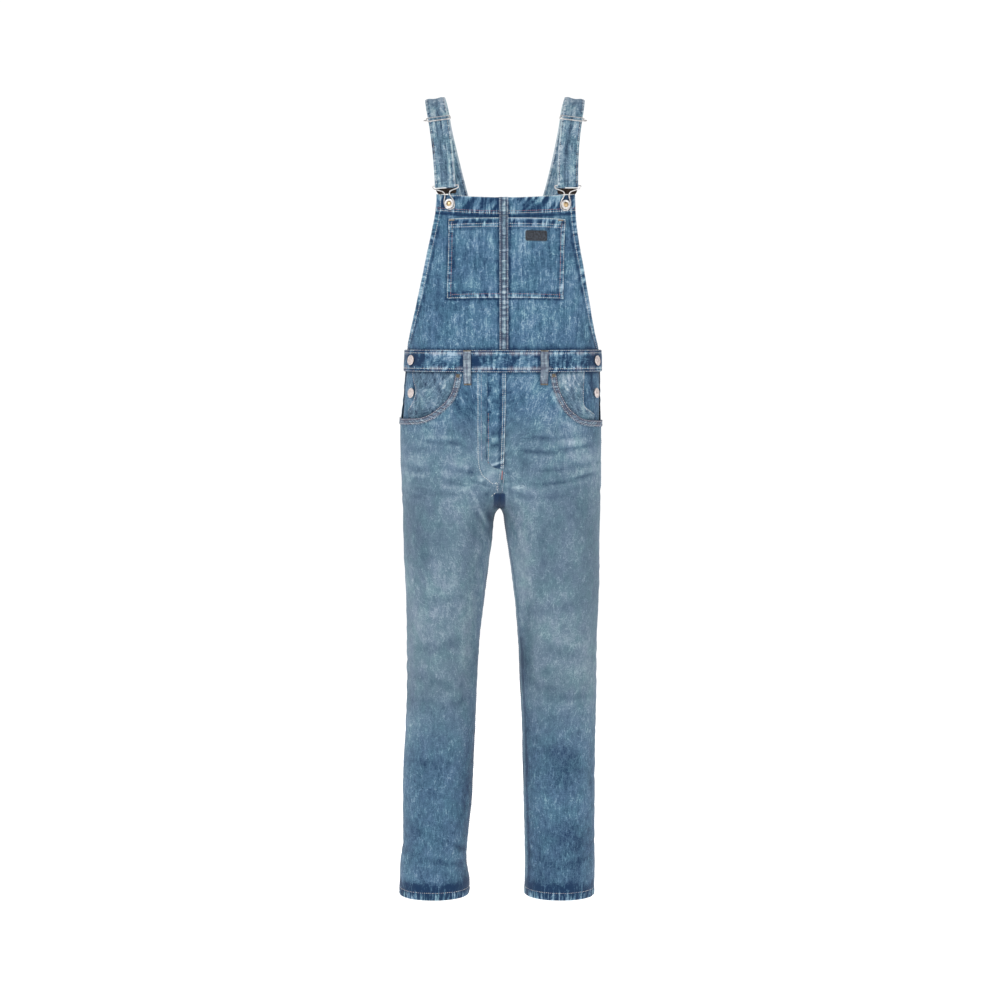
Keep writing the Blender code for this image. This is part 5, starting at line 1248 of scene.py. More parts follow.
def plackets():
    for side in SIDES:
        name = SIDE_NAME[side]
        part = spaced(0.09, 0.0025)[None, :]
        step = spaced(0.11, 0.0025)[:, None]
        z = np.full((step.size, part.size), WAIST_SEAM_Z)
        for _ in range(4):
            front = angle_at(side, PLACKET_FRONT_X[side], z)
            angle = front + (PLACKET_BACK_ANGLE - front) * part
            top = waist_z(WAIST_SEAM_Z, angle) - LOOSE_GAP
            z = top + (PLACKET_BOTTOM_Z[side] - top) * step
        cloth = Cloth(side, angle, z)
        high = -placket_depth(part) - PLACKET_SINK * rise(0.5, 0.83, step)
        across = np.abs(cloth.base[..., 0])
        # Painted shade where the placket runs under the facing, in a line beside the facing's edge, and under the
        # waistband.
        wear_and_shade = 0.42 + 0.12 * noise(across / 0.003, z / 0.02, 103) - 0.25 * bell(part, 0.0, 0.12)
        wear_and_shade = wear_and_shade - 0.45 * bell(across, 0.1700, 0.0024) * rise(-0.560, -0.552, z)
        wear_and_shade = wear_and_shade - 0.35 * bell(waist_z(BAND_BOTTOM_Z, angle) - z, 0.0, 0.005)
        cloth.build("side_placket_cloth_" + name, high - WALL, high, DENIM, wear_and_shade=wear_and_shade)
        sewn(cloth.object, "side_placket_" + name)


# ================================================================ fly
def fly():
    part = spaced(0.0335, 0.0014)[None, :]
    step = spaced(0.175, 0.0018)[:, None]
    x = -0.0300 + 0.0335 * part
    top = waist_z(BAND_BOTTOM_Z, math.pi / 2) - SEAM_GAP
    bottom = -0.7030 + 0.0210 * (1 - part) ** 3
    z = top + (bottom - top) * step
    side, angle = signed(x, z)
    cloth = Cloth(side, angle, z)
    low = SEAM_GAP + 0.0012 * step + 0 * part
    edge = puckers(z, cloth.right, 101, 0.006, 0.008, 0.5) + puckers(z, cloth.left, 102, 0.007, 0.007, -0.5)
    under = waist_z(BAND_BOTTOM_Z, angle) - z
    # Painted shade just under the waistband.
    wear_and_shade = 0.41 + 0.30 * edge - 0.3 * bell(under, 0.0, 0.004) + 0.34 * bell(cloth.right, 0.0, 0.0018)
    wear_and_shade = wear_and_shade - 0.34 * bell(cloth.right, 0.0095, 0.0030) - 0.30 * bell(cloth.left, 0.0, 0.0030)
    wear_and_shade = wear_and_shade + 0.30 * bell(cloth.left, 0.0075, 0.0022) * bell(z, -0.690, 0.030)
    wear_and_shade = wear_and_shade + marked(FLY_MARKS, x, z)
    rung = 0.2 * bell(cloth.right, 0.0035, 0.0040) + 0.2 * bell(cloth.left, 0.004, 0.004)
    # A fold swells above its lower end; it is paler along its crest, with painted shade just below it.
    bow = z + 0.6980 - 0.35 * (x + 0.004)
    wear_and_shade = wear_and_shade + 0.55 * bell(bow, 0.0075, 0.0022) - 0.75 * bell(bow, 0.0020, 0.0026)
    swell = 0.0006 * bell(bow, 0.0085, 0.0040)
    cloth.build("fly_cloth", low, low + 0.0013, DENIM, relief=0.0003 * edge + swell, wear_and_shade=wear_and_shade,
                fade=0.55 * rise(-0.600, -0.680, z), rung=rung, radius=0.00065, step=3)
    sewn(cloth.object, "fly_placket")
    return cloth


# ================================================================ waistband and belt loops
BAND_THICK = 0.0030
BAND_PUFF = 0.0005
BAND_GAP = 0.0005
ON_BAND = BAND_GAP + BAND_THICK + BAND_PUFF
LOOP_WIDTH = 0.0140
LOOP_THICK = 0.0020
LOOP_DROP = 0.0240
BELT_LOOPS = (
    ("belt_loop_front_right", -0.0665, FRONT), ("belt_loop_front_left", 0.0735, FRONT),
    ("belt_loop_back_right", -0.0700, BACK), ("belt_loop_back_left", 0.0700, BACK),
)


def waistbands():
    made = {}
    height = BAND_TOP_Z - BAND_BOTTOM_Z
    for name, ends, face in (("waistband_front", -0.010, FRONT), ("waistband_back", -0.022, BACK)):
        part = spaced(height, 0.0015, BAND_THICK / 2)[:, None]
        level = BAND_TOP_Z - height * part
        step = spaced(0.24, 0.0019, BAND_THICK / 2)
        step = step[step < 1 - 0.004]
        sides, angles = [], []
        for side in SIDES:
            middle = face * angle_at(side, 0.0, level - WAIST_DIP * face * 0.5)
            angle = ends + (middle - ends) * step[None, :]
            if side == LEFT:
                angle = angle[:, ::-1]
            sides.append(np.full(angle.shape, side))
            angles.append(angle)
        side, angle = np.concatenate(sides, 1), np.concatenate(angles, 1)
        z = waist_z(level, angle)
        cloth = Cloth(side, angle, z)
        puff = 4 * part * (1 - part)
        down = part * height
        girth = cloth.left
        slant = veins((girth + 0.7 * down) / 0.0110, down / 0.040, 110 + face, 0.20)
        slant = slant + veins((girth - 0.5 * down) / 0.0140, down / 0.040, 114 + face, 0.20)
        upright = veins(girth / 0.0120, down / 0.060, 117 + face, 0.16)
        dark = rise(0.1, 0.7, noise((girth + 0.4 * down) / 0.0090, down / 0.013, 120 + face))
        short = noise(girth / 0.0034, 5 + (down > height / 2), 124 + face)
        row = np.minimum(down, height - down)
        near = bell(row, 0.0066, 0.0032)
        shape = 0.85 * np.clip(slant + upright, 0, 1) - 0.7 * dark + 0.6 * short * near
        wear_and_shade = 0.06 + 0.56 * shape + 0.36 * near + 0.30 * bell(row, 0.0, 0.0018)
        wear_and_shade = wear_and_shade - 0.34 * bell(row, 0.0034, 0.0012)
        tint = 0.45 * near * rise(-0.3, 0.4, noise(girth / 0.016, 3.0, 130 + face))
        # Painted shadows: a ring round each side button, set off to one side, and lines beside the belt loops.
        for button_side, button_x in ((RIGHT, 0.1688), (LEFT, 0.1698)):
            if face == FRONT:
                off_x = cloth.base[..., 0] - button_side * button_x - 0.0030
                ring_off = np.hypot(off_x * 1.6, z - (-0.4985))
                wear_and_shade = wear_and_shade - 0.45 * (side == button_side) * bell(ring_off, 0.0110, 0.0028)
        for loop_x in BELT_LOOP_X:
            beside = bell(np.abs(cloth.base[..., 0] - loop_x), 0.0088, 0.0022)
            wear_and_shade = wear_and_shade - 0.40 * beside * (side * loop_x > 0)
        relief = 0.0003 * shape - 0.0003 * bell(row, 0.0018, 0.001) - 0.0003 * bell(row, 0.0068, 0.001)
        cloth.build(name + "_cloth", BAND_GAP, BAND_GAP + BAND_THICK + BAND_PUFF * puff, DENIM,
                    relief=relief, wear_and_shade=wear_and_shade, tint=tint, rung=0.2 + 0.6 * near, radius=BAND_THICK / 2,
                    turn_uv=True, step=3)
        sewn(cloth.object, name)
        made[face] = cloth
    return made


def belt_loops():
    made = {}
    for name, x, face in BELT_LOOPS:
        angle = face * float(angle_at(LEFT, abs(x), BAND_TOP_Z))
        top = float(waist_z(BAND_TOP_Z, angle)) - 0.0005
        band_bottom = float(waist_z(BAND_BOTTOM_Z, angle))
        over = ON_BAND + SEAM_GAP
        path = smooth_curve((
            (top, over), (top - 0.008, over), ((top + band_bottom) / 2, over + 0.0015),
            (band_bottom + 0.006, over + 0.0006), (band_bottom - 0.006, over - 0.0010),
            (band_bottom - 0.014, SEAM_GAP + 0.0006), (band_bottom - LOOP_DROP, SEAM_GAP),
        ), 12)
        rows = spaced(top - band_bottom + LOOP_DROP, 0.0012, LOOP_THICK / 2)
        z = top - rows * (top - band_bottom + LOOP_DROP)
        level = np.interp(-z, -path[:, 0], path[:, 1])[:, None]
        across = x + LOOP_WIDTH * (spaced(LOOP_WIDTH, 0.0010, LOOP_THICK / 2)[None, :] - 0.5)
        z = z[:, None] + 0 * across
        side, angle = signed(across, z, face)
        cloth = Cloth(side, angle, z)
        low = level + 0 * across
        streak = noise(cloth.left / 0.0022, cloth.top / 0.016, int(140 + 1000 * abs(x)))
        bar = noise(cloth.left / 0.02, cloth.top / 0.0035, int(150 + 1000 * abs(x)))
        edge = np.minimum(cloth.left, cloth.right)
        wear_and_shade = 0.32 + 0.34 * streak + 0.24 * bar - 0.30 * bell(edge, 0.0, 0.0010) + 0.2 * bell(edge, 0.004, 0.001)
        wear_and_shade = wear_and_shade - 0.30 * bell(cloth.bottom, 0.0, 0.004)
        cloth.build(name + "_cloth", low, low + LOOP_THICK, PALE, relief=0.0002 * bar, wear_and_shade=wear_and_shade,
                    fade=0.8, tint=0.28, rung=0.25, radius=LOOP_THICK / 2, step=3)
        sewn(cloth.object, name)
        made[name] = cloth
    return made


# ================================================================ bib
BIB_EDGE = np.array((             # z, right, left
    (-0.190, 0.1240, 0.1320), (-0.228, 0.1268, 0.1336), (-0.265, 0.1343, 0.1375),
    (-0.308, 0.1439, 0.1449), (-0.352, 0.1536, 0.1526), (-0.395, 0.1636, 0.1605),
    (-0.438, 0.1745, 0.1690), (-0.477, 0.1830, 0.1786), (-0.510, 0.1838, 0.1790),
))
BIB_TOP_Z = -0.2050
BIB_CORNER_RISE = 0.0095
BIB_SIDE_HEM = 0.0130
BIB_TOP_HEM = 0.0310
BIB_POCKET = np.array(((-0.2430, -0.1006, 0.1129), (-0.3898, -0.1047, 0.1090)))
POCKET_HEM = 0.0170
POCKET_BOW = 0.0012


def bib_edge(side, z):
    return table(BIB_EDGE, 1 if side == RIGHT else 2, z)


def bib_halves():
    made = {}
    for side in SIDES:
        name = SIDE_NAME[side]
        part = spaced(0.165, 0.0019)[None, :]
        step = spaced(0.300, 0.0020, (WALL + HEM_FOLD) / 2)[:, None]
        corner = float(bib_edge(side, BIB_TOP_Z))
        z = np.full((step.size, part.size), BIB_TOP_Z)
        for _ in range(5):
            across = bib_edge(side, z) * part
            top = BIB_TOP_Z + BIB_CORNER_RISE * (across / corner) ** 2
            bottom = waist_z(WAIST_SEAM_Z, angle_at(side, across, WAIST_SEAM_Z)) + SEAM_GAP
            z = top + (bottom - top) * step
        cloth = Cloth(side, angle_at(side, across, z), z, half=side)
        # The left edge of the grid is the centre seam; the right edge is the side hem.
        folded = np.maximum(
            1 - rise(BIB_SIDE_HEM - 0.0005, BIB_SIDE_HEM + 0.0005, cloth.right),
            1 - rise(BIB_TOP_HEM - 0.0005, BIB_TOP_HEM + 0.0005, cloth.top),
        )
        low = -WALL - HEM_FOLD * folded
        hem = puckers(z, cloth.right - 0.006, 160 + side, 0.0060, 0.008, 0.6)
        band = noise((cloth.left + side * 0.8 * cloth.top) / 0.0062, cloth.top / 0.026, 164 + side)
        band = np.sign(band) * np.abs(band) ** 0.6 * rise(0.034, 0.024, cloth.top)
        relief = 0.0004 * hem + 0.0005 * band - 0.0003 * bell(cloth.right, 0.0105, 0.0016)
        x = cloth.base[..., 0]
        streak = noise(x / 0.0032, z / 0.040, 168)
        wear_and_shade = 0.45 + 0.25 * hem + 0.46 * band + 0.12 * streak + 0.08 * noise(x / 0.03, z / 0.04, 169)
        wear_and_shade = wear_and_shade - 0.20 * rise(0.035, 0.028, cloth.top) - 0.04 * (side == RIGHT)
        wear_and_shade = wear_and_shade + 0.30 * bell(cloth.right, 0.0, 0.0018) - 0.32 * bell(cloth.right, 0.0145, 0.0026)
        wear_and_shade = wear_and_shade + 0.10 * rise(0.0130, 0.0110, cloth.right)
        # Painted shade under the top hem band, above the waistband, beside the centre strip, and along the pocket's
        # sides and under it.
        wear_and_shade = wear_and_shade + 0.40 * bell(cloth.top, 0.0, 0.0018) - 0.60 * bell(cloth.top, 0.0350, 0.0026)
        wear_and_shade = wear_and_shade - 0.36 * bell(waist_z(BAND_TOP_Z, cloth.angle) - z, 0.0, 0.0045)
        wear_and_shade = wear_and_shade - 0.40 * bell(np.abs(x - centre_x(z)), 0.0100, 0.0024)
        right, left = pocket_edges(z)
        beside = np.minimum(np.abs(x - right), np.abs(x - left)) * np.where((x > right) & (x < left), 9, 1)
        wear_and_shade = wear_and_shade - 0.36 * bell(beside, 0.0, 0.0026) * rise(-0.3925, -0.3895, z) * rise(-0.240, -0.243, z)
        wear_and_shade = wear_and_shade - 0.46 * bell(z, BIB_POCKET[1, 0] - 0.0010, 0.0024) * rise(right - 0.003, right, x) * (x < left)
        rope = 0.7 * bell(cloth.top, 0.0285, 0.0035) + 0.25 * rise(0.034, 0.028, cloth.top)
        rung = 0.4 * rise(0.0130, 0.0105, cloth.right) * rise(0.020, 0.034, cloth.top)
        cloth.build("bib_cloth_" + name, low, 0.0, DENIM, relief=relief, wear_and_shade=wear_and_shade, rope=rope, rung=rung,
                    uv=np.stack([side * cloth.left, -cloth.top], -1))
        sewn(cloth.object, "bib_" + name)
        made[side] = cloth
    return made


def pocket_edges(z):
    return table(BIB_POCKET, 1, z), table(BIB_POCKET, 2, z)


def pocket_bow(x, z):
    right, left = pocket_edges(z)
    part = np.clip((x - right) / (left - right), 0, 1)
    return POCKET_BOW * rise(-0.300, -0.245, z) * 4 * part * (1 - part)


def pocket_outer(x, z):
    hem = HEM_FOLD * rise(-0.0006, 0.0006, z - (BIB_POCKET[0, 0] - POCKET_HEM))
    return LAYER + hem + pocket_bow(x, z)


def bib_pocket():
    part = spaced(0.2135, 0.0018)[None, :]
    step = spaced(0.1468, 0.0018, (WALL + HEM_FOLD) / 2)[:, None]
    z = BIB_POCKET[0, 0] + (BIB_POCKET[1, 0] - BIB_POCKET[0, 0]) * step + 0 * part
    right, left = pocket_edges(z)
    x = right + (left - right) * part
    side, angle = signed(x, z)
    cloth = Cloth(side, angle, z)
    edge = np.minimum(np.minimum(cloth.left, cloth.right), cloth.bottom)
    ends = puckers(z, np.minimum(cloth.left, cloth.right), 171, 0.0062, 0.009, 0.5)
    ends = ends + puckers(x, cloth.bottom, 172, 0.0058, 0.009, 0.5)
    mouth = puckers(x, cloth.top - 0.011, 173, 0.0050, 0.008, 0.7)
    # Held down in the middle by the strip, so it bellies a little on each side of it.
    middle = np.abs(x - centre_x(z))
    relief = 0.0004 * ends + 0.0004 * mouth - 0.0003 * bell(cloth.top, 0.0145, 0.0030)
    relief = relief - 0.0004 * bell(middle, 0.0, 0.0130) * rise(-0.242, -0.262, z)
    streak = noise(x / 0.0032, z / 0.040, 174)
    wear_and_shade = 0.45 + 0.42 * ends + 0.34 * mouth + 0.16 * streak + 0.09 * noise(x / 0.03, z / 0.04, 175)
    wear_and_shade = wear_and_shade + 0.24 * bell(edge, 0.0, 0.0015) + 0.55 * bell(cloth.top, 0.0, 0.0018)
    wear_and_shade = wear_and_shade - 0.36 * bell(cloth.top, 0.0075, 0.0030) - 0.24 * bell(cloth.top, 0.0195, 0.0030)
    # The darker line beside the centre strip is painted shade.
    wear_and_shade = wear_and_shade - 0.20 * bell(edge, 0.0110, 0.0026) - 0.46 * bell(middle, 0.0100, 0.0024)
    rope = 0.5 * bell(cloth.bottom, 0.0050, 0.0040) + 0.7 * bell(cloth.top, 0.0080, 0.0060)
    rung = 0.5 * bell(np.minimum(cloth.left, cloth.right), 0.0050, 0.0040)
    cloth.build("bib_pocket_cloth", SEAM_GAP + pocket_bow(x, z), pocket_outer(x, z), DENIM,
                relief=relief, wear_and_shade=wear_and_shade, rope=rope, rung=rung)
    sewn(cloth.object, "bib_pocket")
    return cloth


STRIP_HALF_WIDTH = 0.0083
STRIP_THICK = 0.0012
STRIP_RAMP = 0.0040


def centre_strip():
    bottom_z = float(waist_z(BAND_TOP_Z, math.pi / 2)) + SEAM_GAP
    length = BIB_TOP_Z - bottom_z
    z = BIB_TOP_Z - length * spaced(length, 0.0017, STRIP_THICK / 2)[:, None]
    across = STRIP_HALF_WIDTH * (2 * spaced(2 * STRIP_HALF_WIDTH, 0.0011, STRIP_THICK / 2)[None, :] - 1)
    z = z + 0 * across
    side, angle = signed(across + 0 * z, z)
    cloth = Cloth(side, angle, z)
    top, bottom = BIB_POCKET[0, 0], BIB_POCKET[1, 0]
    on_pocket = (1 - rise(top + SEAM_GAP, top + STRIP_RAMP, z)) * rise(bottom - STRIP_RAMP, bottom - SEAM_GAP, z)
    low = SEAM_GAP + pocket_outer(0.0, np.clip(z, bottom, top)) * on_pocket
    edge = np.minimum(cloth.left, cloth.right)
    ridge = noise(z / 0.0048, across / 0.012, 181)
    wear_and_shade = 0.20 + 0.34 * ridge + 0.42 * bell(across, 0.0008, 0.0030) - 0.34 * bell(edge, 0.0038, 0.0014)
    wear_and_shade = wear_and_shade + 0.10 * noise(z / 0.030, 4.0, 182) + 0.22 * bell(edge, 0.0, 0.0012)
    cloth.build("centre_strip_cloth", low, low + STRIP_THICK, PALE, relief=0.0002 * ridge, wear_and_shade=wear_and_shade,
                fade=0.2, tint=0.10, rung=0.35, radius=STRIP_THICK / 2, step=3)
    sewn(cloth.object, "bib_centre_strip")
    return cloth


# ================================================================ back bib
BACK_BIB = np.array((
    (-0.350, 0.0610), (-0.372, 0.0630), (-0.400, 0.0760), (-0.425, 0.0960),
    (-0.450, 0.1250), (-0.468, 0.1560), (-0.482, 0.1720), (-0.510, 0.1760),
))


def back_bib():
    part = (2 * spaced(0.33, 0.0023) - 1)[None, :]
    step = spaced(0.155, 0.0019)[:, None]
    z = np.full((step.size, part.size), BACK_BIB[0, 0])
    for _ in range(5):
        x = part * table(BACK_BIB, 1, z)
        side, angle = signed(x, WAIST_SEAM_Z + 0 * x, BACK)
        bottom = waist_z(WAIST_SEAM_Z, angle) + SEAM_GAP
        z = BACK_BIB[0, 0] + (bottom - BACK_BIB[0, 0]) * step
    side, angle = signed(x, z, BACK)
    cloth = Cloth(side, angle, z)
    edge = np.minimum(np.minimum(cloth.left, cloth.right), cloth.top)
    hem = puckers(z + x, edge, 191, 0.0062, 0.009, 0.4)
    wear_and_shade = 0.50 + 0.26 * hem + 0.13 * noise(x / 0.0032, z / 0.040, 192) + 0.22 * bell(edge, 0.0, 0.0018)
    # Painted shade just above the waistband.
    wear_and_shade = wear_and_shade - 0.18 * bell(edge, 0.0115, 0.0024) - 0.24 * bell(waist_z(BAND_TOP_Z, angle) - z, 0.0, 0.0045)
    cloth.build("back_bib_cloth", -WALL, 0.0, DENIM, relief=0.0004 * hem, wear_and_shade=wear_and_shade,
                rope=0.5 * bell(cloth.top, 0.0055, 0.0050),
                rung=0.5 * bell(np.minimum(cloth.left, cloth.right), 0.0055, 0.0050))
    sewn(cloth.object, "back_bib")
    return cloth


# ================================================================ straps
STRAP = (                       # x, y, z, tilt
    (0.0400, 0.1008, -0.3860, 0.0), (0.0415, 0.1018, -0.3500, 0.0), (0.0540, 0.1120, -0.2900, 0.0),
    (0.0745, 0.1195, -0.2200, 0.0), (0.0945, 0.1180, -0.1550, 2.0), (0.1100, 0.1030, -0.0950, 4.0),
    (0.1215, 0.0770, -0.0450, 7.0), (0.1270, 0.0420, -0.0130, 9.0), (0.1315, 0.0000, -0.0010, 9.0),
    (0.1310, -0.0330, -0.0100, 7.0), (0.1280, -0.0580, -0.0310, 4.0), (0.1215, -0.0805, -0.0700, 1.0),
    (0.1165, -0.0910, -0.1100, 0.0), (0.1138, -0.0955, -0.1500, 0.0), (0.1127, -0.0975, -0.1830, 0.0),
)
STRAP_MIDDLE = np.array((
    (0.000, 0.0035), (-0.110, 0.0045), (-0.190, 0.0065), (-0.240, 0.0075), (-0.350, 0.0020),
))
BACK_MIDDLE = np.array(((0.000, 0.0035), (-0.150, 0.0055), (-0.350, 0.0015)))
STRAP_WIDTH = 0.0380
STRAP_THICK = 0.0018
BODY_AXIS_Z = -0.130
WIRE_RADIUS = 0.0011
FOLD_RADIUS = WIRE_RADIUS + SEAM_GAP
SLIDER_REST = 0.1290
TUCK = 0.0130
STRAP_STEPS = 14


def strap_path(side):
    """Points, outward normals and across directions from the back bib to the buckle bar."""
    knots = []
    for x, y, z, tilt in STRAP:
        middle = float(table(BACK_MIDDLE if y > 0 else STRAP_MIDDLE, 1, np.array(z)))
        knots.append((middle + side * x, y, z, math.radians(tilt)))
    knots = np.array(knots)
    path = smooth_curve(knots[:, :3], STRAP_STEPS)
    row = np.minimum(np.arange(len(path)) / STRAP_STEPS, len(knots) - 1)
    tilt = np.interp(row, np.arange(len(knots)), knots[:, 3])
    along = unit(np.gradient(path, axis=0))
    across = np.stack([side * np.cos(tilt), 0 * tilt, -np.sin(tilt)], -1)
    across = unit(across - along * (across * along).sum(-1, keepdims=True))
    normal = unit(np.cross(across, along))
    outward = np.stack([0 * tilt, path[:, 1], path[:, 2] - BODY_AXIS_Z], -1)
    outward[: 2 * STRAP_STEPS] = (0, 1, 0)
    normal = normal * np.where((normal * outward).sum(-1) < 0, -1, 1)[:, None]
    return path, normal, across


def path_at(path, distance):
    """Point, normal and across at a distance back from the path's end."""
    points = path[0]
    length = arc(points)
    at = length[-1] - distance
    mixed = [np.array([np.interp(at, length, part[:, k]) for k in range(3)]) for part in path]
    return mixed[0], unit(mixed[1]), unit(mixed[2])


def return_rise(distance):
    doubled = 2 * STRAP_THICK + LOOSE_GAP
    at_buckle = 2 * (STRAP_THICK + FOLD_RADIUS)
    below = SLIDER_REST - distance
    tucked = doubled + STRAP_THICK + SEAM_GAP
    at_slider = tucked + 2 * WIRE_RADIUS + SEAM_GAP
    made = doubled + (at_buckle - doubled) * (1 - rise(0.0, 0.014, distance))
    made = made + (tucked + 0.0004 - doubled) * rise(0.0, 1.0, (TUCK + 0.012 - below) / 0.010)
    return made + (at_slider - tucked - 0.0004) * rise(0.0, 1.0, (TUCK + 0.002 - below) / 0.012)


def strap_sections(side):
    """Every section of a strap as (point, normal, across, outward), and both bars."""
    path = strap_path(side)
    points, normals, acrosses = path
    sections = [(p, n, a, n) for p, n, a in zip(points, normals, acrosses)]
    end, normal, across = points[-1], normals[-1], acrosses[-1]
    tangent = unit(points[-1] - points[-4])
    bar = end + normal * (STRAP_THICK + FOLD_RADIUS)
    for turn in np.linspace(0, math.pi, 14)[1:-1]:
        away = -normal * math.cos(turn) + tangent * math.sin(turn)
        sections.append((bar + away * (STRAP_THICK + FOLD_RADIUS), -away, across, 0 * normal))
    for distance in np.linspace(0.0, SLIDER_REST, 60):
        p, n, a = path_at(path, distance)
        sections.append((p + n * return_rise(distance), -n, a, n))
    p, n, a = path_at(path, SLIDER_REST)
    up = unit(path_at(path, SLIDER_REST + 0.003)[0] - path_at(path, SLIDER_REST - 0.003)[0])
    bar_rise = return_rise(SLIDER_REST) - STRAP_THICK - SEAM_GAP - WIRE_RADIUS
    slider_bar = p + n * bar_rise
    radius = return_rise(SLIDER_REST) - bar_rise
    for turn in np.linspace(0, math.pi, 12)[1:-1]:
        away = n * math.cos(turn) + up * math.sin(turn)
        sections.append((slider_bar + away * radius, -away, a, 0 * n))
    for distance in np.linspace(SLIDER_REST, SLIDER_REST - TUCK, 8):
        p, n, a = path_at(path, distance)
        sections.append((p + n * (STRAP_THICK + SEAM_GAP), n, a, n))
    return sections, bar, slider_bar


STRAP_COLUMNS = 17


def straps():
    made = {}
    for side in SIDES:
        name = SIDE_NAME[side]
        sections, bar, slider_bar = strap_sections(side)
        point = smooth_curve([s[0] for s in sections], 2)
        normal = unit(smooth_curve([s[1] for s in sections], 2))
        across = unit(smooth_curve([s[2] for s in sections], 2))
        outward = smooth_curve([s[3] for s in sections], 2)
        kernel = np.ones(9) / 9
        padded = np.concatenate([outward[:1]] * 4 + [outward] + [outward[-1:]] * 4)
        outward = np.stack([np.convolve(padded[:, k], kernel, "valid") for k in range(3)], -1)
        length = arc(point)
        place = np.sin(np.linspace(-math.pi / 2, math.pi / 2, STRAP_COLUMNS)) * STRAP_WIDTH / 2
        place = place * 0.45 + np.linspace(-0.5, 0.5, STRAP_COLUMNS) * STRAP_WIDTH * 0.55
        edge = np.abs(place) / (STRAP_WIDTH / 2)
        # Its hemmed edges make two soft ridges with a valley between them.
        ridge = 0.0010 * np.exp(-((edge - 0.62) / 0.24) ** 2) - 0.0005 * np.exp(-(edge / 0.3) ** 2)
        slope = noise(length[:, None] / 0.03, place[None, :] / 0.02, 60 + side)
        inset = (1 - edge) * STRAP_WIDTH / 2
        crimp = puckers(length[:, None], inset[None, :], 64 + side, 0.0048, 0.006, 0.3)
        relief = ridge[None, :] + 0.0002 * slope + 0.0003 * crimp
        relief = relief - 0.0003 * bell(inset, 0.003, 0.0016)[None, :]
        top = STRAP_THICK * (1 - 0.5 * edge_drop((1 - edge) * STRAP_WIDTH / 2, 0.0009))
        low = STRAP_THICK * 0.5 * edge_drop((1 - edge) * STRAP_WIDTH / 2, 0.0009)
        lay = point[:, None, :] + across[:, None, :] * place[None, :, None]
        lay = lay + outward[:, None, :] * relief[..., None]
        upper = lay + normal[:, None, :] * top[None, :, None]
        lower = lay + normal[:, None, :] * low[None, :, None]
        loop = np.concatenate([upper, lower[:, -2:0:-1]], axis=1)
        count = loop.shape[1]
        rows = len(point)
        grid = np.arange(rows * count).reshape(rows, count)
        after = np.roll(grid, -1, axis=1)
        quads = np.stack([grid[:-1], grid[1:], after[1:], after[:-1]], -1).reshape(-1, 4)
        caps = []
        for row in (0, rows - 1):
            for k in range(1, STRAP_COLUMNS - 1):
                a, b = grid[row, k], grid[row, k + 1] if k + 1 < STRAP_COLUMNS else grid[row, STRAP_COLUMNS - 1]
                c = grid[row, (count - k) % count]
                d = grid[row, (count - k - 1) % count]
                if k + 1 < STRAP_COLUMNS - 1:
                    face = (a, c, d, b)
                    caps.append(face if row == 0 else face[::-1])
            first = (grid[row, 0], grid[row, count - 1], grid[row, 1])
            last = (grid[row, STRAP_COLUMNS - 2], grid[row, STRAP_COLUMNS], grid[row, STRAP_COLUMNS - 1])
            for face in (first, last):
                caps.append(face if row == 0 else face[::-1])
        quads = np.concatenate([quads, [c for c in caps if len(c) == 4]])
        triangles = np.array([c for c in caps if len(c) == 3])
        widths = np.concatenate([place, place[-2:0:-1]])
        uv = np.stack([np.tile(side * widths, (rows, 1)), np.tile(length[:, None], (1, count))], -1)
        streak = noise(length[:, None] / 0.045, place[None, :] / 0.0026, 66 + side)
        # The inner edge, towards the neck, is rubbed palest; place runs outwards from it.
        face = 0.46 + 0.34 * streak + 0.28 * crimp + 0.60 * bell(place, -STRAP_WIDTH / 2, 0.0020)[None, :]
        face = face + 0.12 * rise(-0.10, -0.02, point[:, 2])[:, None]
        face = face + 0.16 * bell(place, STRAP_WIDTH / 2, 0.0014)[None, :] - 0.20 * bell(edge, 0.80, 0.07)[None, :]
        face = face + 0.12 * bell(edge, 0.55, 0.15)[None, :] - 0.12 * bell(edge, 0.0, 0.25)[None, :]
        wear_and_shade = np.concatenate([face, face[:, -2:0:-1]], axis=1)
        rung = np.tile(0.45 * bell(np.abs(widths) * 2 / STRAP_WIDTH, 0.85, 0.12), (rows, 1))
        points = loop.reshape(-1, 3)
        looks = {"wear_and_shade": wear_and_shade, "fade": 0 * wear_and_shade, "tint": 0 * wear_and_shade, "rope": 0 * wear_and_shade, "rung": rung}
        strap = make_mesh("strap_cloth_" + name, points, quads, triangles, (materials["pale"],),
                          uv.reshape(-1, 2), looks)
        sewn(strap, "strap_" + name)
        made[side] = {"place": place, "upper": upper, "lower": lower, "normal": normal,
                      "length": length, "bar": bar, "slider_bar": slider_bar}
    return made


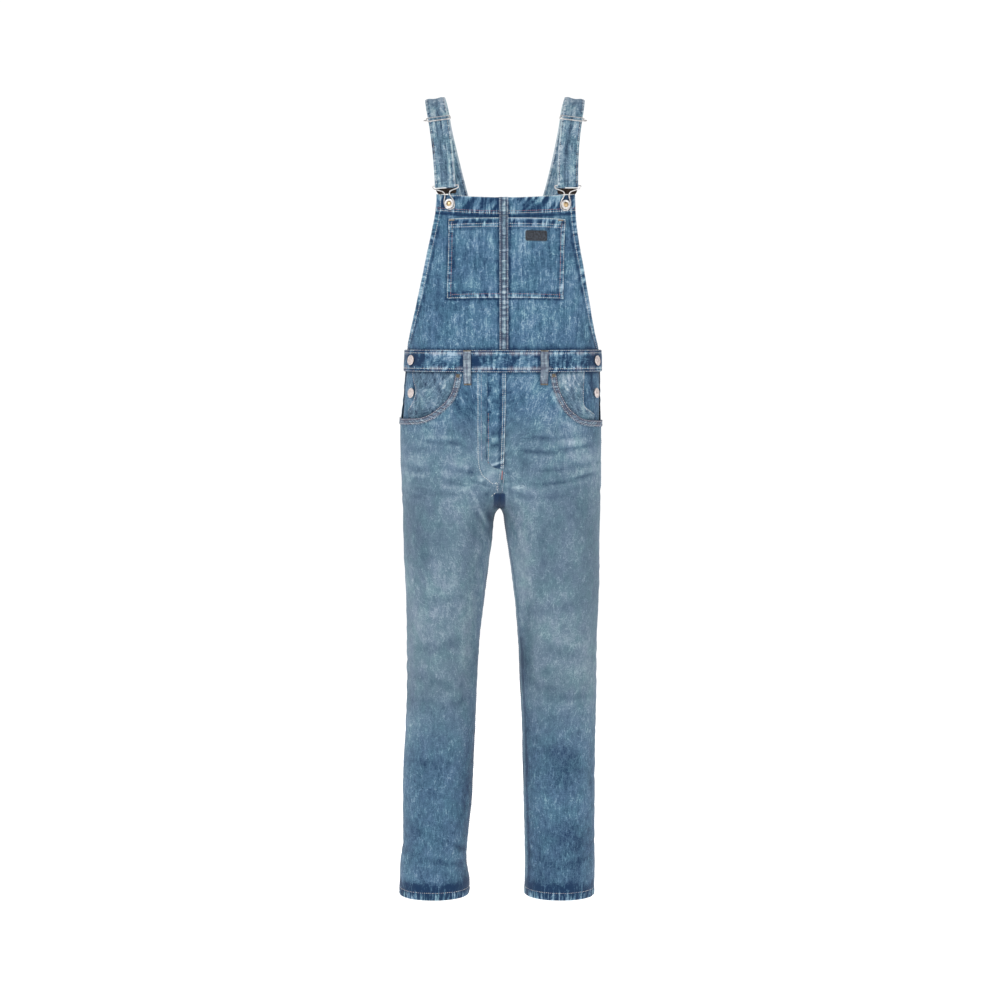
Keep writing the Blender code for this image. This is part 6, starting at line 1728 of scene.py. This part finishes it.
# ================================================================ wires and buttons
def tube(points, radius, sides=14, closed=False):
    """Vertices and faces of a round wire along a path."""
    points = np.asarray(points, float)
    if closed:
        along = unit(np.roll(points, -1, 0) - np.roll(points, 1, 0))
    else:
        along = unit(np.gradient(points, axis=0))
    first = np.zeros_like(points)
    guide = np.array((0.0, 1.0, 0.0)) if abs(along[0, 1]) < 0.9 else np.array((1.0, 0.0, 0.0))
    first[0] = unit(np.cross(along[0], guide))
    for index in range(1, len(points)):
        carried = first[index - 1] - along[index] * (first[index - 1] * along[index]).sum()
        first[index] = unit(carried)
    second = np.cross(along, first)
    turn = np.linspace(0, 2 * math.pi, sides + 1)[:-1]
    if closed:
        # The frame turns as it is carried round; the difference is shared out along the wire.
        carried = first[-1] - along[0] * (first[-1] * along[0]).sum()
        twist = math.atan2((carried * second[0]).sum(), (carried * first[0]).sum())
        share = np.linspace(0, 1, len(points) + 1)[:-1] * -twist
    else:
        share = np.zeros(len(points))
    angles = turn[None, :] + share[:, None]
    rings = points[:, None] + radius * (
        first[:, None] * np.cos(angles)[..., None] + second[:, None] * np.sin(angles)[..., None]
    )
    grid = np.arange(len(points) * sides).reshape(len(points), sides)
    after = np.roll(grid, -1, 1)
    here = grid if closed else grid[:-1]
    there = np.roll(grid, -1, 0) if closed else grid[1:]
    here_after = after if closed else after[:-1]
    there_after = np.roll(after, -1, 0) if closed else after[1:]
    quads = np.stack([here, there, there_after, here_after], -1).reshape(-1, 4)
    return rings.reshape(-1, 3), quads, grid


def wire_object(name, paths, radius, material):
    """One object from several wires; the open ones end in rounded tips."""
    points, quads, triangles = [], [], []
    count = 0
    for path, closed in paths:
        if not closed:
            path = np.asarray(path, float)
            ahead = unit(path[0] - path[1])
            behind = unit(path[-1] - path[-2])
            path = np.concatenate([[path[0]], path[1:-1], [path[-1]]])
        made, faces, grid = tube(path, radius, closed=closed)
        points.append(made)
        quads.append(faces + count)
        if not closed:
            tips = np.array([path[0] + ahead * radius * 0.5, path[-1] + behind * radius * 0.5])
            points.append(tips)
            tip = count + len(made)
            sides = grid.shape[1]
            for k in range(sides):
                triangles.append((tip, grid[0, k] + count, grid[0, (k + 1) % sides] + count))
                triangles.append((tip + 1, grid[-1, (k + 1) % sides] + count, grid[-1, k] + count))
            count += 2
        count += len(made)
    return make_mesh(name, np.concatenate(points), np.concatenate(quads), triangles, (material,))


def closed_curve(points, steps):
    points = np.asarray(points, float)
    wrapped = np.concatenate([points[-2:], points, points[:2]])
    made = smooth_curve(wrapped, steps)
    return made[2 * steps: -(2 * steps) - 1 + 0][: len(points) * steps]


def sliders(strap_parts):
    for side in SIDES:
        name = SIDE_NAME[side]
        path = strap_path(side)
        bar = strap_parts[side]["slider_bar"]
        p, n, a = path_at(path, SLIDER_REST)
        up = path_at(path, SLIDER_REST + 0.003)[0] - path_at(path, SLIDER_REST - 0.003)[0]
        up = unit(up - a * (up * a).sum())
        bar_rise = ((bar - p) * n).sum()
        reach, wide, eyelet = 0.0065, 0.0222, 0.0270
        low = return_rise(SLIDER_REST - reach) + SEAM_GAP + WIRE_RADIUS - bar_rise
        high = STRAP_THICK + SEAM_GAP + WIRE_RADIUS - bar_rise
        corners = (
            (-wide + 0.002, -reach, low), (0.0, -reach, low), (wide - 0.002, -reach, low),
            (eyelet - 0.001, -reach + 0.0015, low * 0.9), (eyelet, -reach + 0.0045, low * 0.6),
            (wide + 0.0005, 0.0, 0.0), (wide - 0.0005, reach * 0.7, high * 0.7),
            (wide - 0.003, reach, high), (0.0, reach, high), (-wide + 0.003, reach, high),
            (-wide + 0.0005, reach * 0.7, high * 0.7), (-wide, 0.0, 0.0),
            (-wide, -reach * 0.7, low * 0.7),
        )
        frame_path = [bar + a * w + up * d + n * o for w, d, o in corners]
        centre = [bar - a * wide, bar - a * wide * 0.5, bar, bar + a * wide * 0.5, bar + a * wide]
        made = wire_object("slider_wire_" + name, [(closed_curve(frame_path, 9), True), (centre, False)],
                           WIRE_RADIUS, materials["steel"])
        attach(made, "root")
        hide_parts("slider_" + name)


BUCKLE_HALF = (
    (0.0120, 0.0), (0.0225, 0.0), (0.0236, 0.0018), (0.0215, 0.0048),
    (0.0130, 0.0075), (0.0068, 0.0100), (0.0046, 0.0140), (0.0058, 0.0190),
    (0.0086, 0.0250), (0.0094, 0.0310), (0.0070, 0.0375),
)
BUCKLE_TOE = 0.0402
BIB_BUTTON = {RIGHT: (-0.0992, -0.2157), LEFT: (0.1129, -0.2168)}


def front_station(x, z):
    side, angle = signed(np.array(x), np.array(z))
    point, normal = station(side, angle, np.array(z))
    return point, normal


def buckles(strap_parts):
    for side in SIDES:
        name = SIDE_NAME[side]
        bar = strap_parts[side]["bar"]
        across_top = strap_path(side)[2][-1]
        seat, seat_normal = front_station(*BIB_BUTTON[side])
        target = seat + seat_normal * (WIRE_RADIUS + LOOSE_GAP)
        down = (target - bar) / BUCKLE_HALF[-2][1]
        low_across = unit(across_top - seat_normal * (across_top * seat_normal).sum())
        route = list(BUCKLE_HALF) + [(0.0, BUCKLE_TOE)] + [(-w, d) for w, d in reversed(BUCKLE_HALF)]
        points = []
        for w, d in route:
            part = float(rise(0.004, 0.016, d))
            across = across_top + (low_across - across_top) * part
            point = bar + down * d + across * w
            if point[2] < BIB_TOP_Z + BIB_CORNER_RISE:
                x = point[0] - float(centre_x(np.array(point[2])))
                foot, normal = front_station(x, point[2])
                height = ((point - foot) * normal).sum()
                point = point + normal * max(0.0, WIRE_RADIUS + LOOSE_GAP - height)
            points.append(point)
        made = wire_object("buckle_wire_" + name, [(closed_curve(points, 9), True)],
                           WIRE_RADIUS, materials["steel"])
        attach(made, "root")
        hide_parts("buckle_" + name)
        shade_plate(name, bar, down, across_top, seat_normal)


PLATE_TOP = 0.0042
PLATE_BOTTOM = 0.0138
PLATE_HALF = 0.0185
PLATE_THICK = 0.0008


def shade_plate(name, bar, down, across, outward):
    """A dark plate behind the buckle's wires between the strap and the bib, standing in for the shade in that gap.
    """
    down_length = (PLATE_BOTTOM - PLATE_TOP)
    rows = PLATE_TOP + spaced(down_length, 0.0012, PLATE_THICK / 2) * down_length
    columns = 2 * spaced(2 * PLATE_HALF, 0.0015, PLATE_THICK / 2) - 1
    row, column = np.meshgrid(rows, columns, indexing="ij")
    # Its lower corners are rounded off.
    low = (row - PLATE_TOP) / down_length
    width = PLATE_HALF * (1 - 0.16 * np.clip(low, 0, 1) ** 3)
    normal = unit(np.cross(across, unit(down)))
    normal = normal * np.sign((normal * outward).sum())
    middle = bar + down * row[..., None] + across * (column * width)[..., None]
    edge = np.minimum(np.minimum(row - rows[0], rows[-1] - row), PLATE_HALF * (1 - np.abs(column)))
    half = PLATE_THICK / 2 * (1 - edge_drop(edge, PLATE_THICK / 2))
    back = -(WIRE_RADIUS + 0.0001 + PLATE_THICK / 2)
    front_face = middle + normal * (back + half)[..., None]
    back_face = middle + normal * (back - half)[..., None]
    count = row.size
    grid = np.arange(count).reshape(row.shape)
    quads = []
    for shift, flip in ((0, False), (count, True)):
        ids = grid + shift
        made = np.stack([ids[:-1, :-1], ids[1:, :-1], ids[1:, 1:], ids[:-1, 1:]], -1).reshape(-1, 4)
        quads.append(made[:, ::-1] if flip else made)
    border = np.concatenate([grid[0, :-1], grid[:-1, -1], grid[-1, :0:-1], grid[:0:-1, 0]])
    after = np.roll(border, -1)
    quads.append(np.stack([border, after, after + count, border + count], -1))
    points = np.concatenate([front_face.reshape(-1, 3), back_face.reshape(-1, 3)])
    made = make_mesh("buckle_shade_plate_" + name, points, np.concatenate(quads), [], (materials["dark_metal"],))
    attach(made, "root")


def lathe(name, profile, base, axis, materials, centre=0.0, steps=48):
    """A round piece from (radius, height) pairs about an axis, with a second material in its centre."""
    axis = unit(np.asarray(axis, float))
    guide = np.array((0.0, 0.0, 1.0))
    first = unit(np.cross(axis, guide))
    second = np.cross(axis, first)
    turn = np.linspace(0, 2 * math.pi, steps + 1)[:-1]
    rings = []
    for radius, height in profile:
        rings.append(base + axis * height + radius * (
            np.outer(np.cos(turn), first) + np.outer(np.sin(turn), second)))
    points = np.concatenate(rings + [[base + axis * profile[0][1]], [base + axis * profile[-1][1]]])
    grid = np.arange(len(profile) * steps).reshape(len(profile), steps)
    after = np.roll(grid, -1, 1)
    quads = np.stack([grid[:-1], after[:-1], after[1:], grid[1:]], -1).reshape(-1, 4)
    foot, tip = len(profile) * steps, len(profile) * steps + 1
    triangles = [(foot, grid[0, (k + 1) % steps], grid[0, k]) for k in range(steps)]
    triangles += [(tip, grid[-1, k], grid[-1, (k + 1) % steps]) for k in range(steps)]
    inner = [height > profile[1][1] and radius < centre for radius, height in profile]
    inside = [inner[row] for row in range(len(profile) - 1) for _ in range(steps)]
    inside += [False] * steps + [inner[-1]] * steps
    return make_mesh(name, points, quads, triangles, materials, inside=inside)


BIB_BUTTON_PROFILE = (
    (0.0032, 0.0003), (0.0032, 0.0032), (0.0078, 0.0033), (0.0086, 0.0037), (0.0089, 0.0044),
    (0.0086, 0.0051), (0.0078, 0.0055), (0.0069, 0.0053), (0.0062, 0.0048), (0.0055, 0.0048),
    (0.0050, 0.0052), (0.0040, 0.0058), (0.0026, 0.0062), (0.0010, 0.0064),
)
SIDE_BUTTON_PROFILE = (
    (0.0036, 0.0016), (0.0086, 0.0018), (0.0092, 0.0022), (0.0094, 0.0029), (0.0090, 0.0036),
    (0.0081, 0.0040), (0.0072, 0.0039), (0.0066, 0.0037), (0.0050, 0.0042), (0.0030, 0.0046),
    (0.0010, 0.0048),
)
BUTTON_CENTRE = 0.0052
SIDE_BUTTONS = (
    ("side_button_upper_right", RIGHT, 0.1688, -0.4994, ON_BAND),
    ("side_button_upper_left", LEFT, 0.1698, -0.4997, ON_BAND),
    ("side_button_lower_right", RIGHT, 0.1734, -0.5601, -FACING_DEPTH),
    ("side_button_lower_left", LEFT, 0.1739, -0.5593, -FACING_DEPTH),
)


def buttons():
    for side in SIDES:
        seat, normal = front_station(*BIB_BUTTON[side])
        name = "bib_button_" + SIDE_NAME[side]
        made = lathe(name + "_cap", BIB_BUTTON_PROFILE, seat, normal,
                     (materials["steel"], materials["brass"]), centre=BUTTON_CENTRE)
        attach(made, "root")
        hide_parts(name)
    for name, side, x, z, rest in SIDE_BUTTONS:
        seat, normal = front_station(side * x, z)
        profile = SIDE_BUTTON_PROFILE
        if rest != ON_BAND:
            front = float(angle_at(side, PLACKET_FRONT_X[side], np.array(z)))
            angle = float(angle_at(side, x, np.array(z)))
            depth = float(placket_depth((front - angle) / (front - PLACKET_BACK_ANGLE)))
            profile = ((profile[0][0], -depth - rest + SEAM_GAP),) + profile
        else:
            profile = ((profile[0][0], SEAM_GAP),) + profile
        made = lathe(name + "_cap", profile, seat + normal * rest, normal, (materials["satin"],))
        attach(made, "root")
        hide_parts(name)


# ================================================================ stitching
def between(line, low, high):
    """The part of a line between two heights."""
    points, normals = line
    keep = (points[:, 2] > low) & (points[:, 2] < high)
    return points[keep], normals[keep]


def strap_line(part, face, at, rows):
    """A line along a strap, at a distance from its middle."""
    grid = part[face][:, :STRAP_COLUMNS]
    place = part["place"]
    low = int(np.clip(np.searchsorted(place, at) - 1, 0, STRAP_COLUMNS - 2))
    share = (at - place[low]) / (place[low + 1] - place[low])
    points = grid[rows, low] * (1 - share) + grid[rows, low + 1] * share
    normals = part["normal"][rows] * (1 if face == "upper" else -1)
    return points, normals


def strap_stitches(thread, part):
    path_rows = 2 * (len(STRAP) - 1) * STRAP_STEPS
    length = part["length"]
    single = np.flatnonzero(length < length[path_rows] - SLIDER_REST - 0.020)
    whole = np.arange(path_rows - 4)
    back = np.arange(path_rows + 2 * 14, path_rows + 2 * 72)
    for at in (-STRAP_INSET, STRAP_INSET):
        thread.sew(strap_line(part, "upper", at, single), 0.55)
        thread.sew(strap_line(part, "lower", at, whole), 0.55)
        thread.sew(strap_line(part, "lower", at, back), 0.55)
    # The box and cross that hold the strap on the back bib.
    box = np.flatnonzero((length > 0.004) & (length < 0.033))
    corners = (-0.0125, 0.0125)
    for at in corners:
        thread.sew(strap_line(part, "upper", at, box), 0.6)
    for row in (box[0], box[-1]):
        across = [strap_line(part, "upper", at, [row]) for at in np.linspace(*corners, 12)]
        thread.sew((np.concatenate([a[0] for a in across]), np.concatenate([a[1] for a in across])), 0.6)
    for direction in (1, -1):
        places = np.linspace(*corners, len(box)) * direction
        cross = [strap_line(part, "upper", at, [row]) for at, row in zip(places, box)]
        thread.sew((np.concatenate([a[0] for a in cross]), np.concatenate([a[1] for a in cross])), 0.6)


STRAP_INSET = STRAP_WIDTH / 2 - 0.0030
J_STITCH = ((-46, -529), (-46, -600), (-46, -650), (-45, -690), (-39, -713), (-28, -723), (-18, -731))
FLY_SEAM = ((-27, -600), (-27, -650), (-27, -694))
FRONT_SEAM = (((3, -708), (0, -730), (-2, -747)), ((-6, -708), (-8, -730), (-10, -747)))
LOOSE_STITCHES = (((-16, -731), (-11, -727)), ((-11, -727), (-11, -744)), ((-12, -745), (-24, -755)))
FLY_TACK = ((-2, -706), (-3, -722))
POCKET_TACKS = (((-99, -246), (-89, -246)), ((101, -246), (111, -246)))


def stitching():
    thread, tack = Thread(300), Thread(900)
    for side in SIDES:
        front, back = leg_parts[side]
        for cloth in (front, back):
            thread.sew(cloth.lined(HEM_STITCH, "bottom", 0.001, 0.001), 0.5)
        thread.sew(between(front.lined(0.0042, "left"), -0.750, -0.640), 0.45)
        for inset in (0.0025, 0.0085):
            thread.sew(between(back.lined(inset, "right"), HEM_Z + 0.001, -0.523), 0.4)
        band = band_parts[side]
        thread.sew(band.lined(0.0022, "left", 0.002, 0.002), 0.55)
        thread.sew(band.lined(0.0098, "left", 0.002, 0.002), 0.55)
        thread.sew(facing_parts[side].lined(0.0025, "right", 0.022, 0.004), 0.55)
        tack.tack(started(*band.lined(0.0060, "left"), 0.001, 0.010), 0.0080, 0.1)
        bib = bib_parts[side]
        for inset in (0.0020, 0.0105):
            thread.sew(bib.lined(inset, "right", 0.001, 0.027), 0.6)
        thread.sew(bib.lined(0.0014, "top", 0.009, 0.001), 0.8)
        tack.sew(bib.lined(0.0265, "top", 0.009, 0.001), 0.95)
        thread.sew(bib.lined(0.0305, "top", 0.009, 0.001), 0.8)
        strap_stitches(thread, strap_parts[side])
        for edge in ("left", "right"):
            thread.sew(strip_part.lined(0.0020, edge, 0.001, 0.001), 0.4)
    for face in (FRONT, BACK):
        for edge in ("top", "bottom"):
            thread.sew(waist_parts[face].lined(0.0018, edge, 0.001, 0.001), 0.6)
            thread.sew(waist_parts[face].lined(0.0068, edge, 0.001, 0.001), 0.7)
    for edge in ("left", "right", "bottom"):
        thread.sew(pocket_part.lined(0.0020, edge, 0.0020, 0.001), 0.7)
        tack.sew(pocket_part.lined(0.0080, edge, 0.0080, 0.001), 0.9)
    for inset in (0.0020, 0.0120, 0.0170):
        thread.sew(pocket_part.lined(inset, "top", 0.001, 0.001), 0.7)
    for inset in (0.0025, 0.0090):
        for edge in ("left", "right"):
            thread.sew(back_part.lined(inset, edge, 0.001, 0.026), 0.5)
        thread.sew(back_part.lined(inset, "top", 0.002, 0.002), 0.5)
    for inset in (0.0015, 0.0056):
        thread.sew(fly_part.lined(inset, "right", 0.001, 0.001), 0.85)
    fronts = [leg_parts[RIGHT][0], leg_parts[LEFT][0], fly_part]
    thread.sew(on_front(fronts, J_STITCH), 0.9)
    thread.sew(on_front(fronts, [(x + 6, z) for x, z in J_STITCH[:4]]), 0.35)
    for places in FRONT_SEAM:
        thread.sew(on_front(fronts, places), 0.45)
    for places in LOOSE_STITCHES:
        thread.sew(on_front(fronts, places), 1.0, stitch=0.0050)
    tack.sew(on_front(fronts, FLY_SEAM), 0.9)
    tack.tack(on_front(fronts, FLY_TACK), 0.0040, 0.95)
    for places in POCKET_TACKS:
        tack.tack(on_front([pocket_part], places), 0.0030, 0.5)
    for name, loop in loop_parts.items():
        for edge in ("top", "bottom"):
            tack.tack(trimmed(*loop.lined(0.0022, edge), 0.001, 0.001), 0.0028, 0.15)
    thread.finish("topstitching", materials["thread"])
    tack.finish("bar_tacks", materials["tack"])


# ================================================================ make everything
leg_parts = legs()
band_parts = mouth_bands()
facing_parts = facings()
plackets()
fly_part = fly()
waist_parts = waistbands()
loop_parts = belt_loops()
bib_parts = bib_halves()
pocket_part = bib_pocket()
strip_part = centre_strip()
back_part = back_bib()
strap_parts = straps()
sliders(strap_parts)
buckles(strap_parts)
buttons()
stitching()

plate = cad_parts["pocket_plaque"]
for slot in plate.material_slots:
    slot.material = materials["enamel"]

# ================================================================ floor, light and camera
FLOOR_Z = -1.74


def floor():
    mesh = bpy.data.meshes.new("floor")
    reach = 14.0
    mesh.from_pydata(
        [(-reach, -reach, FLOOR_Z), (reach, -reach, FLOOR_Z), (reach, reach, FLOOR_Z), (-reach, reach, FLOOR_Z)],
        [], [(0, 1, 2, 3)],
    )
    made = bpy.data.objects.new("floor", mesh)
    bpy.context.collection.objects.link(made)
    n = Nodes("pale_floor")
    n.shader.inputs["Base Color"].default_value = (0.92, 0.92, 0.92, 1.0)
    n.shader.inputs["Roughness"].default_value = 0.9
    n.shader.inputs["Emission Color"].default_value = (1.0, 1.0, 1.0, 1.0)
    n.shader.inputs["Emission Strength"].default_value = 0.5
    mesh.materials.append(n.material)


def softbox(name, place, target, size, watts):
    data = bpy.data.lights.new(name, "AREA")
    data.shape = "RECTANGLE"
    data.size, data.size_y = size
    data.energy = watts
    made = bpy.data.objects.new(name, data)
    made.location = place
    made.rotation_euler = (Vector(target) - Vector(place)).to_track_quat("-Z", "Y").to_euler()
    bpy.context.collection.objects.link(made)


def studio():
    world = bpy.data.worlds.new("studio")
    world.use_nodes = True
    bpy.context.scene.world = world
    tree = world.node_tree
    background = tree.nodes["Background"]
    background.inputs["Color"].default_value = (1.0, 1.0, 1.0, 1.0)
    path = tree.nodes.new("ShaderNodeLightPath")
    level = tree.nodes.new("ShaderNodeMapRange")
    level.inputs["To Min"].default_value = 0.62
    level.inputs["To Max"].default_value = 1.05
    tree.links.new(path.outputs["Is Camera Ray"], level.inputs["Value"])
    tree.links.new(level.outputs["Result"], background.inputs["Strength"])
    middle = (0.0, 0.0, -0.75)
    softbox("key", (-2.2, -3.6, 1.2), middle, (1.6, 2.4), 70)
    softbox("fill", (2.6, -3.2, 0.2), middle, (2.0, 2.6), 24)
    softbox("rear", (0.8, 4.2, 1.4), middle, (2.4, 2.4), 60)


def camera():
    data = bpy.data.cameras.new("camera")
    data.sensor_width = 36.0
    data.sensor_fit = "HORIZONTAL"
    data.lens = 36.0 * 3.0 / 1.9
    made = bpy.data.objects.new("camera", data)
    made.location = (-0.0057, -3.0, -0.76)
    made.rotation_euler = (math.pi / 2, 0.0, 0.0)
    bpy.context.collection.objects.link(made)
    bpy.context.scene.camera = made


floor()
studio()
camera()
bpy.context.scene.view_settings.view_transform = "Standard"
